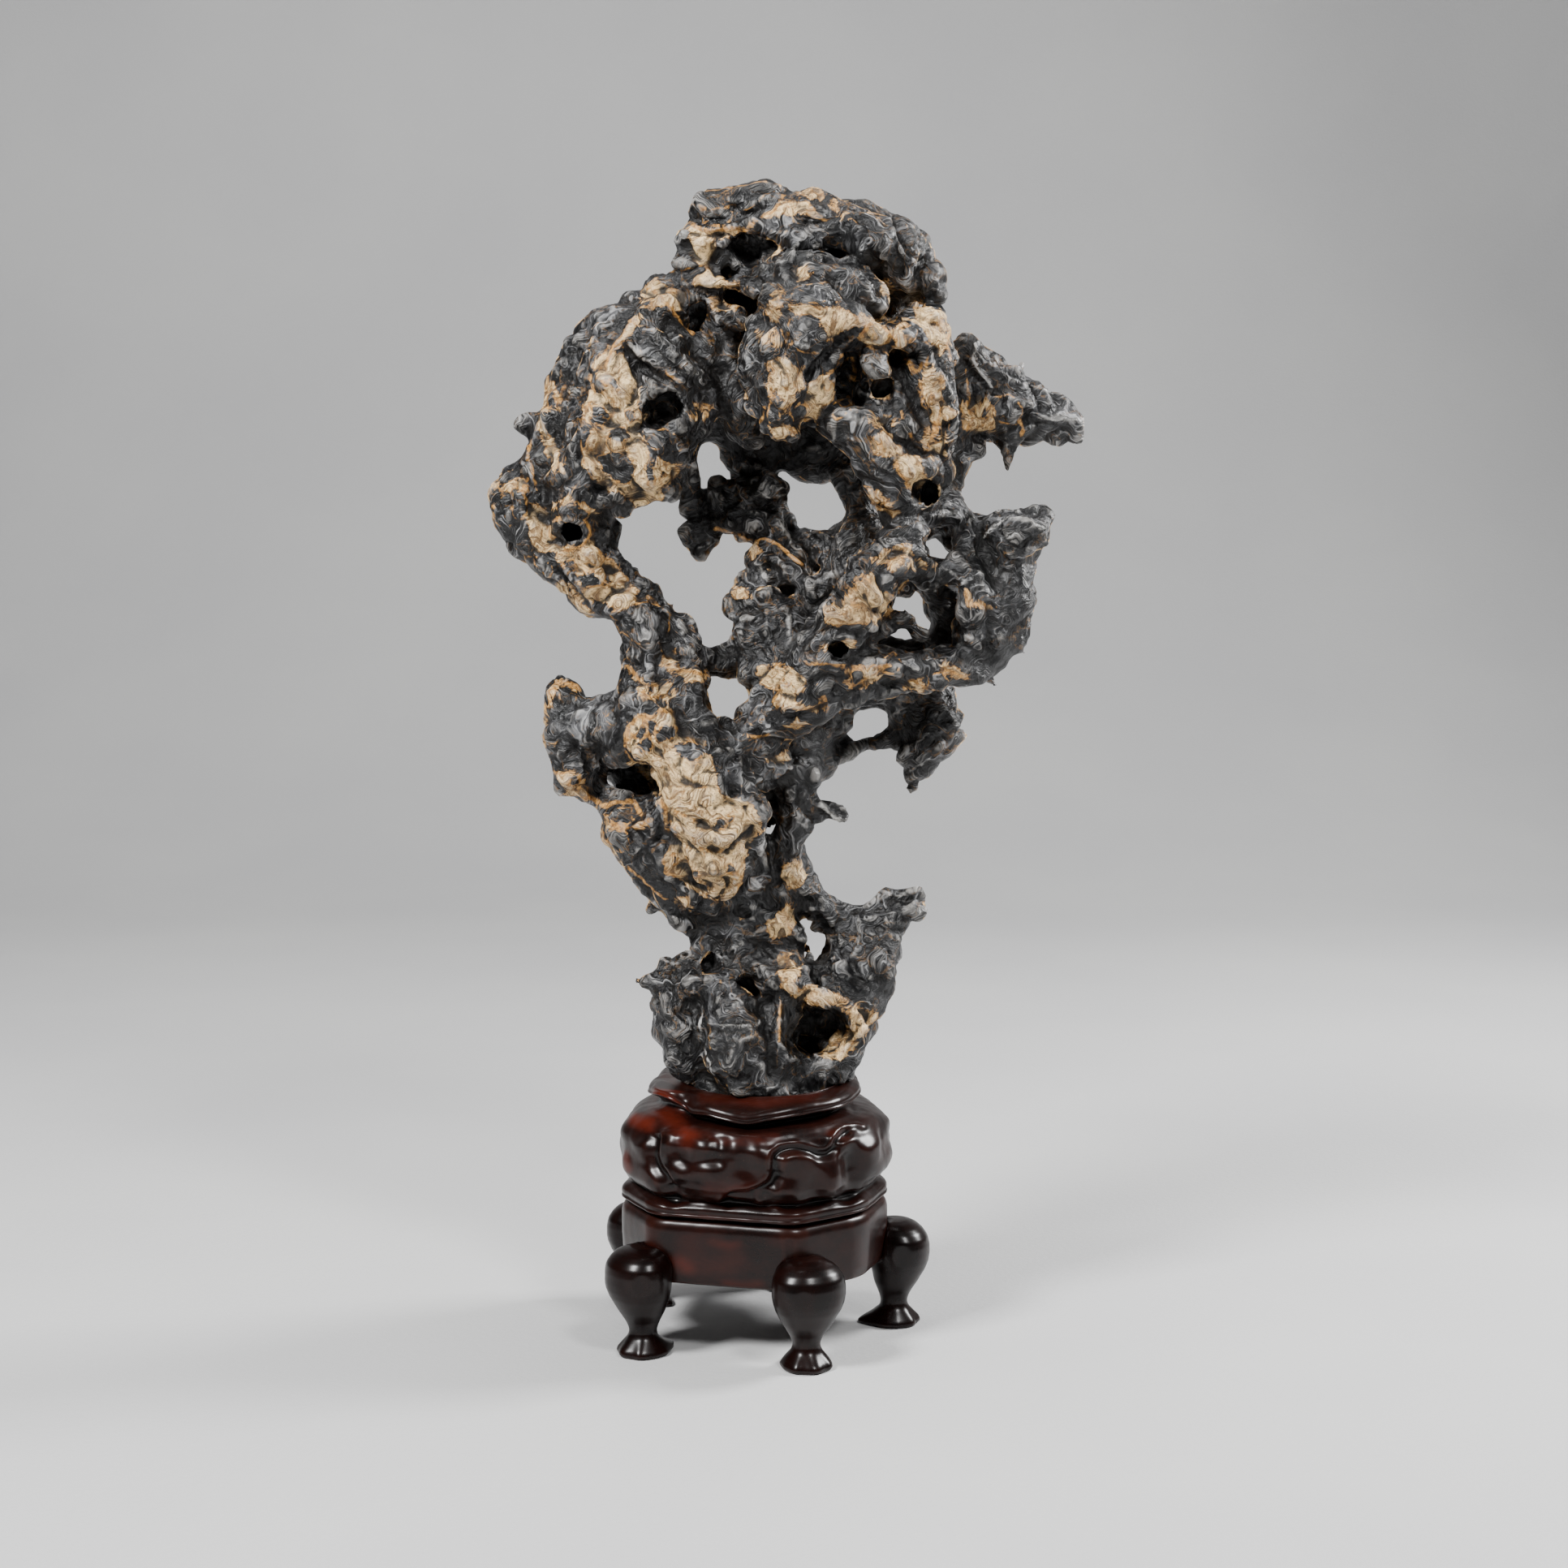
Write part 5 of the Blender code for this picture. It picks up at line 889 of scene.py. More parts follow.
# Holes and hollows cut into it, drawn in the same way.
HOLLOWS = (
    [(-76, 558, -80, 13), (-75, 557, -30, 12), (-74, 556, -8, 8)],
    [(-131, 484, -60, 7), (-130, 483, -22, 6)],
    [(-30, 654, -70, 8), (-18, 656, -70, 9), (-24, 655, -20, 9)],
    [(24, 656, -70, 5), (42, 650, -70, 6), (56, 634, -64, 6), (70, 617, -54, 6)],
    [(-53, 619, -60, 7), (-52, 618, -6, 6)],
    [(-34, 606, -60, 9), (-32, 598, -26, 7)],
    [(88, 475, -70, 11), (98, 475, -70, 11), (96, 474, 6, 10)],
    [(94, 469, -10, 6), (92, 466, 70, 6)],
    [(56, 570, -80, 8), (66, 570, -80, 7), (60, 571, -34, 7)],
    [(71, 598, -70, 4), (72, 578, -64, 6), (84, 556, -60, 5), (88, 544, -56, 3)],
    [(86, 506, -70, 8), (88, 506, -14, 7)],
    [(16, 498, -20, 13), (18, 498, 80, 14)],
    [(-44, 521, -20, 6), (-45, 520, 80, 6)],
    [(-10, 459, -60, 6), (-10, 459, -2, 5)],
    [(3, 444, -60, 7), (2, 445, -6, 6)],
    [(21, 447, -60, 5), (21, 447, -12, 4)],
    [(70, 440, 0, 5), (82, 436, 2, 5), (86, 426, 4, 4)],
    [(72, 440, 0, 5), (73, 441, 70, 6)],
    [(84, 434, 2, 5), (85, 434, 70, 6)],
    [(32, 411, -70, 7), (34, 410, -32, 5)],
    [(-32, 384, -60, 10), (-30, 383, 80, 9)],
    [(-40, 380, -60, 9), (-39, 376, -4, 8)],
    [(-7, 308, -70, 4), (-7, 300, -70, 4), (-7, 304, 20, 4)],
    [(14, 229, -60, 10), (26, 229, -60, 9), (18, 228, 2, 9)],
    [(12, 224, 0, 5), (8, 222, 70, 5)],
    [(10, 172, -80, 14), (14, 172, -30, 13), (16, 172, -8, 10)],
    [(32, 180, -80, 9), (26, 178, -30, 9)],
    [(-46, 216, -60, 6), (-45, 216, -14, 5)],
    [(-24, 205, -80, 6), (-22, 204, -26, 5)],
    [(-17, 198, -80, 4), (-17, 198, -26, 4)],
    [(-108, 332, -60, 8), (-98, 330, -60, 9), (-100, 330, 10, 8)],
)

ROCK_VOXEL = 1.9
HOLLOW_VOXEL = 2.4
ROCK_TRIANGLES = 196000


def seen_at(across, up, back):
    """The point, back millimetres behind the plane of the elevation, that the eye sees at (across, up)."""
    rise = up - ELEVATION_MIDDLE
    run = Vector((across, -EYE.y * math.cos(EYE_PITCH) + rise * math.sin(EYE_PITCH),
                  rise * math.cos(EYE_PITCH) + EYE.y * math.sin(EYE_PITCH)))
    return EYE + run * ((back - EYE.y) / run.y)


def add_chain(mesh, knots, deep=1.0):
    """Adds to a bmesh one hull over each pair of neighbouring knots."""
    lumps = []
    for across, up, back, radius in knots:
        ball = bmesh.new()
        bmesh.ops.create_icosphere(ball, subdivisions=2, radius=radius)
        centre = seen_at(across, up, back)
        lumps.append([centre + Vector((v.co.x, v.co.y * deep, v.co.z)) for v in ball.verts])
        ball.free()
    for first, second in zip(lumps, lumps[1:]):
        verts = [mesh.verts.new(p) for p in first + second]
        hull = bmesh.ops.convex_hull(mesh, input=verts)
        inside = set(hull["geom_interior"]) | set(hull["geom_unused"])
        bmesh.ops.delete(mesh, geom=[g for g in inside if isinstance(g, bmesh.types.BMVert)], context="VERTS")


def object_of(mesh, name):
    """An object that takes over a bmesh."""
    data = bpy.data.meshes.new(name)
    mesh.to_mesh(data)
    mesh.free()
    made = bpy.data.objects.new(name, data)
    bpy.context.scene.collection.objects.link(made)
    return made


def applied(obj):
    """Replaces an object's mesh by what its modifiers make of it."""
    bpy.context.view_layer.update()
    data = bpy.data.meshes.new_from_object(obj.evaluated_get(bpy.context.evaluated_depsgraph_get()))
    obj.modifiers.clear()
    obj.data = data
    return obj


def remeshed(obj, voxel):
    """Overlapping closed shapes made one skin."""
    step = obj.modifiers.new("skin", "REMESH")
    step.mode = "VOXEL"
    step.voxel_size = voxel
    return applied(obj)


def largest_kept(obj):
    """Deletes every loose island but the largest."""
    mesh = bmesh.new()
    mesh.from_mesh(obj.data)
    mesh.verts.ensure_lookup_table()
    mark = [-1] * len(mesh.verts)
    sizes = []
    for vert in mesh.verts:
        if mark[vert.index] >= 0:
            continue
        stack, label, size = [vert], len(sizes), 0
        mark[vert.index] = label
        while stack:
            size += 1
            for edge in stack.pop().link_edges:
                for other in edge.verts:
                    if mark[other.index] < 0:
                        mark[other.index] = label
                        stack.append(other)
        sizes.append(size)
    best = sizes.index(max(sizes))
    bmesh.ops.delete(mesh, geom=[v for v in mesh.verts if mark[v.index] != best], context="VERTS")
    mesh.to_mesh(obj.data)
    mesh.free()


skin = bmesh.new()
for deep, knots in LIMBS:
    add_chain(skin, knots, deep)
rock = remeshed(object_of(skin, "scholars_rock"), ROCK_VOXEL)
gaps = bmesh.new()
for knots in HOLLOWS:
    add_chain(gaps, knots)
gap_shape = remeshed(object_of(gaps, "hollows"), HOLLOW_VOXEL)
step = rock.modifiers.new("hollows", "BOOLEAN")
step.operation = "DIFFERENCE"
step.object = gap_shape
applied(rock)
bpy.data.objects.remove(gap_shape)
remeshed(rock, ROCK_VOXEL)
step = rock.modifiers.new("soften", "SMOOTH")
step.factor = 0.5
step.iterations = 5
applied(rock)
largest_kept(rock)


def noise_at(spots, size, seed, kind="plain"):
    """Noise at points, lumps about size across: plain from -1 to 1, or the widths of cells' creases."""
    found = np.empty(len(spots))
    shift = Vector((1.7 * seed, 0.9 * seed, -1.3 * seed))
    for i, spot in enumerate(spots):
        p = Vector(spot) / size + shift
        if kind == "plain":
            found[i] = noise.noise(p)
        else:
            near = noise.voronoi(p)[0]
            found[i] = near[1] - near[0] if kind == "crease" else near[0]
    return found


# Broad swellings, then rounded lumps with creases between them, as the water left them.
spots = points_of(rock)
swell = np.array([noise.noise(Vector(p) / 38.0 + Vector((4.0, 0.0, 9.0))) for p in spots])
lumps = np.abs(np.array([noise.noise(Vector(p) / 17.0 + Vector((7.1, 3.3, 1.9))) for p in spots])) - 0.22
fine = np.array([noise.noise(Vector(p) / 8.0) for p in spots])
set_points(rock, spots + normals_of(rock) * (3.4 * swell + 8.0 * lumps + 0.8 * fine - 1.2)[:, None])

# Marks drawn on the rock. RIDGES are (height, width, line), negative where they are sunk. LENSES of stone
# stand proud of the cream round them: (height, outline). FILLS of cream are (strength, outline).
# The last three tables are lines of ochre stain, lines of painted shade, and lines of pale veins: (strength,
# width, line).
RIDGES = (
    # Crown, and the ring's left side.
    (2, 4.5, ((-29, 677), (-18, 684), (-8, 688), (-3, 694))), (-1.5, 4, ((-40, 691), (-38, 684), (-30, 682))),
    (1.6, 2.5, ((-56, 670), (-48, 669), (-36, 669), (-27, 671))),
    (-2, 3, ((-58, 666), (-48, 665), (-34, 666))), (2.5, 6.5, ((-51, 686),)), (2.4, 6, ((-62, 664),)),
    (2.5, 4.5, ((-68, 648), (-56, 646))), (-2.5, 4, ((-40, 655), (-44, 648), (-42, 642))),
    (-2.5, 4, ((-16, 657), (-6, 656))), (1.6, 2.2, ((-24, 652), (-14, 648), (-8, 640), (-12, 634))),
    (1.6, 2.4, ((4, 650), (7, 658), (12, 664), (18, 668), (24, 669))),
    (1.4, 2, ((14, 650), (18, 657), (22, 661), (25, 656), (23, 648))),
    (-2, 3, ((-2, 652), (0, 660), (-6, 664))), (1.5, 2.4, ((-14, 672), (-8, 668), (0, 666), (8, 668))),
    (1.6, 3, ((62, 681), (66, 672), (69, 662), (74, 652), (76, 640), (75, 624))),
    (-1.8, 3, ((67, 676), (71, 664), (76, 654), (84, 649), (92, 650))),
    (-4, 5, ((27, 652), (34, 652), (42, 650), (50, 646), (56, 638), (58, 628))),
    (-1.5, 3, ((80, 645), (84, 634), (82, 624))), (1.6, 4, ((86, 641), (92, 636), (96, 628))),
    (-1.6, 2.4, ((26, 642), (30, 634), (38, 626))),
    (-2.6, 4, ((-56, 632), (-48, 630), (-40, 630), (-30, 631))),
    (-2.6, 3.5, ((-40, 622), (-32, 622), (-25, 624))), (2, 3, ((-48, 628), (-44, 620), (-40, 612))),
    (2.2, 3.2, ((-80, 632), (-74, 622), (-66, 610), (-56, 598), (-46, 588))),
    (-2.2, 3, ((-84, 622), (-76, 610), (-68, 600))),
    (1.8, 2.6, ((-84, 612), (-74, 598), (-62, 586), (-50, 574))),
    (-1.6, 2.4, ((-88, 606), (-80, 596), (-70, 586), (-58, 576))),
    (2.4, 5, ((-94, 600), (-86, 592), (-76, 584), (-66, 577))),
    (-2.6, 4.5, ((-97, 594), (-92, 586), (-84, 580), (-74, 574))),
    (1.8, 3, ((-72, 590), (-62, 584), (-52, 580))),
    (2, 2.4, ((-92, 585), (-86, 578), (-78, 575), (-70, 572), (-64, 568))), (3, 8, ((-113, 612),)),
    (-2, 2.5, ((-120, 604), (-112, 603), (-105, 608), (-103, 615))), (2.4, 6, ((-126, 600), (-120, 594))),
    (2, 3, ((-92, 612), (-98, 602), (-106, 592), (-108, 584))),
    (-2, 3.5, ((-138, 584), (-134, 576), (-136, 566))), (2.2, 5, ((-130, 570), (-132, 558), (-130, 548))),
    (-2, 3, ((-122, 588), (-126, 578), (-122, 568), (-126, 556))),
    (2, 3, ((-150, 570), (-148, 556), (-146, 544), (-140, 530), (-134, 516))),
    (-2.4, 3.5, ((-143, 552), (-139, 540), (-133, 528), (-128, 518))), (2.8, 7, ((-162, 550),)),
    (1.8, 3, ((-157, 534), (-156, 520), (-152, 504))), (1.8, 4, ((-86, 543), (-70, 538), (-62, 534))),
    (-1.6, 2.6, ((-90, 548), (-84, 548), (-76, 545), (-66, 546))),
    (1.8, 2.6, ((-88, 570), (-86, 558), (-82, 549), (-74, 546), (-66, 549), (-61, 557), (-62, 566))),
    # Boss, shoulder, the ring's lower side, stem and arm.
    (-4, 3.4, ((15, 577), (18, 584), (26, 592), (34, 599), (44, 606))),
    (1.6, 2.6, ((13, 570), (11, 579), (14, 586), (22, 595))),
    (-1.6, 2.6, ((-3, 610), (2, 602), (8, 596), (14, 592))), (1.6, 4, ((-4, 600), (0, 590), (6, 585))),
    (2.6, 7, ((53, 588), (56, 582))), (-2.8, 4, ((44, 592), (43, 582), (47, 573), (55, 567), (64, 566))),
    (-3.5, 5, ((67, 598), (70, 586), (76, 574), (82, 560), (86, 551))), (-2.6, 6, ((56, 565), (68, 560))),
    (2, 3.4, ((89, 600), (92, 588), (98, 576), (104, 562), (104, 546), (102, 530))),
    (-1.8, 2.6, ((93, 594), (99, 580), (107, 566), (109, 552))),
    (-2.4, 2.4, ((97, 562), (99, 546), (98, 530))), (1.6, 2, ((104, 556), (105, 541), (104, 527))),
    (-2.8, 3.2, ((69, 539), (78, 535), (87, 530))), (1.8, 5, ((57, 540), (65, 536))),
    (2, 5, ((74, 526), (80, 516))), (-2.2, 3.2, ((44, 536), (50, 526), (58, 520), (68, 515))),
    (1.5, 3, ((31, 550), (32, 535), (34, 530), (31, 522), (42, 518), (52, 510), (61, 502), (70, 496))),
    (1.4, 3, ((34, 556), (46, 550), (52, 542))), (-1.5, 2, ((34, 588), (33, 578), (37, 570), (44, 566))),
    (-1.8, 3, ((-9, 590), (-2, 585), (2, 578))), (1.6, 3, ((-9, 560), (-7, 550), (-2, 544), (6, 543))),
    (1.6, 3, ((76, 554), (80, 544), (88, 534))), (2.2, 4.5, ((54, 607), (58, 600))),
    (-2, 3, ((44, 598), (54, 596), (62, 595))),
    (-2, 3, ((-128, 545), (-127, 531), (-124, 520), (-118, 512), (-110, 506))),
    (1.6, 2.6, ((-131, 528), (-127, 514), (-119, 503))),
    (-1.6, 2.6, ((-158, 505), (-156, 490), (-158, 478), (-152, 468))),
    (-1.5, 2.2, ((-168, 500), (-166, 486), (-168, 474))), (-4.5, 7, ((-132, 482),)),
    (1.6, 2.6, ((-143, 478), (-140, 488), (-132, 492), (-124, 488), (-121, 480), (-125, 473))),
    (1.6, 2.4, ((-141, 457), (-133, 447), (-125, 437), (-118, 428))),
    (-1.6, 2, ((-137, 457), (-129, 447), (-121, 437))),
    (1.4, 2, ((-134, 458), (-126, 448), (-117, 438), (-112, 428))),
    (1.8, 3.5, ((-120, 470), (-114, 460), (-112, 451))), (2, 5, ((-152, 462), (-144, 458))),
    (-1.8, 3, ((-104, 500), (-98, 494), (-104, 486), (-106, 476), (-100, 466))),
    (2, 5, ((-112, 505), (-116, 496))), (1.8, 5, ((-104, 505), (-96, 500))),
    (-2, 2.6, ((-80, 530), (-74, 528), (-66, 530))), (-2, 2.6, ((-99, 404), (-91, 400), (-84, 396))),
    (-1.6, 2.4, ((-73, 431), (-77, 421), (-74, 411), (-66, 404))),
    (1.6, 2.4, ((-65, 427), (-60, 419), (-54, 412), (-48, 409))), (2.2, 4.5, ((-58, 409), (-54, 402))),
    (2, 6, ((-90, 430), (-84, 420))), (-1.6, 2.4, ((-64, 404), (-62, 394), (-64, 384))),
    (2.6, 7, ((-10, 509), (-4, 509))), (-2, 3, ((-18, 501), (-6, 499), (2, 503))),
    (-1.6, 2.6, ((-58, 472), (-48, 470), (-38, 476))),
    (1.8, 3, ((-34, 494), (-26, 498), (-20, 494), (-12, 492))), (3, 7, ((-19, 487),)),
    (-2.2, 3, ((-28, 488), (-26, 480), (-18, 478), (-11, 482), (-11, 490))),
    (-2.6, 4, ((-40, 480), (-30, 480))),
    (1.5, 2.2, ((-42, 485), (-35, 483), (-22, 477), (-12, 478), (-4, 474), (3, 468), (10, 462))),
    (2.4, 4, ((-4, 492), (-1, 482), (5, 474))), (-3, 5, ((-10, 463), (-5, 458))),
    (1.8, 2.4, ((-18, 463), (-12, 468), (-4, 466), (0, 461))), (-3, 4, ((-4, 446), (4, 444))),
    (2.4, 4, ((14, 458), (16, 450))), (2.6, 6, ((22, 472), (24, 465))),
    (-2, 2.6, ((12, 478), (14, 470), (18, 462), (22, 456))), (1.8, 3, ((33, 482), (36, 474), (35, 466))),
    (-1.8, 3, ((30, 480), (30, 470), (28, 460))), (2, 4, ((-36, 440), (-28, 441), (-20, 438))),
    (-1.8, 2.6, ((-36, 434), (-26, 434), (-14, 432))), (1.6, 3, ((-34, 430), (-24, 428), (-16, 430))),
    (-1.8, 3, ((-34, 424), (-30, 416), (-34, 408))), (2.4, 6, ((0, 434), (4, 424), (2, 412))),
    (-1.8, 2.6, ((-8, 432), (-8, 422), (-2, 412))), (2, 7, ((-14, 420),)),
    (-1.6, 2.6, ((-22, 426), (-24, 414), (-18, 404))), (-2, 2.6, ((24, 430), (18, 420), (10, 408), (4, 402))),
    (1.6, 2.6, ((27, 434), (22, 422), (14, 410))), (1.8, 3, ((31, 444), (36, 452), (40, 460))),
    (2.4, 5, ((46, 458), (52, 448), (58, 440))), (2, 6, ((30, 432), (38, 430))),
    (-2.2, 2.6, ((26, 423), (36, 421), (46, 420))), (-3.5, 4.5, ((32, 406), (38, 406))),
    (-2, 2.4, ((10, 401), (22, 399), (36, 399))), (2.2, 5, ((60, 450), (68, 458), (76, 464))),
    (-1.8, 2.6, ((56, 434), (64, 430), (68, 424))), (1.6, 3, ((68, 438), (72, 448), (80, 456))),
    # Wing, fan, hook plate, belly, foot, web and spur.
    (1.6, 2.2, ((118, 599), (117, 588), (120, 582), (124, 577), (128, 571))),
    (1.8, 3, ((134, 586), (142, 588), (145, 580))),
    (1.3, 2.6, ((130, 584), (140, 576), (154, 571), (165, 567))),
    (-1.6, 2.8, ((113, 584), (125, 571), (140, 561), (150, 557))),
    (1.4, 2.4, ((112, 590), (124, 578), (138, 566), (152, 560))),
    (1.8, 3, ((156, 553), (168, 554), (179, 551))), (-1.6, 2.2, ((150, 551), (162, 549), (174, 546))),
    (-1.6, 3, ((150, 557), (148, 548), (146, 540))), (1.8, 3, ((136, 546), (137, 532), (138, 522))),
    (-3, 5, ((114, 541), (122, 540), (132, 536))), (1.6, 3, ((130, 566), (137, 566), (142, 558), (140, 550))),
    (1.4, 2.4, ((112, 578), (114, 568), (112, 556))), (1.8, 3.5, ((100, 500), (108, 496), (116, 490))),
    (1.6, 3, ((90, 492), (100, 494), (110, 490))),
    (1.6, 2.4, ((124, 469), (122, 477), (128, 484), (138, 490), (149, 490), (158, 484), (162, 474),
        (164, 466))),
    (-3, 4, ((121, 478), (121, 470), (128, 462))),
    (1.6, 2.4, ((130, 487), (142, 492), (148, 497), (160, 498), (166, 491))),
    (-2.4, 3, ((116, 422), (122, 416), (128, 409))), (1.6, 3, ((104, 418), (112, 418), (120, 412))),
    (1.6, 3, ((98, 460), (106, 455), (112, 450))), (1.6, 3, ((106, 466), (114, 460), (122, 456))),
    (1.5, 3, ((108, 412), (103, 404), (96, 402))), (2, 3.5, ((54, 423), (62, 422), (72, 420), (82, 418))),
    (-2.4, 3.5, ((60, 413), (72, 414), (84, 413))),
    (1.5, 2.4, ((-118, 360), (-124, 353), (-127, 344), (-124, 336))), (2.6, 7, ((-120, 350), (-116, 340))),
    (-2.6, 3, ((-139, 336), (-130, 335), (-124, 336))),
    (-1.8, 3, ((-70, 382), (-66, 372), (-62, 362), (-54, 354))), (2.4, 7, ((-38, 346), (-30, 348))),
    (-3, 4.5, ((-34, 330), (-30, 322))), (1.6, 2.2, ((-40, 332), (-38, 324), (-32, 318), (-24, 317))),
    (1.8, 3, ((-28, 342), (-27, 332), (-22, 324), (-12, 319))), (2, 5, ((-18, 334), (-14, 326))),
    (-2.6, 4, ((-14, 354), (-4, 353), (2, 351))), (1.8, 3.5, ((-96, 352), (-90, 343), (-86, 334))),
    (2.4, 6, ((-66, 322), (-50, 317), (-36, 318))),
    (-2.6, 4, ((-70, 311), (-60, 307), (-50, 302), (-43, 300))),
    (-2.2, 3.5, ((-62, 329), (-52, 326), (-40, 325))),
    (-2, 3, ((-68, 292), (-52, 287), (-36, 286), (-26, 294), (-18, 300))),
    (2.4, 5, ((-64, 300), (-50, 295), (-36, 292), (-28, 300))),
    (2.6, 3.5, ((-60, 263), (-48, 259), (-38, 257), (-32, 262), (-30, 270))),
    (-2.4, 4, ((-52, 266), (-42, 263))), (-1.8, 2.6, ((-78, 324), (-74, 314), (-70, 304))),
    (1.8, 2.6, ((-82, 326), (-78, 316), (-74, 306))), (-1.8, 3, ((-24, 312), (-20, 300), (-22, 288))),
    (1.6, 3, ((-14, 312), (-12, 300), (-14, 286), (-10, 276))),
    (-1.6, 2.4, ((-18, 296), (-18, 284), (-14, 274))), (2.2, 4.5, ((-46, 340), (-56, 336))),
    (1.6, 2.4, ((-110, 309), (-106, 303), (-97, 300), (-88, 302), (-82, 305))),
    (2, 4, ((-94, 284), (-86, 290), (-80, 296))), (-1.5, 2.2, ((-96, 272), (-86, 264), (-76, 254))),
    (1.6, 3, ((-72, 270), (-62, 264), (-54, 256))), (-2.4, 3.5, ((-78, 308), (-76, 298), (-80, 290))),
    (1.8, 3, ((-84, 316), (-82, 306), (-80, 298))), (1.8, 3.5, ((6, 309), (14, 304), (18, 298))),
    (-2, 3, ((-2, 290), (2, 284), (8, 282))), (2, 4, ((2, 275), (10, 270))),
    (-1.8, 3, ((2, 262), (8, 256), (16, 256))), (-2.6, 4, ((10, 250), (16, 256), (20, 252))),
    (2, 4, ((22, 256), (26, 248), (30, 242))), (2, 4, ((-22, 267), (-10, 268))),
    (-2.8, 4, ((-22, 256), (-10, 256))), (2.2, 5, ((-20, 250), (-12, 248))),
    (2, 4, ((-24, 242), (-14, 246), (-4, 246))), (1.5, 2.2, ((-37, 224), (-29, 227), (-16, 237), (-6, 240))),
    (-2.6, 4, ((-22, 231), (-12, 228), (-6, 222))), (1.8, 3, ((-70, 247), (-62, 240), (-58, 230))),
    (2.2, 5, ((-20, 217), (-12, 211), (-5, 202))), (-1.6, 2.4, ((-26, 218), (-18, 208), (-10, 200))),
    (-3, 3.5, ((-30, 210), (-24, 202), (-19, 198))), (1.6, 2.6, ((-93, 208), (-84, 200), (-75, 196))),
    (2.2, 7, ((-59, 207),)), (-1.8, 2, ((-67, 210), (-63, 216), (-55, 216), (-51, 208), (-54, 200))),
    (1.8, 2.4, ((-71, 218), (-65, 215), (-62, 219), (-55, 220))),
    (1.6, 2.4, ((-72, 188), (-62, 178), (-54, 172), (-50, 170))),
    (1.5, 2.4, ((-47, 181), (-36, 178), (-20, 177), (-12, 182))),
    (-1.5, 2.6, ((-46, 176), (-34, 174), (-20, 173))), (-1.8, 3, ((-44, 196), (-46, 188), (-42, 182))),
    (-1.8, 2.2, ((-20, 168), (-27, 160), (-29, 152), (-26, 145))),
    (1.4, 2.6, ((-16, 170), (-12, 160), (-14, 148))), (-1.4, 2.4, ((-8, 196), (-10, 180), (-8, 164))),
    (1.5, 2, ((-2, 196), (-3, 180), (-3, 168), (2, 158), (10, 156), (20, 160))),
    (2, 3, ((11, 214), (24, 213), (36, 216), (44, 222), (47, 234), (46, 245))),
    (1.6, 3, ((31, 242), (36, 230), (30, 219))), (2, 3, ((8, 236), (16, 239), (25, 237))),
    (-3, 4, ((6, 228), (16, 224), (26, 226))), (-3, 4, ((10, 244), (20, 246), (26, 240))),
    (1.8, 3, ((50, 250), (60, 258), (72, 258), (82, 262))), (-1.6, 2.4, ((54, 248), (66, 250), (78, 256))),
    (1.5, 2.4, ((50, 244), (62, 244), (74, 248), (84, 258))),
    (-2.8, 4, ((50, 238), (62, 238), (74, 238), (84, 232))),
    (1.8, 2.4, ((84, 263), (88, 252), (86, 242), (78, 234))),
    (1.5, 2.4, ((60, 231), (66, 224), (70, 214), (68, 204))), (-1.8, 3, ((40, 206), (52, 204), (62, 208))),
    (1.6, 3, ((12, 203), (22, 201), (34, 196), (43, 190), (52, 190))),
    (1.4, 2, ((56, 186), (48, 174), (38, 164), (32, 156))), (-1.4, 2, ((52, 184), (44, 174), (34, 164))),
    (1.6, 4, ((59, 380), (66, 384), (72, 386))), (-2, 3, ((62, 388), (72, 390), (80, 386))),
    (-1.8, 3, ((80, 345), (94, 354), (108, 361))), (1.8, 3, ((97, 386), (97, 377), (102, 369), (109, 360))),
    (1.8, 3, ((22, 314), (29, 309), (36, 304))), (-1.8, 2.2, ((24, 318), (32, 312), (39, 306))),
    (-2, 3, ((-8, 343), (0, 339), (6, 340))), (1.6, 3, ((0, 364), (8, 366), (16, 364))),
    (-1.8, 2.4, ((2, 370), (14, 371), (26, 376))), (1.4, 2.4, ((60, 402), (68, 408), (74, 401), (84, 396))),
)
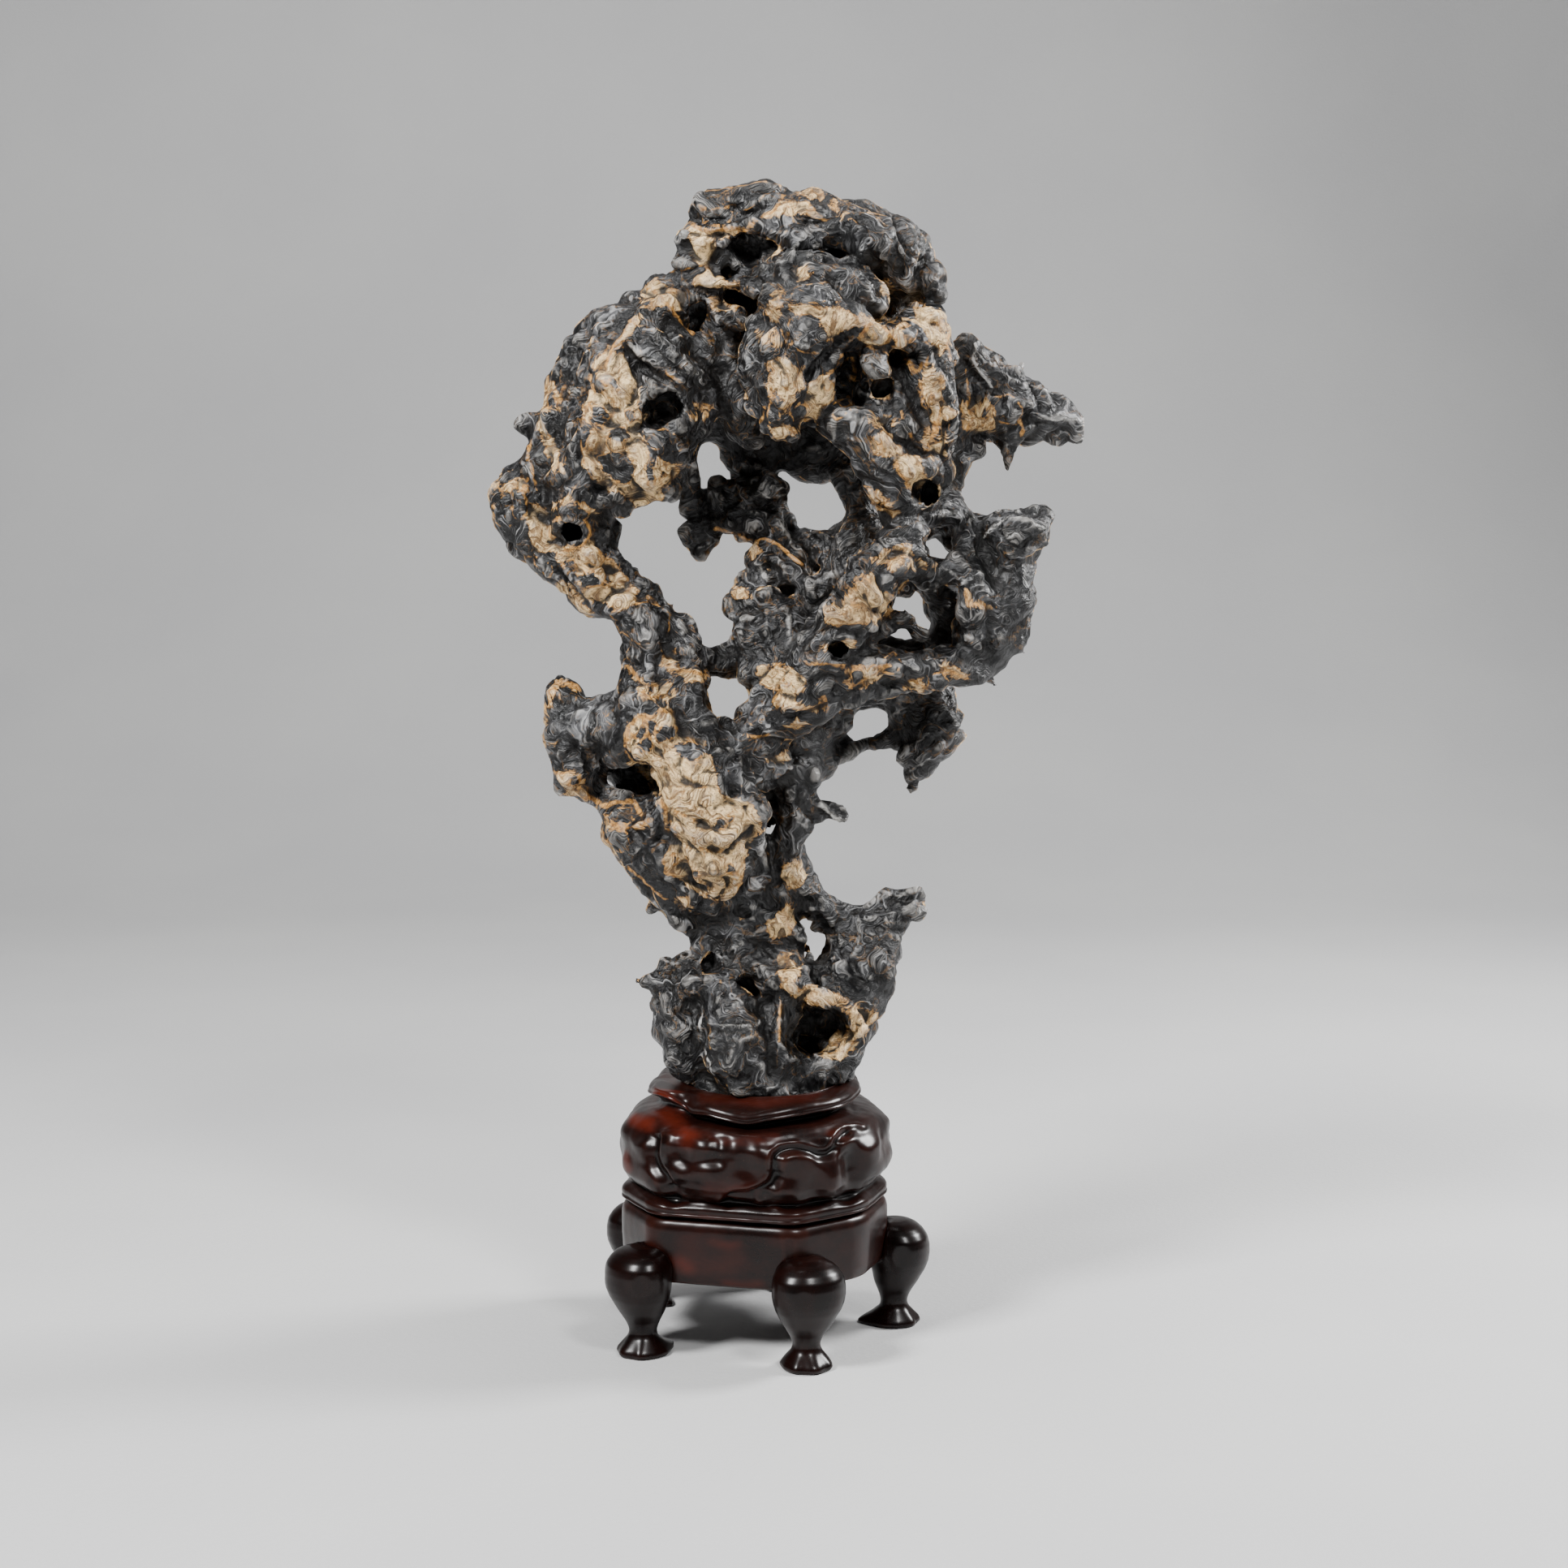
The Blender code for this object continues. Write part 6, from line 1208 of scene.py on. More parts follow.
LENSES = (
    # Crown, and the ring's left side.
    (1.4, ((-54, 690), (-44, 692), (-30, 694), (-10, 698), (-2, 694), (-12, 688), (-28, 678), (-30, 684),
        (-44, 680), (-54, 684))),
    (1.2, ((-50, 672), (-48, 681), (-34, 682), (-30, 676), (-36, 671))),
    (1.2, ((-118, 573), (-112, 576), (-108, 572), (-114, 568))),
    (1, ((-108, 577), (-104, 577), (-101, 570), (-105, 569))),
    (1.2, ((-119, 560), (-112, 560), (-108, 554), (-112, 546), (-118, 550))),
    (1, ((-98, 557), (-94, 558), (-92, 552), (-95, 549))),
    (1, ((-106, 545), (-98, 547), (-94, 541), (-102, 537), (-108, 540))),
    (1, ((-146, 566), (-142, 568), (-140, 562), (-144, 558))),
    # Boss, shoulder, the ring's lower side, stem and arm.
    (1.5, ((2, 606), (4, 614), (10, 616), (18, 616), (24, 608), (27, 601), (22, 594), (14, 592), (6, 596))),
    (0.8, ((5, 632), (6, 625), (14, 623), (26, 624), (35, 623), (35, 632), (28, 636), (14, 635))),
    (1.2, ((48, 597), (60, 596), (65, 590), (64, 578), (56, 573), (48, 576), (45, 586))),
    (1.2, ((74, 598), (80, 602), (89, 598), (88, 585), (80, 578), (76, 586))),
    (1, ((-9, 568), (-4, 566), (-2, 552), (-8, 550))),
    (1.2, ((3, 556), (10, 562), (15, 558), (14, 551), (6, 550))),
    (1, ((34, 592), (42, 588), (42, 574), (36, 572), (33, 580))),
    (0.8, ((72, 606), (78, 610), (82, 606), (80, 602), (74, 602))),
    (0.8, ((96, 546), (93, 550), (90, 546), (93, 541))),
    (0.8, ((30, 562), (40, 566), (44, 560), (36, 552), (30, 552))),
    (1, ((-116, 530), (-106, 531), (-94, 530), (-92, 520), (-96, 512), (-104, 514), (-112, 520))),
    (1, ((-86, 546), (-70, 545), (-64, 538), (-64, 532), (-80, 533), (-86, 538))),
    (0.8, ((-86, 524), (-81, 526), (-80, 512), (-84, 512))),
    (1.2, ((-140, 498), (-130, 500), (-120, 494), (-126, 488), (-138, 490))),
    (1, ((-137, 462), (-130, 466), (-127, 460), (-132, 457))),
    (1, ((-127, 455), (-117, 458), (-112, 450), (-122, 448))),
    (0.8, ((-111, 456), (-107, 456), (-106, 451), (-110, 450))),
    (0.8, ((-180, 508), (-174, 509), (-172, 504), (-178, 503))),
    (1, ((-179, 499), (-168, 499), (-166, 490), (-170, 484), (-178, 488))),
    (1.2, ((-166, 508), (-160, 506), (-158, 496), (-162, 488), (-168, 496))),
    (1.2, ((-160, 468), (-148, 466), (-142, 460), (-144, 452), (-156, 456))),
    (0.6, ((-108, 432), (-90, 438), (-80, 438), (-70, 432), (-72, 420), (-78, 412), (-90, 414), (-100, 420))),
    (0.8, ((-96, 492), (-92, 488), (-90, 493))),
    # Wing, fan, hook plate, belly, foot, web and spur.
    (1.2, ((130, 565), (139, 567), (148, 558), (143, 549), (131, 550))),
    (1, ((-92, 356), (-86, 366), (-83, 360), (-88, 354))),
    (1, ((-84, 366), (-78, 365), (-80, 358), (-84, 358))),
    (1.2, ((-80, 357), (-74, 364), (-66, 362), (-67, 355), (-78, 353))),
    (1, ((-91, 351), (-83, 357), (-80, 350), (-88, 346))),
    (1.2, ((-66, 345), (-60, 353), (-52, 352), (-48, 346), (-56, 341))),
    (1.6, ((-109, 306), (-104, 312), (-94, 312), (-92, 305), (-97, 301), (-104, 303))),
    (1.3, ((-108, 298), (-98, 298), (-94, 290), (-100, 284), (-107, 290))),
    (1, ((-42, 305), (-38, 307), (-34, 303), (-37, 298), (-42, 300))),
    (0.8, ((-35, 308), (-31, 308), (-31, 304), (-34, 304))),
    (1, ((-72, 301), (-67, 301), (-65, 296), (-70, 292))),
    (0.8, ((-69, 285), (-66, 284), (-65, 277), (-68, 276))),
    (0.6, ((-61, 273), (-53, 274), (-52, 269), (-60, 268))),
    (0.6, ((-35, 278), (-30, 277), (-30, 272), (-35, 272))),
    (1, ((41, 397), (48, 398), (50, 389), (42, 387))),
    (1, ((60, 403), (67, 408), (73, 400), (68, 395), (61, 396))),
    (1, ((88, 394), (96, 396), (102, 390), (95, 384), (90, 386))),
    (1, ((-133, 332), (-127, 332), (-126, 327), (-132, 326))),
    (1, ((22, 380), (26, 380), (26, 375), (22, 375))),
    (0.8, ((-140, 386), (-132, 387), (-126, 378), (-138, 378))),
)
FILLS = (
    # Crown, and the ring's left side.
    (1, ((-2, 694), (2, 697), (24, 694), (27, 686), (14, 687), (4, 690))),
    (1, ((-16, 675), (-6, 681), (-2, 686), (14, 686), (22, 678), (28, 672), (14, 678), (2, 678), (-8, 676))),
    (0.8, ((-60, 672), (-52, 669), (-28, 670), (-16, 676), (-22, 668), (-32, 664), (-48, 663), (-50, 650),
        (-58, 654), (-58, 664))),
    (0.95, ((-56, 668), (-44, 668), (-42, 652), (-46, 640), (-56, 652))),
    (0.9, ((-56, 642), (-40, 640), (-26, 634), (-20, 632), (-36, 630), (-56, 630))),
    (0.95, ((-88, 634), (-78, 638), (-70, 632), (-60, 630), (-62, 618), (-72, 622), (-84, 620), (-96, 612),
        (-104, 600), (-110, 592), (-100, 596), (-88, 612))),
    (1, ((-112, 592), (-98, 592), (-92, 580), (-88, 572), (-90, 560), (-84, 550), (-90, 545), (-110, 545),
        (-126, 552), (-124, 564), (-116, 576), (-118, 586))),
    (0.9, ((-158, 562), (-148, 570), (-146, 584), (-142, 576), (-138, 566), (-140, 556), (-152, 554))),
    (0.9, ((-152, 552), (-148, 552), (-138, 534), (-134, 518), (-142, 520), (-150, 538))),
    (0.9, ((-120, 545), (-90, 545), (-84, 536), (-84, 524), (-100, 518), (-126, 520), (-124, 534))),
    (0.9, ((-50, 632), (-40, 628), (-26, 624), (-30, 618), (-44, 618))),
    (0.9, ((60, 640), (67, 637), (68, 628), (60, 628))), (0.7, ((5, 645), (18, 647), (20, 640), (8, 636))),
    (0.9, ((2, 626), (16, 622), (34, 620), (48, 616), (46, 610), (20, 612), (2, 618))),
    (0.6, ((28, 690), (38, 680), (52, 676), (50, 670), (36, 674), (28, 680))),
    # Boss, shoulder, the ring's lower side, stem and arm.
    (1, ((4, 623), (14, 622), (21, 620), (18, 616), (12, 612), (6, 616))),
    (1, ((20, 620), (34, 621), (40, 618), (52, 615), (58, 614), (52, 610), (44, 607), (36, 605), (28, 601),
        (24, 607), (24, 614))),
    (1.3, ((46, 602), (52, 611), (58, 613), (63, 608), (65, 603), (62, 596), (54, 596), (46, 599))),
    (0.8, ((79, 622), (86, 626), (94, 620), (105, 620), (106, 606), (102, 596), (96, 590), (90, 598),
        (88, 606), (82, 610))),
    (0.9, ((66, 606), (74, 612), (80, 606), (76, 598), (72, 590), (68, 598))),
    (1, ((84, 580), (90, 584), (100, 578), (97, 567), (105, 556), (100, 548), (92, 556), (86, 566))),
    (0.7, ((86, 556), (96, 560), (102, 540), (100, 526), (92, 526), (84, 534))),
    (0.8, ((108, 562), (118, 566), (121, 556), (118, 545), (111, 545))),
    (0.9, ((-12, 588), (0, 590), (11, 584), (12, 572), (4, 565), (-9, 569))),
    (1.2, ((15, 574), (26, 579), (33, 572), (30, 564), (24, 559), (20, 551), (14, 551), (13, 562))),
    (1, ((-9, 546), (0, 549), (10, 546), (8, 541), (-4, 539))),
    (0.8, ((-4, 568), (8, 566), (3, 554), (-2, 552))),
    (1.2, ((54, 540), (62, 545), (68, 540), (73, 532), (66, 528), (56, 530))),
    (0.85, ((66, 532), (74, 530), (84, 528), (88, 520), (85, 510), (78, 508), (72, 514), (68, 522))),
    (0.65, ((50, 513), (60, 507), (71, 499), (74, 495), (66, 491), (56, 499))),
    (0.6, ((48, 556), (58, 552), (72, 556), (70, 546), (56, 545), (50, 548))),
    (0.8, ((0, 636), (-8, 630), (-14, 616), (-4, 610), (0, 620))),
    (0.7, ((-18, 608), (-4, 606), (0, 596), (-14, 596))),
    (0.8, ((-182, 512), (-170, 514), (-160, 517), (-156, 510), (-158, 500), (-164, 508), (-180, 503))),
    (0.9, ((-157, 500), (-148, 498), (-142, 488), (-138, 476), (-144, 470), (-154, 470), (-157, 480),
        (-159, 490))),
    (1, ((-142, 500), (-134, 504), (-122, 500), (-112, 494), (-114, 486), (-120, 490), (-126, 487),
        (-140, 489))),
    (1, ((-142, 474), (-126, 472), (-118, 478), (-112, 468), (-104, 464), (-98, 456), (-94, 448), (-88, 441),
        (-94, 436), (-100, 432), (-110, 438), (-120, 440), (-126, 448), (-128, 458), (-140, 464))),
    (1, ((-120, 541), (-92, 544), (-84, 532), (-80, 520), (-76, 512), (-74, 503), (-80, 497), (-92, 498),
        (-100, 506), (-113, 508), (-120, 524))),
    (0.7, ((-82, 528), (-70, 527), (-63, 524), (-66, 514), (-72, 508), (-79, 512))),
    (0.5, ((-60, 560), (-44, 562), (-46, 550), (-60, 548))),
    (0.7, ((-142, 446), (-132, 440), (-122, 428), (-116, 430), (-126, 444), (-138, 454))),
    (1, ((-106, 439), (-94, 438), (-96, 432), (-103, 431))),
    (0.7, ((-76, 412), (-66, 411), (-63, 396), (-72, 395), (-77, 402))),
    (0.9, ((-98, 398), (-92, 396), (-84, 388), (-80, 384), (-87, 380), (-91, 388))),
    (0.9, ((-65, 399), (-50, 397), (-44, 392), (-52, 389), (-65, 393))),
    (0.8, ((-80, 388), (-68, 391), (-66, 381), (-76, 377), (-85, 378))),
    (0.9, ((-26, 477), (-16, 477), (-13, 470), (-20, 465))),
    (0.8, ((-32, 450), (-22, 449), (-20, 441), (-32, 441))),
    (0.9, ((24, 424), (24, 436), (34, 440), (44, 452), (54, 458), (60, 446), (72, 448), (66, 430),
        (50, 425))),
    (0.6, ((52, 466), (66, 474), (78, 478), (80, 466), (66, 456))),
    (0.8, ((14, 416), (24, 412), (40, 418), (46, 416), (42, 410), (26, 409))),
    (0.7, ((36, 401), (56, 400), (62, 392), (44, 384), (34, 392))),
    (0.8, ((-18, 400), (0, 401), (10, 396), (12, 384), (0, 382), (-14, 388))),
    # Wing, fan, hook plate, belly, foot, web and spur.
    (0.7, ((111, 562), (122, 567), (131, 560), (131, 545), (118, 541), (111, 546))),
    (0.9, ((110, 447), (114, 447), (116, 441), (124, 439), (130, 434), (122, 435), (112, 437))),
    (1, ((96, 402), (104, 400), (116, 392), (106, 391), (98, 395))),
    (0.6, ((64, 472), (80, 470), (96, 462), (90, 456), (76, 458), (66, 462))),
    (0.8, ((-146, 388), (-140, 391), (-130, 391), (-120, 385), (-126, 384), (-136, 386), (-143, 380),
        (-146, 366), (-149, 352), (-144, 334), (-149, 340), (-151, 356), (-148, 372))),
    (0.9, ((-141, 336), (-128, 336), (-122, 328), (-118, 318), (-134, 316), (-137, 326))),
    (1, ((-98, 350), (-96, 362), (-90, 370), (-80, 370), (-76, 374), (-68, 373), (-64, 366), (-58, 356),
        (-48, 352), (-56, 348), (-66, 352), (-80, 348), (-90, 344))),
    (1.15, ((-97, 340), (-84, 346), (-70, 350), (-60, 343), (-46, 345), (-42, 334), (-40, 322), (-34, 317),
        (-24, 316), (-16, 309), (-14, 298), (-22, 288), (-26, 272), (-29, 258), (-36, 254), (-46, 257),
        (-58, 262), (-64, 269), (-74, 272), (-75, 280), (-69, 290), (-73, 300), (-73, 310), (-80, 321),
        (-87, 333))),
    (0.9, ((-112, 306), (-109, 310), (-105, 304), (-97, 301), (-82, 306), (-82, 302), (-96, 297), (-109, 300),
        (-107, 288), (-111, 290), (-113, 298))),
    (0.8, ((-70, 259), (-58, 258), (-56, 250), (-66, 250))),
    (1, ((0, 277), (8, 280), (13, 272), (12, 264), (4, 262), (-3, 270))),
    (1.2, ((4, 252), (9, 247), (6, 240), (1, 232), (-7, 232), (-11, 240), (-2, 247))),
    (1.2, ((-3, 222), (2, 220), (11, 214), (9, 208), (5, 202), (0, 200), (-4, 212))),
    (0.75, ((2, 203), (10, 204), (20, 202), (34, 197), (42, 191), (50, 192), (60, 184), (51, 173), (42, 166),
        (34, 157), (24, 159), (26, 172), (42, 180), (32, 190), (12, 190), (2, 196))),
    (1.1, ((20, 167), (38, 170), (46, 168), (36, 157), (24, 158))),
    (0.9, ((-7, 376), (-2, 386), (4, 390), (12, 394), (14, 388), (8, 384), (6, 376), (-2, 373))),
    (0.8, ((4, 376), (20, 376), (27, 373), (24, 370), (6, 372))),
    (0.8, ((0, 364), (8, 368), (17, 365), (10, 360), (0, 360))),
    (0.75, ((-14, 343), (-2, 347), (7, 351), (5, 342), (-4, 339))),
    (0.9, ((72, 387), (84, 393), (89, 386), (80, 383))),
)
OCHRE = (
    # Crown, and the ring's left side.
    (0.9, 2.2, ((-56, 670), (-48, 668), (-30, 669), (-24, 668), (-16, 675), (-6, 680), (-1, 688), (2, 696))),
    (0.9, 2.2, ((-66, 672), (-60, 674), (-54, 671))), (0.8, 2.2, ((-70, 642), (-60, 644), (-50, 647))),
    (0.8, 2, ((8, 688), (14, 686), (20, 680), (26, 674))),
    (0.9, 2.4, ((-86, 634), (-80, 630), (-72, 622), (-64, 612), (-56, 604))),
    (0.9, 2.4, ((-92, 614), (-98, 604), (-106, 594), (-110, 584))),
    (0.9, 2.4, ((-150, 562), (-144, 558), (-138, 562), (-136, 572))),
    (0.8, 2.4, ((-120, 580), (-116, 566), (-124, 556))), (0.9, 2.4, ((-72, 580), (-66, 577), (-62, 574))),
    (0.8, 2.2, ((-156, 540), (-156, 524), (-152, 508))),
    # Boss, shoulder, the ring's lower side, stem and arm.
    (0.9, 2.6, ((101, 604), (101, 595), (106, 584))), (0.9, 2.6, ((46, 600), (50, 607), (56, 613))),
    (0.9, 2.4, ((60, 610), (65, 603), (63, 596), (54, 595.5))), (0.8, 2.4, ((74, 622), (80, 622), (86, 626))),
    (0.9, 3, ((72, 592), (76, 588), (80, 580))), (0.9, 2.4, ((98, 562), (95, 550), (91, 540), (87, 530))),
    (0.9, 2.4, ((84, 574), (86, 560), (92, 552))), (0.9, 2.4, ((112, 562), (116, 552), (113, 545))),
    (0.9, 2, ((-12, 560), (-14, 550), (-18, 548))), (0.9, 2.2, ((14, 562), (16, 552), (20, 550))),
    (0.9, 2.4, ((68, 528), (70, 522), (76, 511), (84, 510))), (0.9, 2, ((72, 556), (76, 546), (80, 538))),
    (0.8, 2.2, ((24, 578), (34, 584), (42, 590), (47, 598))), (0.8, 2, ((-2, 608), (2, 598), (0, 590))),
    (0.9, 2.4, ((-158, 516), (-161, 508), (-158, 500))), (0.9, 2.4, ((-142, 476), (-146, 486), (-138, 492))),
    (0.9, 2.4, ((-141, 474), (-132, 471), (-124, 474), (-120, 482), (-122, 490))),
    (0.8, 1.8, ((-126, 540), (-124, 526), (-118, 514), (-108, 506))),
    (0.9, 2.2, ((-144, 448), (-138, 442), (-130, 434))), (0.8, 1.8, ((-116, 474), (-110, 462), (-112, 450))),
    (0.9, 2, ((-92, 440), (-84, 442), (-78, 438))),
    (0.9, 2.4, ((-96, 400), (-90, 392), (-86, 382), (-78, 380))),
    (0.9, 2.4, ((-66, 396), (-56, 396), (-44, 392))),
    (0.9, 2, ((-42, 485), (-35, 483), (-22, 477), (-12, 478), (-4, 474), (3, 468), (10, 462))),
    (0.8, 2.2, ((42, 452), (48, 456), (54, 450))), (0.9, 2.2, ((12, 402), (30, 400), (50, 399), (66, 400))),
    (0.8, 1.8, ((-18, 398), (0, 401))), (0.8, 1.8, ((40, 386), (52, 394), (62, 398))),
    # Wing, fan, hook plate, belly, foot, web and spur.
    (0.8, 2, ((112, 582), (113, 572), (114, 562))), (0.9, 2.6, ((144, 553), (148, 546), (146, 541))),
    (0.9, 2.6, ((112, 446), (113, 440), (120, 437))), (0.9, 2.6, ((98, 398), (106, 395), (114, 391))),
    (0.9, 2.2, ((-144, 381), (-148, 366), (-149, 352), (-146, 342), (-141, 332))),
    (0.9, 2.2, ((-145, 384), (-139, 389), (-131, 389), (-122, 384))),
    (0.9, 2.4, ((-140, 334), (-128, 335), (-123, 328), (-119, 319), (-132, 317))),
    (0.8, 1.4, ((-112, 366), (-106, 372), (-102, 380), (-98, 386))),
    (1, 2.6, ((-98, 351), (-95, 363), (-89, 369), (-80, 368), (-76, 372), (-68, 371), (-64, 364), (-60, 356),
        (-53, 352))),
    (0.8, 1.8, ((-98, 348), (-92, 340), (-88, 334), (-80, 328))),
    (0.8, 2.6, ((-70, 310), (-60, 306), (-50, 301), (-44, 300))),
    (0.8, 2.4, ((-62, 328), (-52, 325), (-40, 325))),
    (0.8, 2.2, ((-68, 291), (-52, 286), (-36, 285), (-26, 294))),
    (0.8, 2.4, ((-74, 281), (-73, 273), (-64, 270))), (0.8, 2.2, ((-79, 324), (-75, 314), (-71, 304))),
    (0.8, 2.2, ((-30, 256), (-28, 268), (-24, 276))),
    (0.9, 2.4, ((-110, 308), (-106, 302), (-97, 299), (-88, 301), (-81, 305))),
    (0.9, 2.4, ((-112, 304), (-111, 294), (-107, 286))),
    (1, 2.6, ((-118, 318), (-110, 313), (-104, 316), (-92, 316), (-88, 308))),
    (0.9, 1.8, ((-98, 277), (-88, 269), (-78, 259), (-69, 254))),
    (0.8, 1.8, ((-2, 196), (-3, 180), (-3, 168))), (0.9, 2.4, ((-24, 357), (-16, 355), (-8, 358))),
    (0.9, 2.4, ((-6, 378), (-2, 385), (4, 389))), (0.9, 2.2, ((8, 373), (20, 373), (26, 374), (25, 381))),
    (0.9, 2.2, ((-2, 344), (4, 348), (8, 352))), (0.9, 2.2, ((73, 386), (80, 391), (87, 386))),
)
# Painted shade, in hollows, grooves and parts that lie in shade.
PAINTED_SHADE_LINES = (
    # Crown, and the ring's left side.
    (0.8, 6, ((-40, 688), (-20, 692))), (1, 6, ((-16, 656), (-6, 655))),
    (1, 5, ((28, 652), (42, 650), (52, 643), (58, 630))), (0.8, 5, ((-92, 584), (-80, 577), (-68, 572))),
    # Boss, shoulder, the ring's lower side, stem and arm.
    (1, 5, ((16, 580), (26, 592), (38, 602))), (1, 6, ((68, 596), (74, 578), (84, 556))),
    (1, 8, ((54, 566), (66, 562))), (0.8, 5, ((98, 556), (98, 532))), (0.9, 7, ((94, 524), (102, 518))),
    (0.9, 4, ((70, 538), (86, 531))), (0.8, 4, ((46, 532), (66, 516))), (1, 8, ((-132, 481),)),
    (0.7, 5, ((-156, 464), (-144, 456))), (0.8, 5, ((-148, 554), (-141, 540), (-133, 522))),
    (0.7, 5, ((-104, 500), (-104, 480), (-98, 466))), (0.8, 6, ((-112, 510), (-112, 498))),
    (1, 16, ((-50, 540), (-20, 538), (10, 540), (24, 530))), (1, 14, ((-56, 510), (-54, 490))),
    (0.9, 12, ((-30, 520), (0, 524), (10, 520))), (0.9, 12, ((44, 500), (44, 470))),
    (1, 6, ((-10, 462), (-4, 456))), (1, 6, ((-4, 446), (5, 444))), (1, 8, ((48, 418), (50, 406))),
    (0.8, 8, ((64, 386), (50, 380))), (0.7, 6, ((-34, 424), (-32, 410))), (0.7, 8, ((-56, 384), (-44, 384))),
    # Wing, fan, hook plate, belly, foot, web and spur.
    (1, 6, ((114, 541), (124, 539), (132, 535))), (0.8, 5, ((152, 549), (176, 546))),
    (0.8, 8, ((88, 504), (94, 502))), (0.9, 9, ((88, 478), (104, 476))),
    (0.9, 5, ((121, 478), (122, 468), (130, 462))), (1, 12, ((82, 434), (96, 430), (100, 420))),
    (1, 8, ((60, 412), (84, 411))), (0.7, 8, ((124, 424), (136, 416))),
    (1, 8, ((-112, 330), (-98, 326), (-88, 316), (-88, 310))), (0.7, 8, ((-134, 370), (-134, 350))),
    (1, 6, ((-34, 330), (-28, 322))), (1, 5, ((-14, 354), (0, 352))), (0.8, 6, ((-46, 380), (-46, 366))),
    (0.9, 8, ((-90, 276), (-80, 268), (-68, 260))), (0.7, 7, ((-84, 296), (-80, 286))),
    (1, 10, ((-50, 248), (-30, 246), (-20, 240))),
    (1, 10, ((12, 318), (18, 340), (26, 362), (50, 382), (80, 380))),
    (1, 12, ((40, 352), (60, 354), (70, 364))), (1, 6, ((10, 248), (20, 246))), (1, 6, ((8, 226), (24, 224))),
    (0.9, 6, ((60, 238), (76, 238))), (0.8, 10, ((20, 208), (40, 204), (58, 204))),
    (1, 4, ((-29, 208), (-20, 199))), (0.9, 6, ((-20, 230), (-6, 224))), (0.7, 12, ((-66, 170), (-60, 155))),
    (0.8, 12, ((-38, 165), (-34, 152))), (0.8, 10, ((-10, 160), (0, 148), (14, 148))),
    (1, 10, ((6, 180), (10, 170), (30, 184))), (0.8, 6, ((-10, 190), (-8, 176))),
    (0.8, 5, ((26, 318), (34, 308))), (0.7, 8, ((76, 326), (84, 334))),
)
PALE = (
    # Wing, fan, hook plate, belly, foot, web and spur.
    (0.9, 1.8, ((118, 598), (117, 588), (120, 582), (124, 577), (128, 571))),
    (0.7, 1.8, ((150, 573), (158, 571), (166, 566))), (0.6, 4, ((158, 553), (178, 551))),
    (0.6, 5, ((96, 496), (112, 492))), (0.6, 3, ((112, 480), (122, 479))),
    (0.7, 2, ((124, 470), (122, 478), (128, 484), (138, 490), (148, 491))),
    (0.9, 2.6, ((87, 446), (94, 446))), (0.6, 4, ((98, 460), (112, 452))),
    (0.8, 1.6, ((-50, 190), (-52, 178), (-50, 171), (-49, 163), (-46, 155), (-43, 147), (-40, 143))),
    (0.6, 1.6, ((-72, 188), (-62, 178), (-52, 171))), (0.6, 1.8, ((-46, 180), (-36, 178), (-20, 177))),
    (0.6, 3, ((-22, 263), (-9, 264))), (0.6, 4, ((8, 304), (14, 300))), (0.7, 3, ((22, 314), (36, 304))),
    (0.6, 3, ((74, 348), (90, 358))), (0.6, 3, ((76, 334), (92, 344))),
    (0.7, 2, ((-17, 508), (-9, 503.5), (0, 505))), (0.6, 4, ((-2, 486), (4, 474))),
    (0.6, 3, ((34, 476), (36, 467))), (0.6, 6, ((2, 430), (4, 414))),
    (0.7, 1.6, ((-39, 384), (-35, 375), (-29, 371))), (0.6, 1.6, ((-50, 362), (-34, 361))),
    (0.6, 2.4, ((-66, 427), (-58, 409), (-53, 402))), (0.6, 5, ((-118, 346), (-116, 338))),
    (0.7, 4, ((-94, 598), (-88, 592))), (0.6, 5, ((-62, 590), (-54, 584))), (0.6, 3, ((5, 652), (8, 660))),
)
# Parts with few thumbprints: the wing, the hook plate, the spur, the foot and the left ear,
# each (across, up, reach).
SMOOTH_PARTS = ((142, 572, 44), (138, 442, 44), (62, 236, 32), (-50, 188, 36), (-142, 362, 26))

face = Face(rock)
lift = face.marked(RIDGES)
cream, lens_rim = np.zeros_like(lift), np.zeros_like(lift)
for strength, outline in FILLS:
    cream = np.maximum(cream, strength * face.patch(outline, 3.0))
for tall, outline in LENSES:
    inside = face.patch(outline, 1.6)
    lift += tall * inside
    cream *= 1.0 - inside
    lens_rim = np.maximum(lens_rim, 0.9 * 4.0 * inside * (1.0 - inside))
ochre = np.maximum(lens_rim, face.stained(OCHRE, 1.3))
# Painted shade along the dark lines.
dark = face.stained(PAINTED_SHADE_LINES, 1.5)
pale = face.stained(PALE, 1.0)
hidden = 1.0 - np.clip(face.seen * 1.5, 0.0, 1.0)

# Worn folds and creases, ribs that follow one another like contours, and small pits: sizes and heights in mm.
BEND_SIZE, BEND, PATCH_SIZE = 26.0, 9.0, 34.0
CREASE_SIZE, CREASE_DEPTH, SMALL_CREASE_SIZE, SMALL_CREASE_DEPTH = 13.0, 0.9, 5.5, 0.25
PIT_SIZE, PIT_DEPTH, PIT_REACH = 15.0, 1.5, 0.17
RIB_SIZE, RIB_COUNT, RIB_HEIGHT = 30.0, 26.0, 0.32
FOLD_SIZE, FOLD_HEIGHT, SMALL_FOLD_SIZE, SMALL_FOLD_HEIGHT = 12.0, 0.75, 4.2, 0.22
SCALLOP_SIZE, SCALLOP_HEIGHT, SMALL_SCALLOP_SIZE, SMALL_SCALLOP_HEIGHT = 11.0, 1.9, 5.0, 0.6

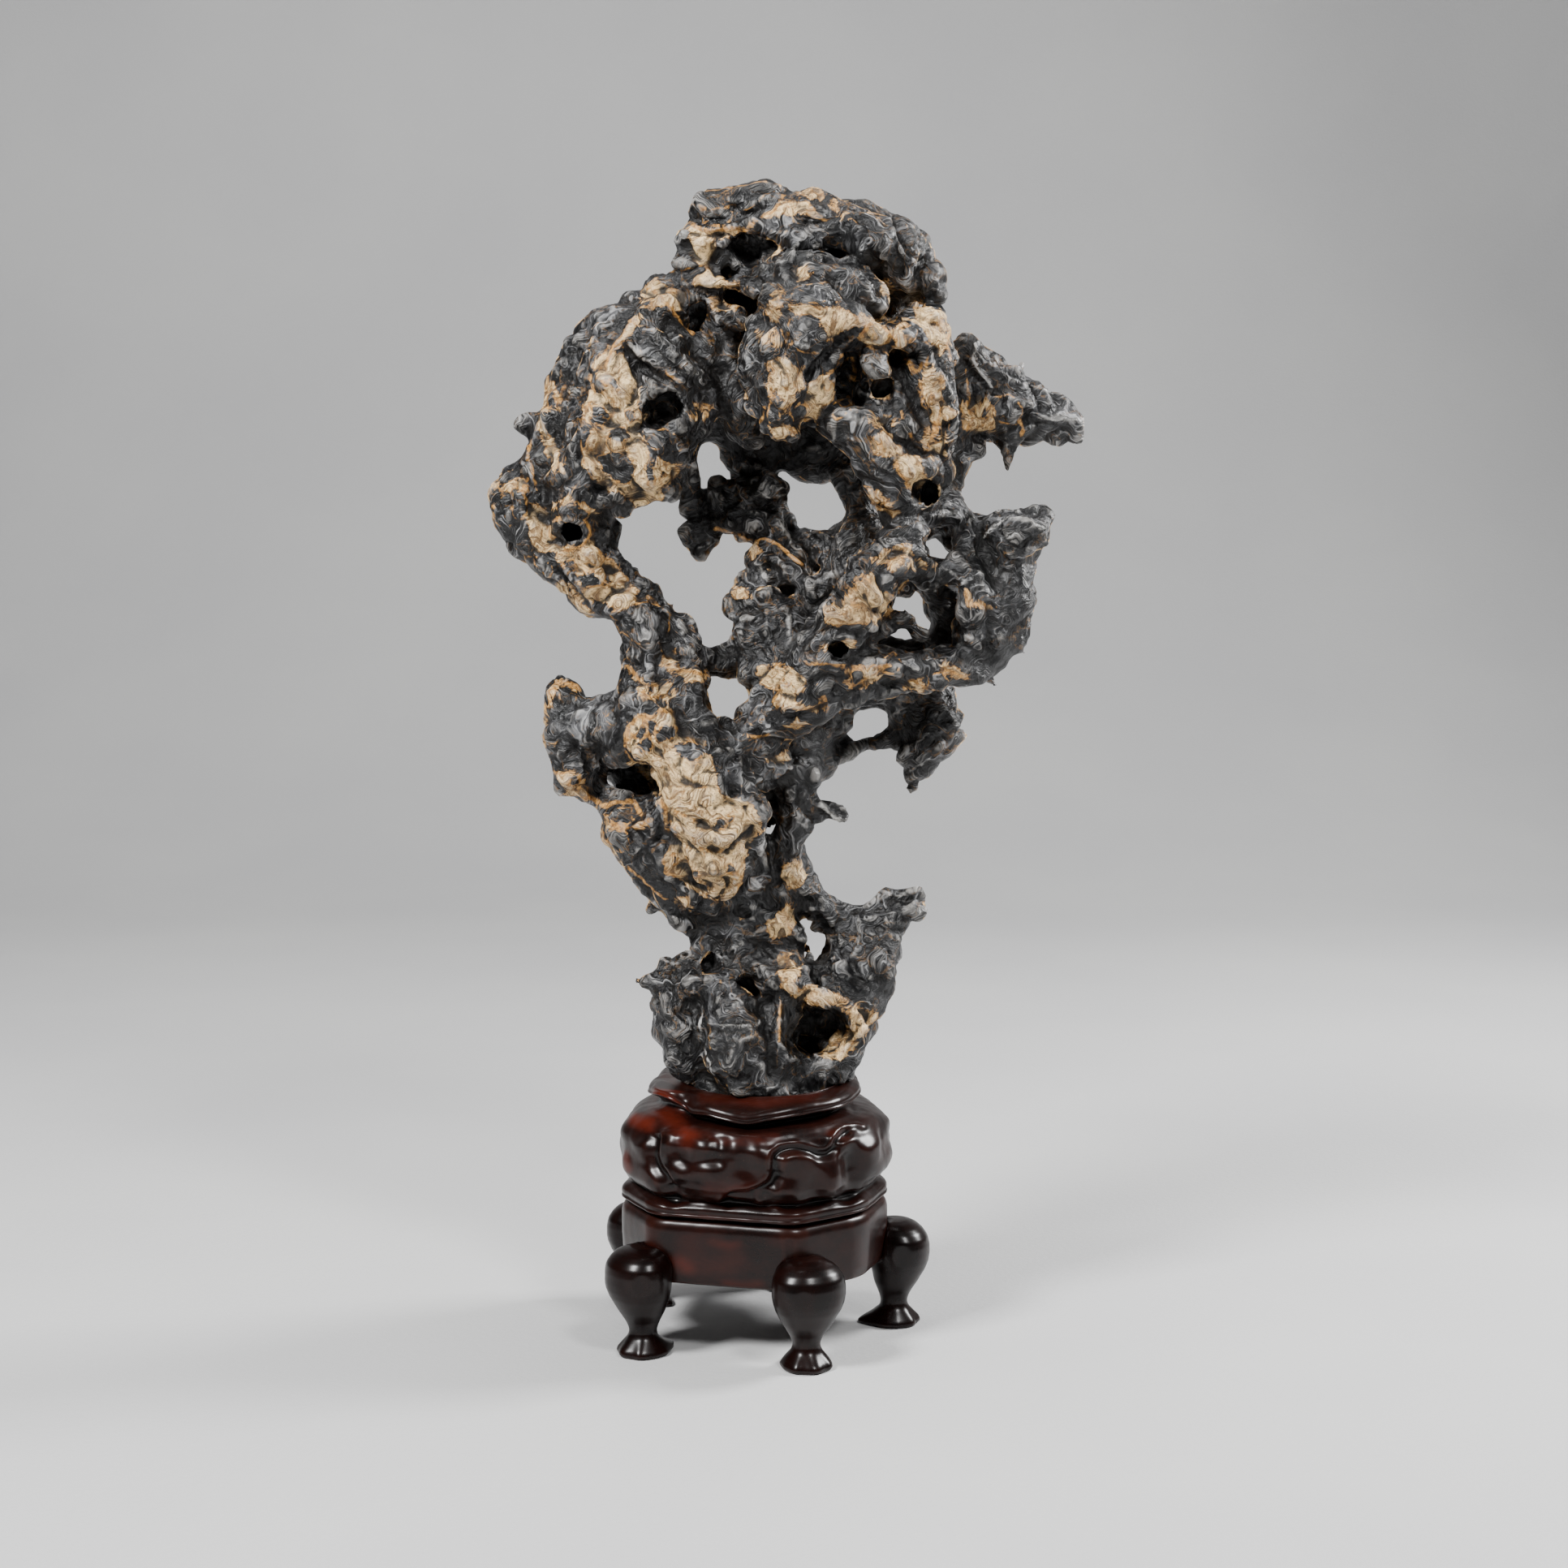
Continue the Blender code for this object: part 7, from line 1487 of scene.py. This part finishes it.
spots = face.spots
warp = np.stack([noise_at(spots, BEND_SIZE, seed) for seed in (21.0, 22.0, 23.0)], axis=1)
bent = spots + BEND * warp
crease = noise_at(bent, CREASE_SIZE, 2.0, "crease")
small_crease = noise_at(bent + 3.0 * warp, SMALL_CREASE_SIZE, 4.0, "crease")
pit = noise_at(bent, PIT_SIZE, 6.0, "cell")
where = noise_at(spots, PATCH_SIZE, 8.0)
rib = np.sin(RIB_COUNT * noise_at(bent, RIB_SIZE, 10.0))
fold = 1.0 - 3.0 * np.abs(noise_at(bent, FOLD_SIZE, 12.0))
small_fold = 1.0 - 3.0 * np.abs(noise_at(bent + 2.0 * warp, SMALL_FOLD_SIZE, 14.0))
# The smooth parts are ribbed instead.
sleek = np.zeros(len(lift))
for across, up, reach in SMOOTH_PARTS:
    sleek = np.maximum(sleek, np.exp(-((face.across - across) ** 2 + (face.up - up) ** 2) / reach ** 2))
rough_part = 1.0 - 0.75 * sleek
lift -= CREASE_DEPTH * np.exp(-crease / 0.08) * np.clip(0.5 + where, 0.0, 1.2) * rough_part
lift -= SMALL_CREASE_DEPTH * np.exp(-small_crease / 0.12) * np.clip(0.5 - where, 0.0, 1.2)
lift -= PIT_DEPTH * np.clip(PIT_REACH - pit, 0.0, PIT_REACH) / PIT_REACH * rough_part
lift += RIB_HEIGHT * rib * np.clip(0.4 + sleek + 1.2 * noise_at(spots, 22.0, 14.0), 0.0, 1.4)
lift += (FOLD_HEIGHT * fold * np.clip(0.6 + where, 0.1, 1.0) * (1.0 - 0.4 * sleek) +
         SMALL_FOLD_HEIGHT * small_fold * np.clip(0.6 - where, 0.1, 1.0))
# Thumbprint scallops that meet in sharp crests.
scallop = noise_at(spots + 5.0 * warp, SCALLOP_SIZE, 20.0, "cell") - 0.45
small_scallop = noise_at(spots + 2.0 * warp, SMALL_SCALLOP_SIZE, 24.0, "cell") - 0.45
lift += (SCALLOP_HEIGHT * scallop * np.clip(0.7 - 1.4 * where, 0.2, 1.0) +
         SMALL_SCALLOP_HEIGHT * small_scallop) * rough_part
face.carved(lift)

# The foot is dressed to an oval tenon that drops into the seat.
TENON_FIT = 0.998

spots = points_of(rock)
below = spots[:, 2] < SEAT_MOUTH + 0.3
risen = np.clip((spots[:, 2] - SEAT_FLOOR) / (SEAT_MOUTH - SEAT_FLOOR), 0.0, 1.0)
narrow = SEAT_TAPER + (1.0 - SEAT_TAPER) * risen
wide = np.hypot((spots[:, 0] - SEAT_CENTRE) / (SEAT_HALF[0] * narrow), spots[:, 1] / (SEAT_HALF[1] * narrow))
squeeze = np.where(below & (wide > TENON_FIT), TENON_FIT / np.maximum(wide, 1e-6), 1.0)
spots[:, 0] = SEAT_CENTRE + (spots[:, 0] - SEAT_CENTRE) * squeeze
spots[:, 1] *= squeeze
spots[:, 2] = np.maximum(spots[:, 2], SEAT_FLOOR)
low, high = (np.array(corner) * 1000.0 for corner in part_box("rock"))
set_points(rock, np.clip(spots, low, high))

# On the sides that the marks don't reach, cream gathers by itself in broad patches.
own = np.clip(0.5 + 1.6 * noise_at(spots, 46.0, 16.0) + 0.5 * noise_at(spots, 17.0, 18.0), 0.0, 1.0)
cream = np.maximum(cream, hidden * own * 0.85)
keep_on(rock, "cream", evened(cream, face.ends, 1))
keep_on(rock, "ochre", ochre)
keep_on(rock, "dark", evened(dark, face.ends, 1))
keep_on(rock, "pale", pale)
keep_on(rock, "crest", crests(rock, 5))
# How far each point lies down in a hollow, for painted shade deep in the hollows.
spots = points_of(rock)
sunk = evened(((evened(spots, face.ends, 60) - spots) * normals_of(rock)).sum(axis=1), face.ends, 3)
keep_on(rock, "deep", np.clip((sunk - 0.4) / 2.2, 0.0, 1.0))

# The flatter parts give up points until the whole skin has ROCK_TRIANGLES.
rock.data.calc_loop_triangles()
step = rock.modifiers.new("thinned", "DECIMATE")
step.ratio = ROCK_TRIANGLES / len(rock.data.loop_triangles)
applied(rock)
set_points(rock, np.clip(points_of(rock), low, high))


# The last of these is painted shade.
STONE_BLACK, STONE_GREY, STONE_PAINTED_SHADE = (0.0020, 0.0020, 0.0023), (0.066, 0.066, 0.069), (0.0035, 0.0035, 0.004)
# The last of these is for ridges, paler for wear and a painted highlight.
PALE_LINE, PALE_VEIN, PALE_RIDGE_AND_HIGHLIGHT = (0.42, 0.42, 0.42), (0.48, 0.47, 0.45), (0.46, 0.44, 0.41)
CREAM_SHADE, CREAM_LIGHT, CREAM_FOLD = (0.24, 0.125, 0.042), (0.92, 0.66, 0.34), (0.11, 0.056, 0.020)
CREAM_CRACK, CREAM_SPECK = (0.038, 0.022, 0.011), (0.055, 0.034, 0.018)
RUST_DARK, RUST_LIGHT = (0.15, 0.062, 0.014), (0.66, 0.34, 0.090)
# Grime and painted shade in the creases, and painted shade deep in the hollows.
CREASE_GRIME_AND_SHADE, CAVE_PAINTED_SHADE = (0.006, 0.005, 0.0042), (0.0045, 0.0040, 0.0038)


def limestone(name):
    """Oiled limestone: grey with fine contour lines, cream fillings with ochre borders, veins and specks,
    painted shade along drawn lines, in creases and deep in hollows, and paler ridges for wear and a painted
    highlight.
    """
    finish, start, place = new_finish(name)
    cream, ochre, dark, pale, crest, deep = (
        start.node("ShaderNodeAttribute", {"attribute_name": kept}, out=2)
        for kept in ("cream", "ochre", "dark", "pale", "crest", "deep"))
    swirl = place.grain(0.030, 2.0, 0.5, out=1)
    bent = place.moved(swirl, 0.030)
    contour = bent.grain(0.034, 2.5, 0.45)
    # Broken streaks that follow the contours of the stone's bedding, coarse and fine.
    streak = bent.streaked(contour * 0.50, 0.030)
    hair = bent.streaked(contour * 1.30, 0.027)
    cloud = bent.grain(0.013, 4.0, 0.6)
    fine = bent.grain(0.0024, 4.0, 0.65)
    speck = place.grain(0.0013, 2.0, 0.6)
    blotch = bent.grain(0.016, 3.0, 0.55)
    border = bent.grain(0.0060, 5.0, 0.66)
    # Grey stone, lighter and darker from streak to streak.
    tone = cloud * 0.45 + streak * 0.60 + hair * 0.70 + fine * 0.15 - 0.45
    grey = tone.between(0.48, 0.66).mixed(colour_of(*STONE_BLACK), colour_of(*STONE_GREY))
    grey = (hair.between(0.53, 0.64) * streak.between(0.46, 0.62) * 0.62).mixed(grey, colour_of(*PALE_LINE))
    # Painted shade where the dark lines lie.
    grey = (dark * 0.85).mixed(grey, colour_of(*STONE_PAINTED_SHADE))
    # Cream filling with ochre where it meets the stone.
    share = cream * 0.95 + (border - 0.5) * 1.50 + (streak - 0.5) * 1.40 + (hair - 0.5) * 0.70 - 0.055
    filled = share.between(0.42, 0.50)
    edge = share.between(0.32, 0.43) * (1.0 - share.between(0.47, 0.62))
    filling = (fine * 0.5 + blotch * 0.35 + hair * 0.45).between(0.48, 0.80)
    filling = filling.mixed(colour_of(*CREAM_SHADE), colour_of(*CREAM_LIGHT))
    filling = ((1.0 - hair.between(0.38, 0.50)) * 0.70).mixed(filling, colour_of(*CREAM_FOLD))
    filling = ((1.0 - streak.between(0.36, 0.47)) * 0.8).mixed(filling, colour_of(*CREAM_CRACK))
    filling = (speck.between(0.57, 0.68) * 0.85).mixed(filling, colour_of(*CREAM_SPECK))
    stone = filled.mixed(grey, filling)
    rust = fine.between(0.3, 0.7).mixed(colour_of(*RUST_DARK), colour_of(*RUST_LIGHT))
    vein = bent.grain(0.026, 4.0, 0.55).near(0.5, 0.014)
    stone = (edge * 0.60).mixed(stone, rust)
    stone = (vein * (0.25 + cream * 0.5) * cloud.between(0.35, 0.6)).mixed(stone, rust)
    stone = (ochre * (0.35 + border)).between(0.42, 0.68).mixed(stone, rust)
    stone = (pale * (0.30 + border)).between(0.32, 0.60).mixed(stone, colour_of(*PALE_VEIN))
    # Ridges a little paler, for wear and a painted highlight; creases darkened, for grime and painted shade;
    # and painted shade deep in the hollows.
    stone = (crest.between(0.66, 1.0) * hair.between(0.40, 0.62) * 0.40).mixed(stone, colour_of(*PALE_RIDGE_AND_HIGHLIGHT))
    stone = ((1.0 - crest.between(0.10, 0.50)) * 0.92).mixed(stone, colour_of(*CREASE_GRIME_AND_SHADE))
    stone = (deep * 0.88).mixed(stone, colour_of(*CAVE_PAINTED_SHADE))
    rough = 0.27 + filled * 0.18 + fine * 0.14 + (1.0 - crest) * 0.14
    dimple = bent.node("ShaderNodeTexVoronoi", {"feature": "F1"},
                       {"Vector": bent, "Scale": 210.0, "Randomness": 1.0})
    height = streak * 1.6 + hair * 1.1 + fine * 0.5 + speck * 0.10 + dimple * 0.7
    surfaced(start, stone, rough, height, 0.0016, specular=0.42)
    return finish


rock.data.transform(Matrix.Scale(0.001, 4))
rock.data.materials.clear()
rock.data.materials.append(limestone("oiled_limestone"))
rock.data.shade_smooth()
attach(rock, "root")
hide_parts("rock")
